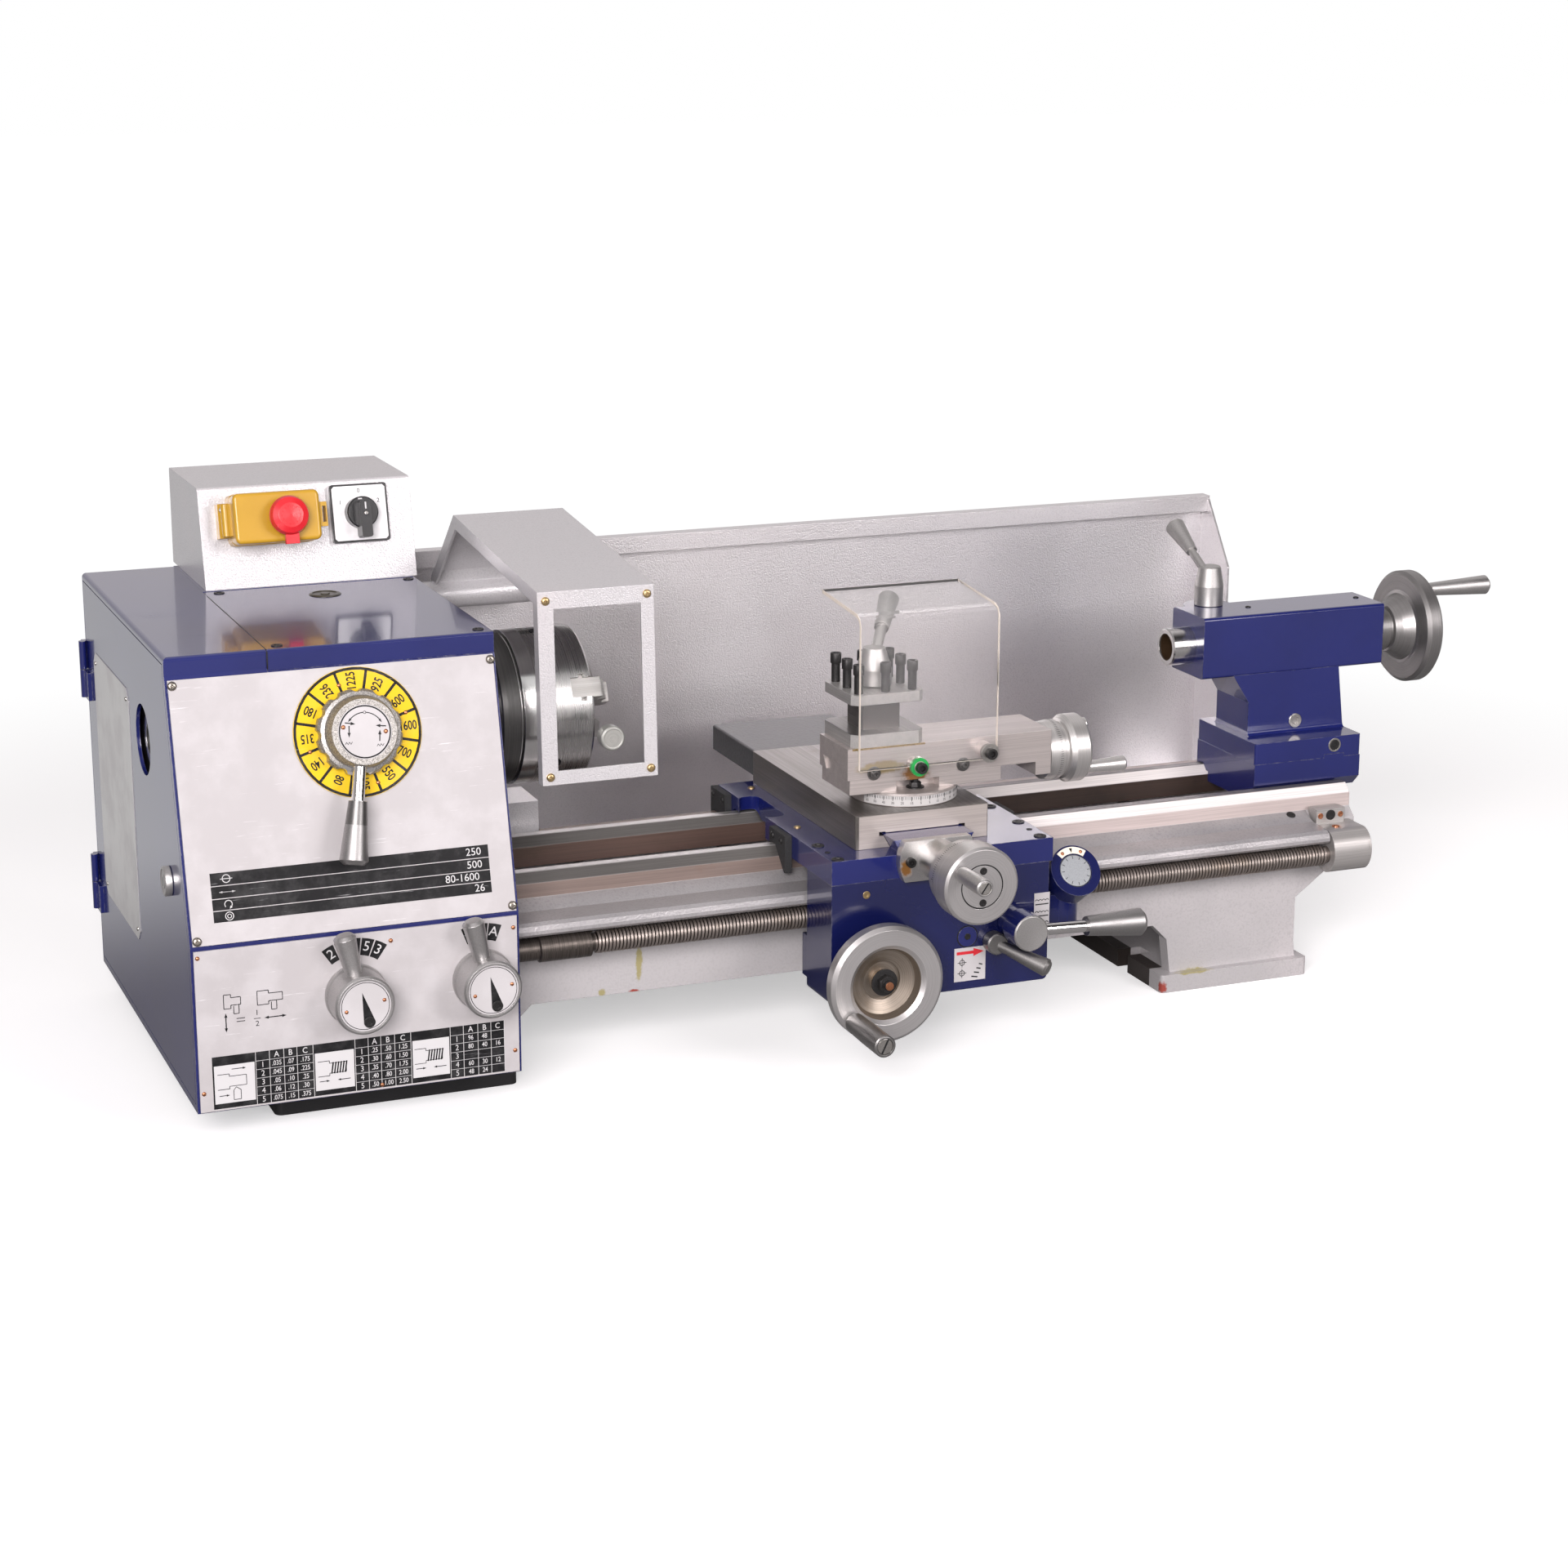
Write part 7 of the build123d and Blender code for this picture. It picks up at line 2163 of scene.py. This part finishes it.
@dataclass
class Dressing:
    """Finishes of the frame's own parts."""

    axis_z: float = 285.0

    def finishes(self) -> dict[str, NamedFinish]:
        """Name and finish for every part of the frame.

        Returns:
            Named finishes by the name of the part.
        """
        z = self.axis_z
        spindle_line = (0.0, 0.0, z)
        satin_x = Turned((0.29, 0.282, 0.278), Way.X, spindle_line, rough=0.33, spread=0.14, tarnish=0.12)
        tail_wheel = Zoned(satin_x, ((BoxZone((893.8, -60, 250), (975, 40, 360)), SATIN),))
        compound_x = Turned((0.62, 0.605, 0.59), Way.X, (0.0, -97.0, 231.5), rough=0.33, spread=0.14,
                            tarnish=0.12)
        cross_y = Turned((0.57, 0.555, 0.55), Way.Y, (339.5, 0.0, 174.5), rough=0.32, spread=0.14,
                         tarnish=0.12)
        wheel_y = Turned((0.62, 0.605, 0.60), Way.Y, (287.0, 0.0, 82.0), rough=0.32, spread=0.14, tarnish=0.1)
        # Dark brown on the carriage wheel's flared hub: tarnish, and painted dark reflection of the flare.
        recess = Turned((0.34, 0.29, 0.24), Way.Y, (287.0, 0.0, 82.0), rough=0.36, spread=0.3, tarnish=0.5)
        bright = Turned((0.70, 0.69, 0.68), Way.X, spindle_line, rough=0.16, spread=0.1, tarnish=0.1,
                        metal=1.0)
        grey = Turned((0.56, 0.545, 0.535), Way.X, spindle_line, rough=0.24, spread=0.14, tarnish=0.12,
                      metal=1.0)
        dark = Turned((0.12, 0.118, 0.115), Way.X, spindle_line, rough=0.32)
        chuck = Zoned(grey, ((BoxZone((10, -70, 200), (33.4, 70, 360)), dark),
                             (BoxZone((33.4, -70, 200), (47, 70, 360)), bright),
                             (BoxZone((91.2, -70, 200), (120, 70, 360)), bright)))
        tan = Ground((0.22, 0.168, 0.147), (0.17, 0.095, 0.06), Way.X, 0.4, 0.4, metal=0.15)
        # The right ways' upright and sloped faces take pale, nearly non-metal tones: painted reflection of the bright
        # room on the ground steel.
        beige_painted_reflection = Ground((0.56, 0.48, 0.46), (0.36, 0.27, 0.18), Way.X, 0.3, 0.4, metal=0.1)
        pale = Ground((0.90, 0.85, 0.83), (0.52, 0.40, 0.22), Way.X, 0.3, 0.4, metal=0.05)
        dark_slope = Ground((0.20, 0.19, 0.18), (0.10, 0.06, 0.035), Way.X, 0.3, 0.34)
        light_top = Ground((0.48, 0.465, 0.455), (0.3, 0.22, 0.15), Way.X, 0.3, 0.3)
        grey_top = Ground((0.17, 0.155, 0.155), (0.12, 0.09, 0.06), Way.X, 0.3, 0.3)
        # Very dark brown for the faces between the ways; gap is the same on the right.
        dark_inner = Ground((0.088, 0.052, 0.041), (0.06, 0.036, 0.025), Way.X, 0.5, 0.5, metal=0.0)
        gap = Ground((0.04, 0.023, 0.017), (0.02, 0.013, 0.010), Way.X, 0.5, 0.5, metal=0.0)
        ways = []
        for x0, x1, upright, slope, top, inner in ((-190, 446, tan, dark_slope, light_top, dark_inner),
                                                   (446, 800, beige_painted_reflection, pale, grey_top, gap)):
            ways += [(BoxZone((x0, -76.5, 146.2), (x1, 76.5, 157.9)), upright),
                     (BoxZone((x0, -60.0, 100.0), (x1, 25.4, 158.4)), inner),
                     (BoxZone((x0, -76.5, 157.9), (x1, 76.5, 165.2)), slope),
                     (BoxZone((x0, -76.5, 165.2), (x1, 76.5, 170)), top)]
        bed = Zoned(BED_GREY, ((BoxZone((5, -121, 126.0), (743, -74.6, 146.2)), LEDGE_GREY), *ways,
                               # Right foot's left side and rear plate: old oil and painted shade.
                               (BoxZone((590, -70, -2), (608.6, 95, 50)), OIL_AND_PAINTED_SHADE),
                               (SpotZone((596.5, -91.0, 5.0), 6.0, ragged=1.8), PRIMER),
                               (SpotZone((628.0, -90.0, 16.0), 9.0, (2.2, 1.0, 0.25), 1.6), DRIED_OIL),
                               (SpotZone((120.0, -84.0, 84.0), 13.0, (0.3, 1.0, 1.4), 1.5), DRIED_OIL),
                               (SpotZone((118.0, -84.0, 100.0), 6.0, (1.3, 1.0, 0.7), 1.5), DRIED_OIL),
                               (SpotZone((88.0, -84.0, 62.0), 4.0, ragged=1.6), DRIED_OIL),
                               (SpotZone((116.0, -84.0, 60.5), 4.0, (1.4, 1.0, 0.5), 1.5), PRIMER),
                               (BoxZone((-200, -110, -2), (14, 110, 17)), BLACK_PAINT)))
        head = Zoned(BLUE, ((BoxZone((0.2, 50, 150), (90, 104, 192)), SILVER),))
        pad = Zoned(SILVER, ((BarZone((-41, 146.54, 423.46), (0, -81, 19), 0.6, 9.0, 40.0), BLACK),))
        out = Vector((0, -0.96935, 0.2457))
        hub = Vector((-113.0, -111.07, 304.0)) + out * 20
        hang = (-0.1736, -0.2420, -0.9546)
        lever = Zoned(CAST_HUB, ((BarZone(tuple(hub), hang, 26.0, 52.2, 14.0), CHROME),
                                 (BarZone(tuple(hub), hang, 52.2, 70.0, 20.0), DARK_GRIP),
                                 (BarZone(tuple(hub), hang, 70.0, 130.0, 20.0), SATIN_GRIP)))
        # Near-black neck between the tool post's plates: painted shade under the top plate.
        middle = Ground((0.13, 0.12, 0.115), (0.10, 0.07, 0.05), Way.Y)
        post = Zoned(Ground((0.58, 0.565, 0.55), (0.38, 0.31, 0.22), Way.Y, 0.3, 0.34),
                     ((BoxZone((280, -130, 266.9), (356, -58, 291.2)), middle),))
        bracket = Zoned(SATIN, ((SpotZone((312.0, -181.0, 170.0), 7.0, (1.0, 1.0, 1.4), 1.4), OLD_OIL),))
        nut_lever = Zoned(SATIN, ((BarZone((410.0, -173.0, 112.0), (0, -1, 0), 0.0, 35.4, 15.4), BLUE),
                                  (BoxZone((424.8, -215, 90), (463.1, -190, 130)), CHROME),
                                  (BoxZone((463.1, -220, 80), (530, -180, 130)), SATIN_GRIP)))
        oily = Ground((0.42, 0.33, 0.18), stain=0.5)
        base = Ground((0.56, 0.51, 0.49), (0.30, 0.19, 0.10), Way.X, 0.4, 0.32, metal=0.65)
        slide = ("compound_iron", Zoned(base, (
            (SpotZone((314.0, -126.0, 239.0), 13.0, (2.0, 1.0, 0.5)), oily),
            (SpotZone((344.0, -126.0, 231.0), 11.0, (1.3, 1.0, 1.2)), OLD_OIL),
            (BoxZone((288.0, -127.0, 254.6), (352.0, -124.6, 256.4)), CHIPS))))
        # The cross slide's iron is painted dark on top and lighter on its front face: painted shade and painted light
        # on one iron.
        end = Ground((0.46, 0.415, 0.39), (0.26, 0.18, 0.11), Way.X, 0.35, 0.34, metal=0.3)
        cross = Zoned(Ground((0.17, 0.157, 0.146), (0.11, 0.072, 0.04), Way.Y, 0.4, 0.3),
                      ((BoxZone((284, -151, 150), (399, -149.5, 206.4)), end),))
        # Near-black brown inside the quill's bore: oil, and painted shade deep in the bore.
        bore = Ground((0.05, 0.03, 0.016), (0.03, 0.016, 0.008), stain=0.6, metal=0.1)
        quill = Zoned(bright, ((BarZone((640.0, 0.0, z), (1, 0, 0), 0.8, 70.0, 12.5), bore),))
        wheel = Zoned(wheel_y, ((BarZone((287.0, -180.0, 82.0), (0, -1, 0), -20.0, 24.5, 29.6), recess),))
        blue = ("blue_enamel", BLUE)
        silver = ("silver_hammer", SILVER)
        iron = ("gear_iron", IRON)
        knob = ("knob_satin", SATIN_DARK)
        satin = ("satin_metal", SATIN)
        return {
            "bed": ("bed_casting", bed), "headstock": ("headstock_paint", head), "headstock_lid": blue,
            "gear_case": blue, "end_door": blue, "door_lock": satin, "upper_panel": PANEL,
            "lower_panel": PANEL, "speed_dial": ("dial_yellow", Ink((0.72, 0.47, 0.01), scuff=0.12)),
            "speed_lever": ("speed_lever", lever), "feed_knob_left": knob, "feed_knob_right": knob,
            "control_box": ("control_box", pad), "switch_base": YELLOW, "switch_lid": YELLOW,
            "stop_mushroom": RED, "start_button": GREEN, "stop_button": RED,
            "rotary_knob": ("black_plastic", BLACK),
            "motor": ("motor_grey", Enamel((0.07, 0.075, 0.08), rough=0.4, coat=0.1)),
            "motor_pulley": ("pulley_satin", SATIN_DARK),
            "drive_belt": ("belt_rubber", Felt((0.012, 0.012, 0.012), 0.6)),
            "spindle": ("spindle_turned", bright), "spindle_pulley": ("spindle_satin", satin_x),
            "spindle_bearings": ("ground_steel", STEEL), "idler_gear": iron, "feed_gear": iron,
            "chuck": ("chuck_turned", chuck), "jaw_1": iron, "jaw_2": iron, "jaw_3": iron, "guard": silver,
            "guard_window": ("clear_pane", Clear((0.88, 0.88, 0.88), ior=1.1)),
            "splash_guard": SPLASH_SILVER, "leadscrew": ("leadscrew_blank", IRON),
            "leadscrew_bracket": BRACKET_STEEL, "saddle": blue, "way_wipers": ("wiper_felt", Felt()),
            "apron": APRON_PAINTED_SHADE, "thread_dial": ("thread_dial_disc", Satin((0.42, 0.44, 0.46), rough=0.45)),
            "carriage_handwheel": ("carriage_wheel", wheel), "carriage_handle": MID_GRIP,
            "half_nut_lever": ("half_nut_lever", nut_lever), "feed_lever": MID_GRIP,
            "cross_slide": ("cross_slide_iron", cross), "cross_cover": COVER_BLACK,
            "cross_bracket": ("bracket_satin", bracket), "cross_handwheel": ("cross_wheel", cross_y),
            "cross_handle": satin, "swivel_base": slide, "top_slide": slide,
            "top_slide_handwheel": ("compound_wheel", compound_x), "tool_post": ("post_iron", post),
            "tool_post_lever": LEVER_SATIN,
            "chip_shield": ("clear_shield", Clear((0.97, 0.955, 0.95), ior=1.04, clear=0.96, coat=0.4)),
            "tailstock_base": blue, "tailstock_body": blue, "quill": ("quill_turned", quill),
            "tailstock_handwheel": ("tail_wheel", tail_wheel), "quill_lock": LEVER_SATIN,
        }

    def build(self) -> None:
        """Give every part of the frame its finish."""
        table = self.finishes()
        for node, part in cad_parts.items():
            part.data.materials.clear()
            part.data.materials.append(material_of(*table[node]))
            log.info("finish %s on %s", table[node][0], node)


@dataclass
class Stage:
    """Plain pale floor, white surroundings, soft studio light and the camera."""

    lens: float = 72.2
    sensor: float = 36.0
    camera_at: Triple = (-677.0, -2366.0, 889.0)
    yaw: float = 22.02
    pitch: float = 15.18
    roll: float = 0.16
    floor_half: float = 12.0
    floor_near: float = 0.9
    floor_far: float = 1.6
    floor_tone: float = 0.8
    floor_glow: float = 0.42
    floor_bounce: float = 0.3
    room: float = 0.26
    mirror_front: float = 0.36
    mirror_right: float = 0.0
    mirror_behind: float = 0.7
    mirror_left: float = 0.42
    floor_mirror: float = 0.45
    lamp_color: Triple = (1.0, 0.95, 0.96)

    def build(self) -> None:
        """Make the floor, the surroundings, the lamps and the camera."""
        bpy.context.scene.view_settings.view_transform = "Standard"
        self.floor()
        self.surroundings()
        self.lamps()
        self.camera()

    def floor(self) -> None:
        """Pale floor that keeps the shadow and is white to the camera everywhere else."""
        half = self.floor_half
        mesh = bpy.data.meshes.new("floor")
        corners = [(-half, -half, 0), (half, -half, 0), (half, half, 0), (-half, half, 0)]
        mesh.from_pydata(corners, [], [(0, 1, 2, 3)])
        material = bpy.data.materials.new("floor_white")
        g = Graph.of(material)
        path = g.node("ShaderNodeLightPath").outputs
        seen = path["Is Camera Ray"]
        x, y, _ = g.parts(g.coords)
        reach = g.math("SQRT", g.plus(g.times(x, x), g.times(y, y)))
        far = g.step(reach, self.floor_near, self.floor_far)
        grey = g.between(seen, self.floor_bounce, g.between(far, self.floor_tone, 0.0))
        matt = g.wired("ShaderNodeBsdfDiffuse", {"Color": g.joined(grey, grey, grey)})
        behind = g.times(g.step(y, 0.2, 0.7), self.floor_mirror)
        mirrored = g.times(path["Is Glossy Ray"], behind)
        direct = g.times(seen, g.between(far, self.floor_glow, 1.02))
        glow = g.wired("ShaderNodeEmission", {"Strength": g.plus(direct, mirrored)})
        g.close(g.wired("ShaderNodeAddShader", {0: matt, 1: glow}), "ShaderNodeOutputMaterial")
        mesh.materials.append(material)
        added("floor", mesh)

    def surroundings(self) -> None:
        """White room behind the lathe, dimmer on the camera's side for reflections."""
        world = bpy.data.worlds.new("white_room")
        bpy.context.scene.world = world
        g = Graph.of(world)
        side, back, up = g.parts(g.node("ShaderNodeTexCoord").outputs["Generated"])
        behind = g.step(g.plus(g.times(back, 0.9), g.times(up, 0.1)), -0.2, 0.5)
        near = g.between(g.step(side, 0.2, 0.46), self.mirror_front, self.mirror_right)
        far = g.between(g.step(side, -0.45, 0.0), self.mirror_left, self.mirror_behind)
        mirrored = g.between(behind, near, far)
        path = g.node("ShaderNodeLightPath").outputs
        clear = g.math("MAXIMUM", path["Is Camera Ray"], path["Is Transmission Ray"])
        light = g.between(path["Is Glossy Ray"], self.room, mirrored)
        color = g.tint(clear, self.lamp_color, (1.0, 1.0, 1.0))
        sky = {"Color": color, "Strength": g.between(clear, light, 1.0)}
        g.close(g.wired("ShaderNodeBackground", sky), "ShaderNodeOutputWorld")

    def lamps(self) -> None:
        """Large soft lamps: front left, front right and overhead."""
        for name, at, aim, size, power in (("left_lamp", (-1.9, -3.1, 1.6), (-0.1, 0, 0.2), 1.8, 175.0),
                                           ("right_lamp", (1.45, -2.95, 1.5), (0.1, 0, 0.2), 1.3, 58.0),
                                           ("top_lamp", (0.0, -0.2, 3.0), (0, 0, 0.2), 2.4, 6.0)):
            lamp = bpy.data.lights.new(name, "AREA")
            lamp.shape = "SQUARE"
            lamp.size = size
            lamp.energy = power
            lamp.color = self.lamp_color
            holder = added(name, lamp)
            holder.location = at
            holder.rotation_euler = (Vector(aim) - Vector(at)).to_track_quat("-Z", "Y").to_euler()

    def camera(self) -> None:
        """Camera at the place and angle of the photograph."""
        data = bpy.data.cameras.new("camera")
        data.lens = self.lens
        data.sensor_width = self.sensor
        data.clip_end = 100.0
        holder = added("camera", data)
        cy, sy = spin(self.yaw)
        cp, sp = spin(-self.pitch)
        ahead = Vector((sy * cp, cy * cp, sp))
        right = Vector((cy, -sy, 0.0))
        up = right.cross(ahead)
        cr, sr = spin(self.roll)
        columns = (right * cr + up * sr, up * cr - right * sr, -ahead)
        turn = Matrix(columns).transposed().to_4x4()
        holder.matrix_world = Matrix.Translation(place(*self.camera_at)) @ turn
        bpy.context.scene.camera = holder


def main() -> None:
    """Dress the frame, add the small pieces and set the stage."""
    logging.basicConfig(level=logging.INFO, format="%(name)s %(message)s")
    Dressing().build()
    for part in (PrintedFront(), HeadCovers(), ChuckDetails(), BedDetails(), CarriageDetails(),
                 CompoundDetails(), TailstockDetails()):
        log.info("building %s", type(part).__name__)
        part.build()
    Stage().build()


if __name__ == "__main__":
    main()
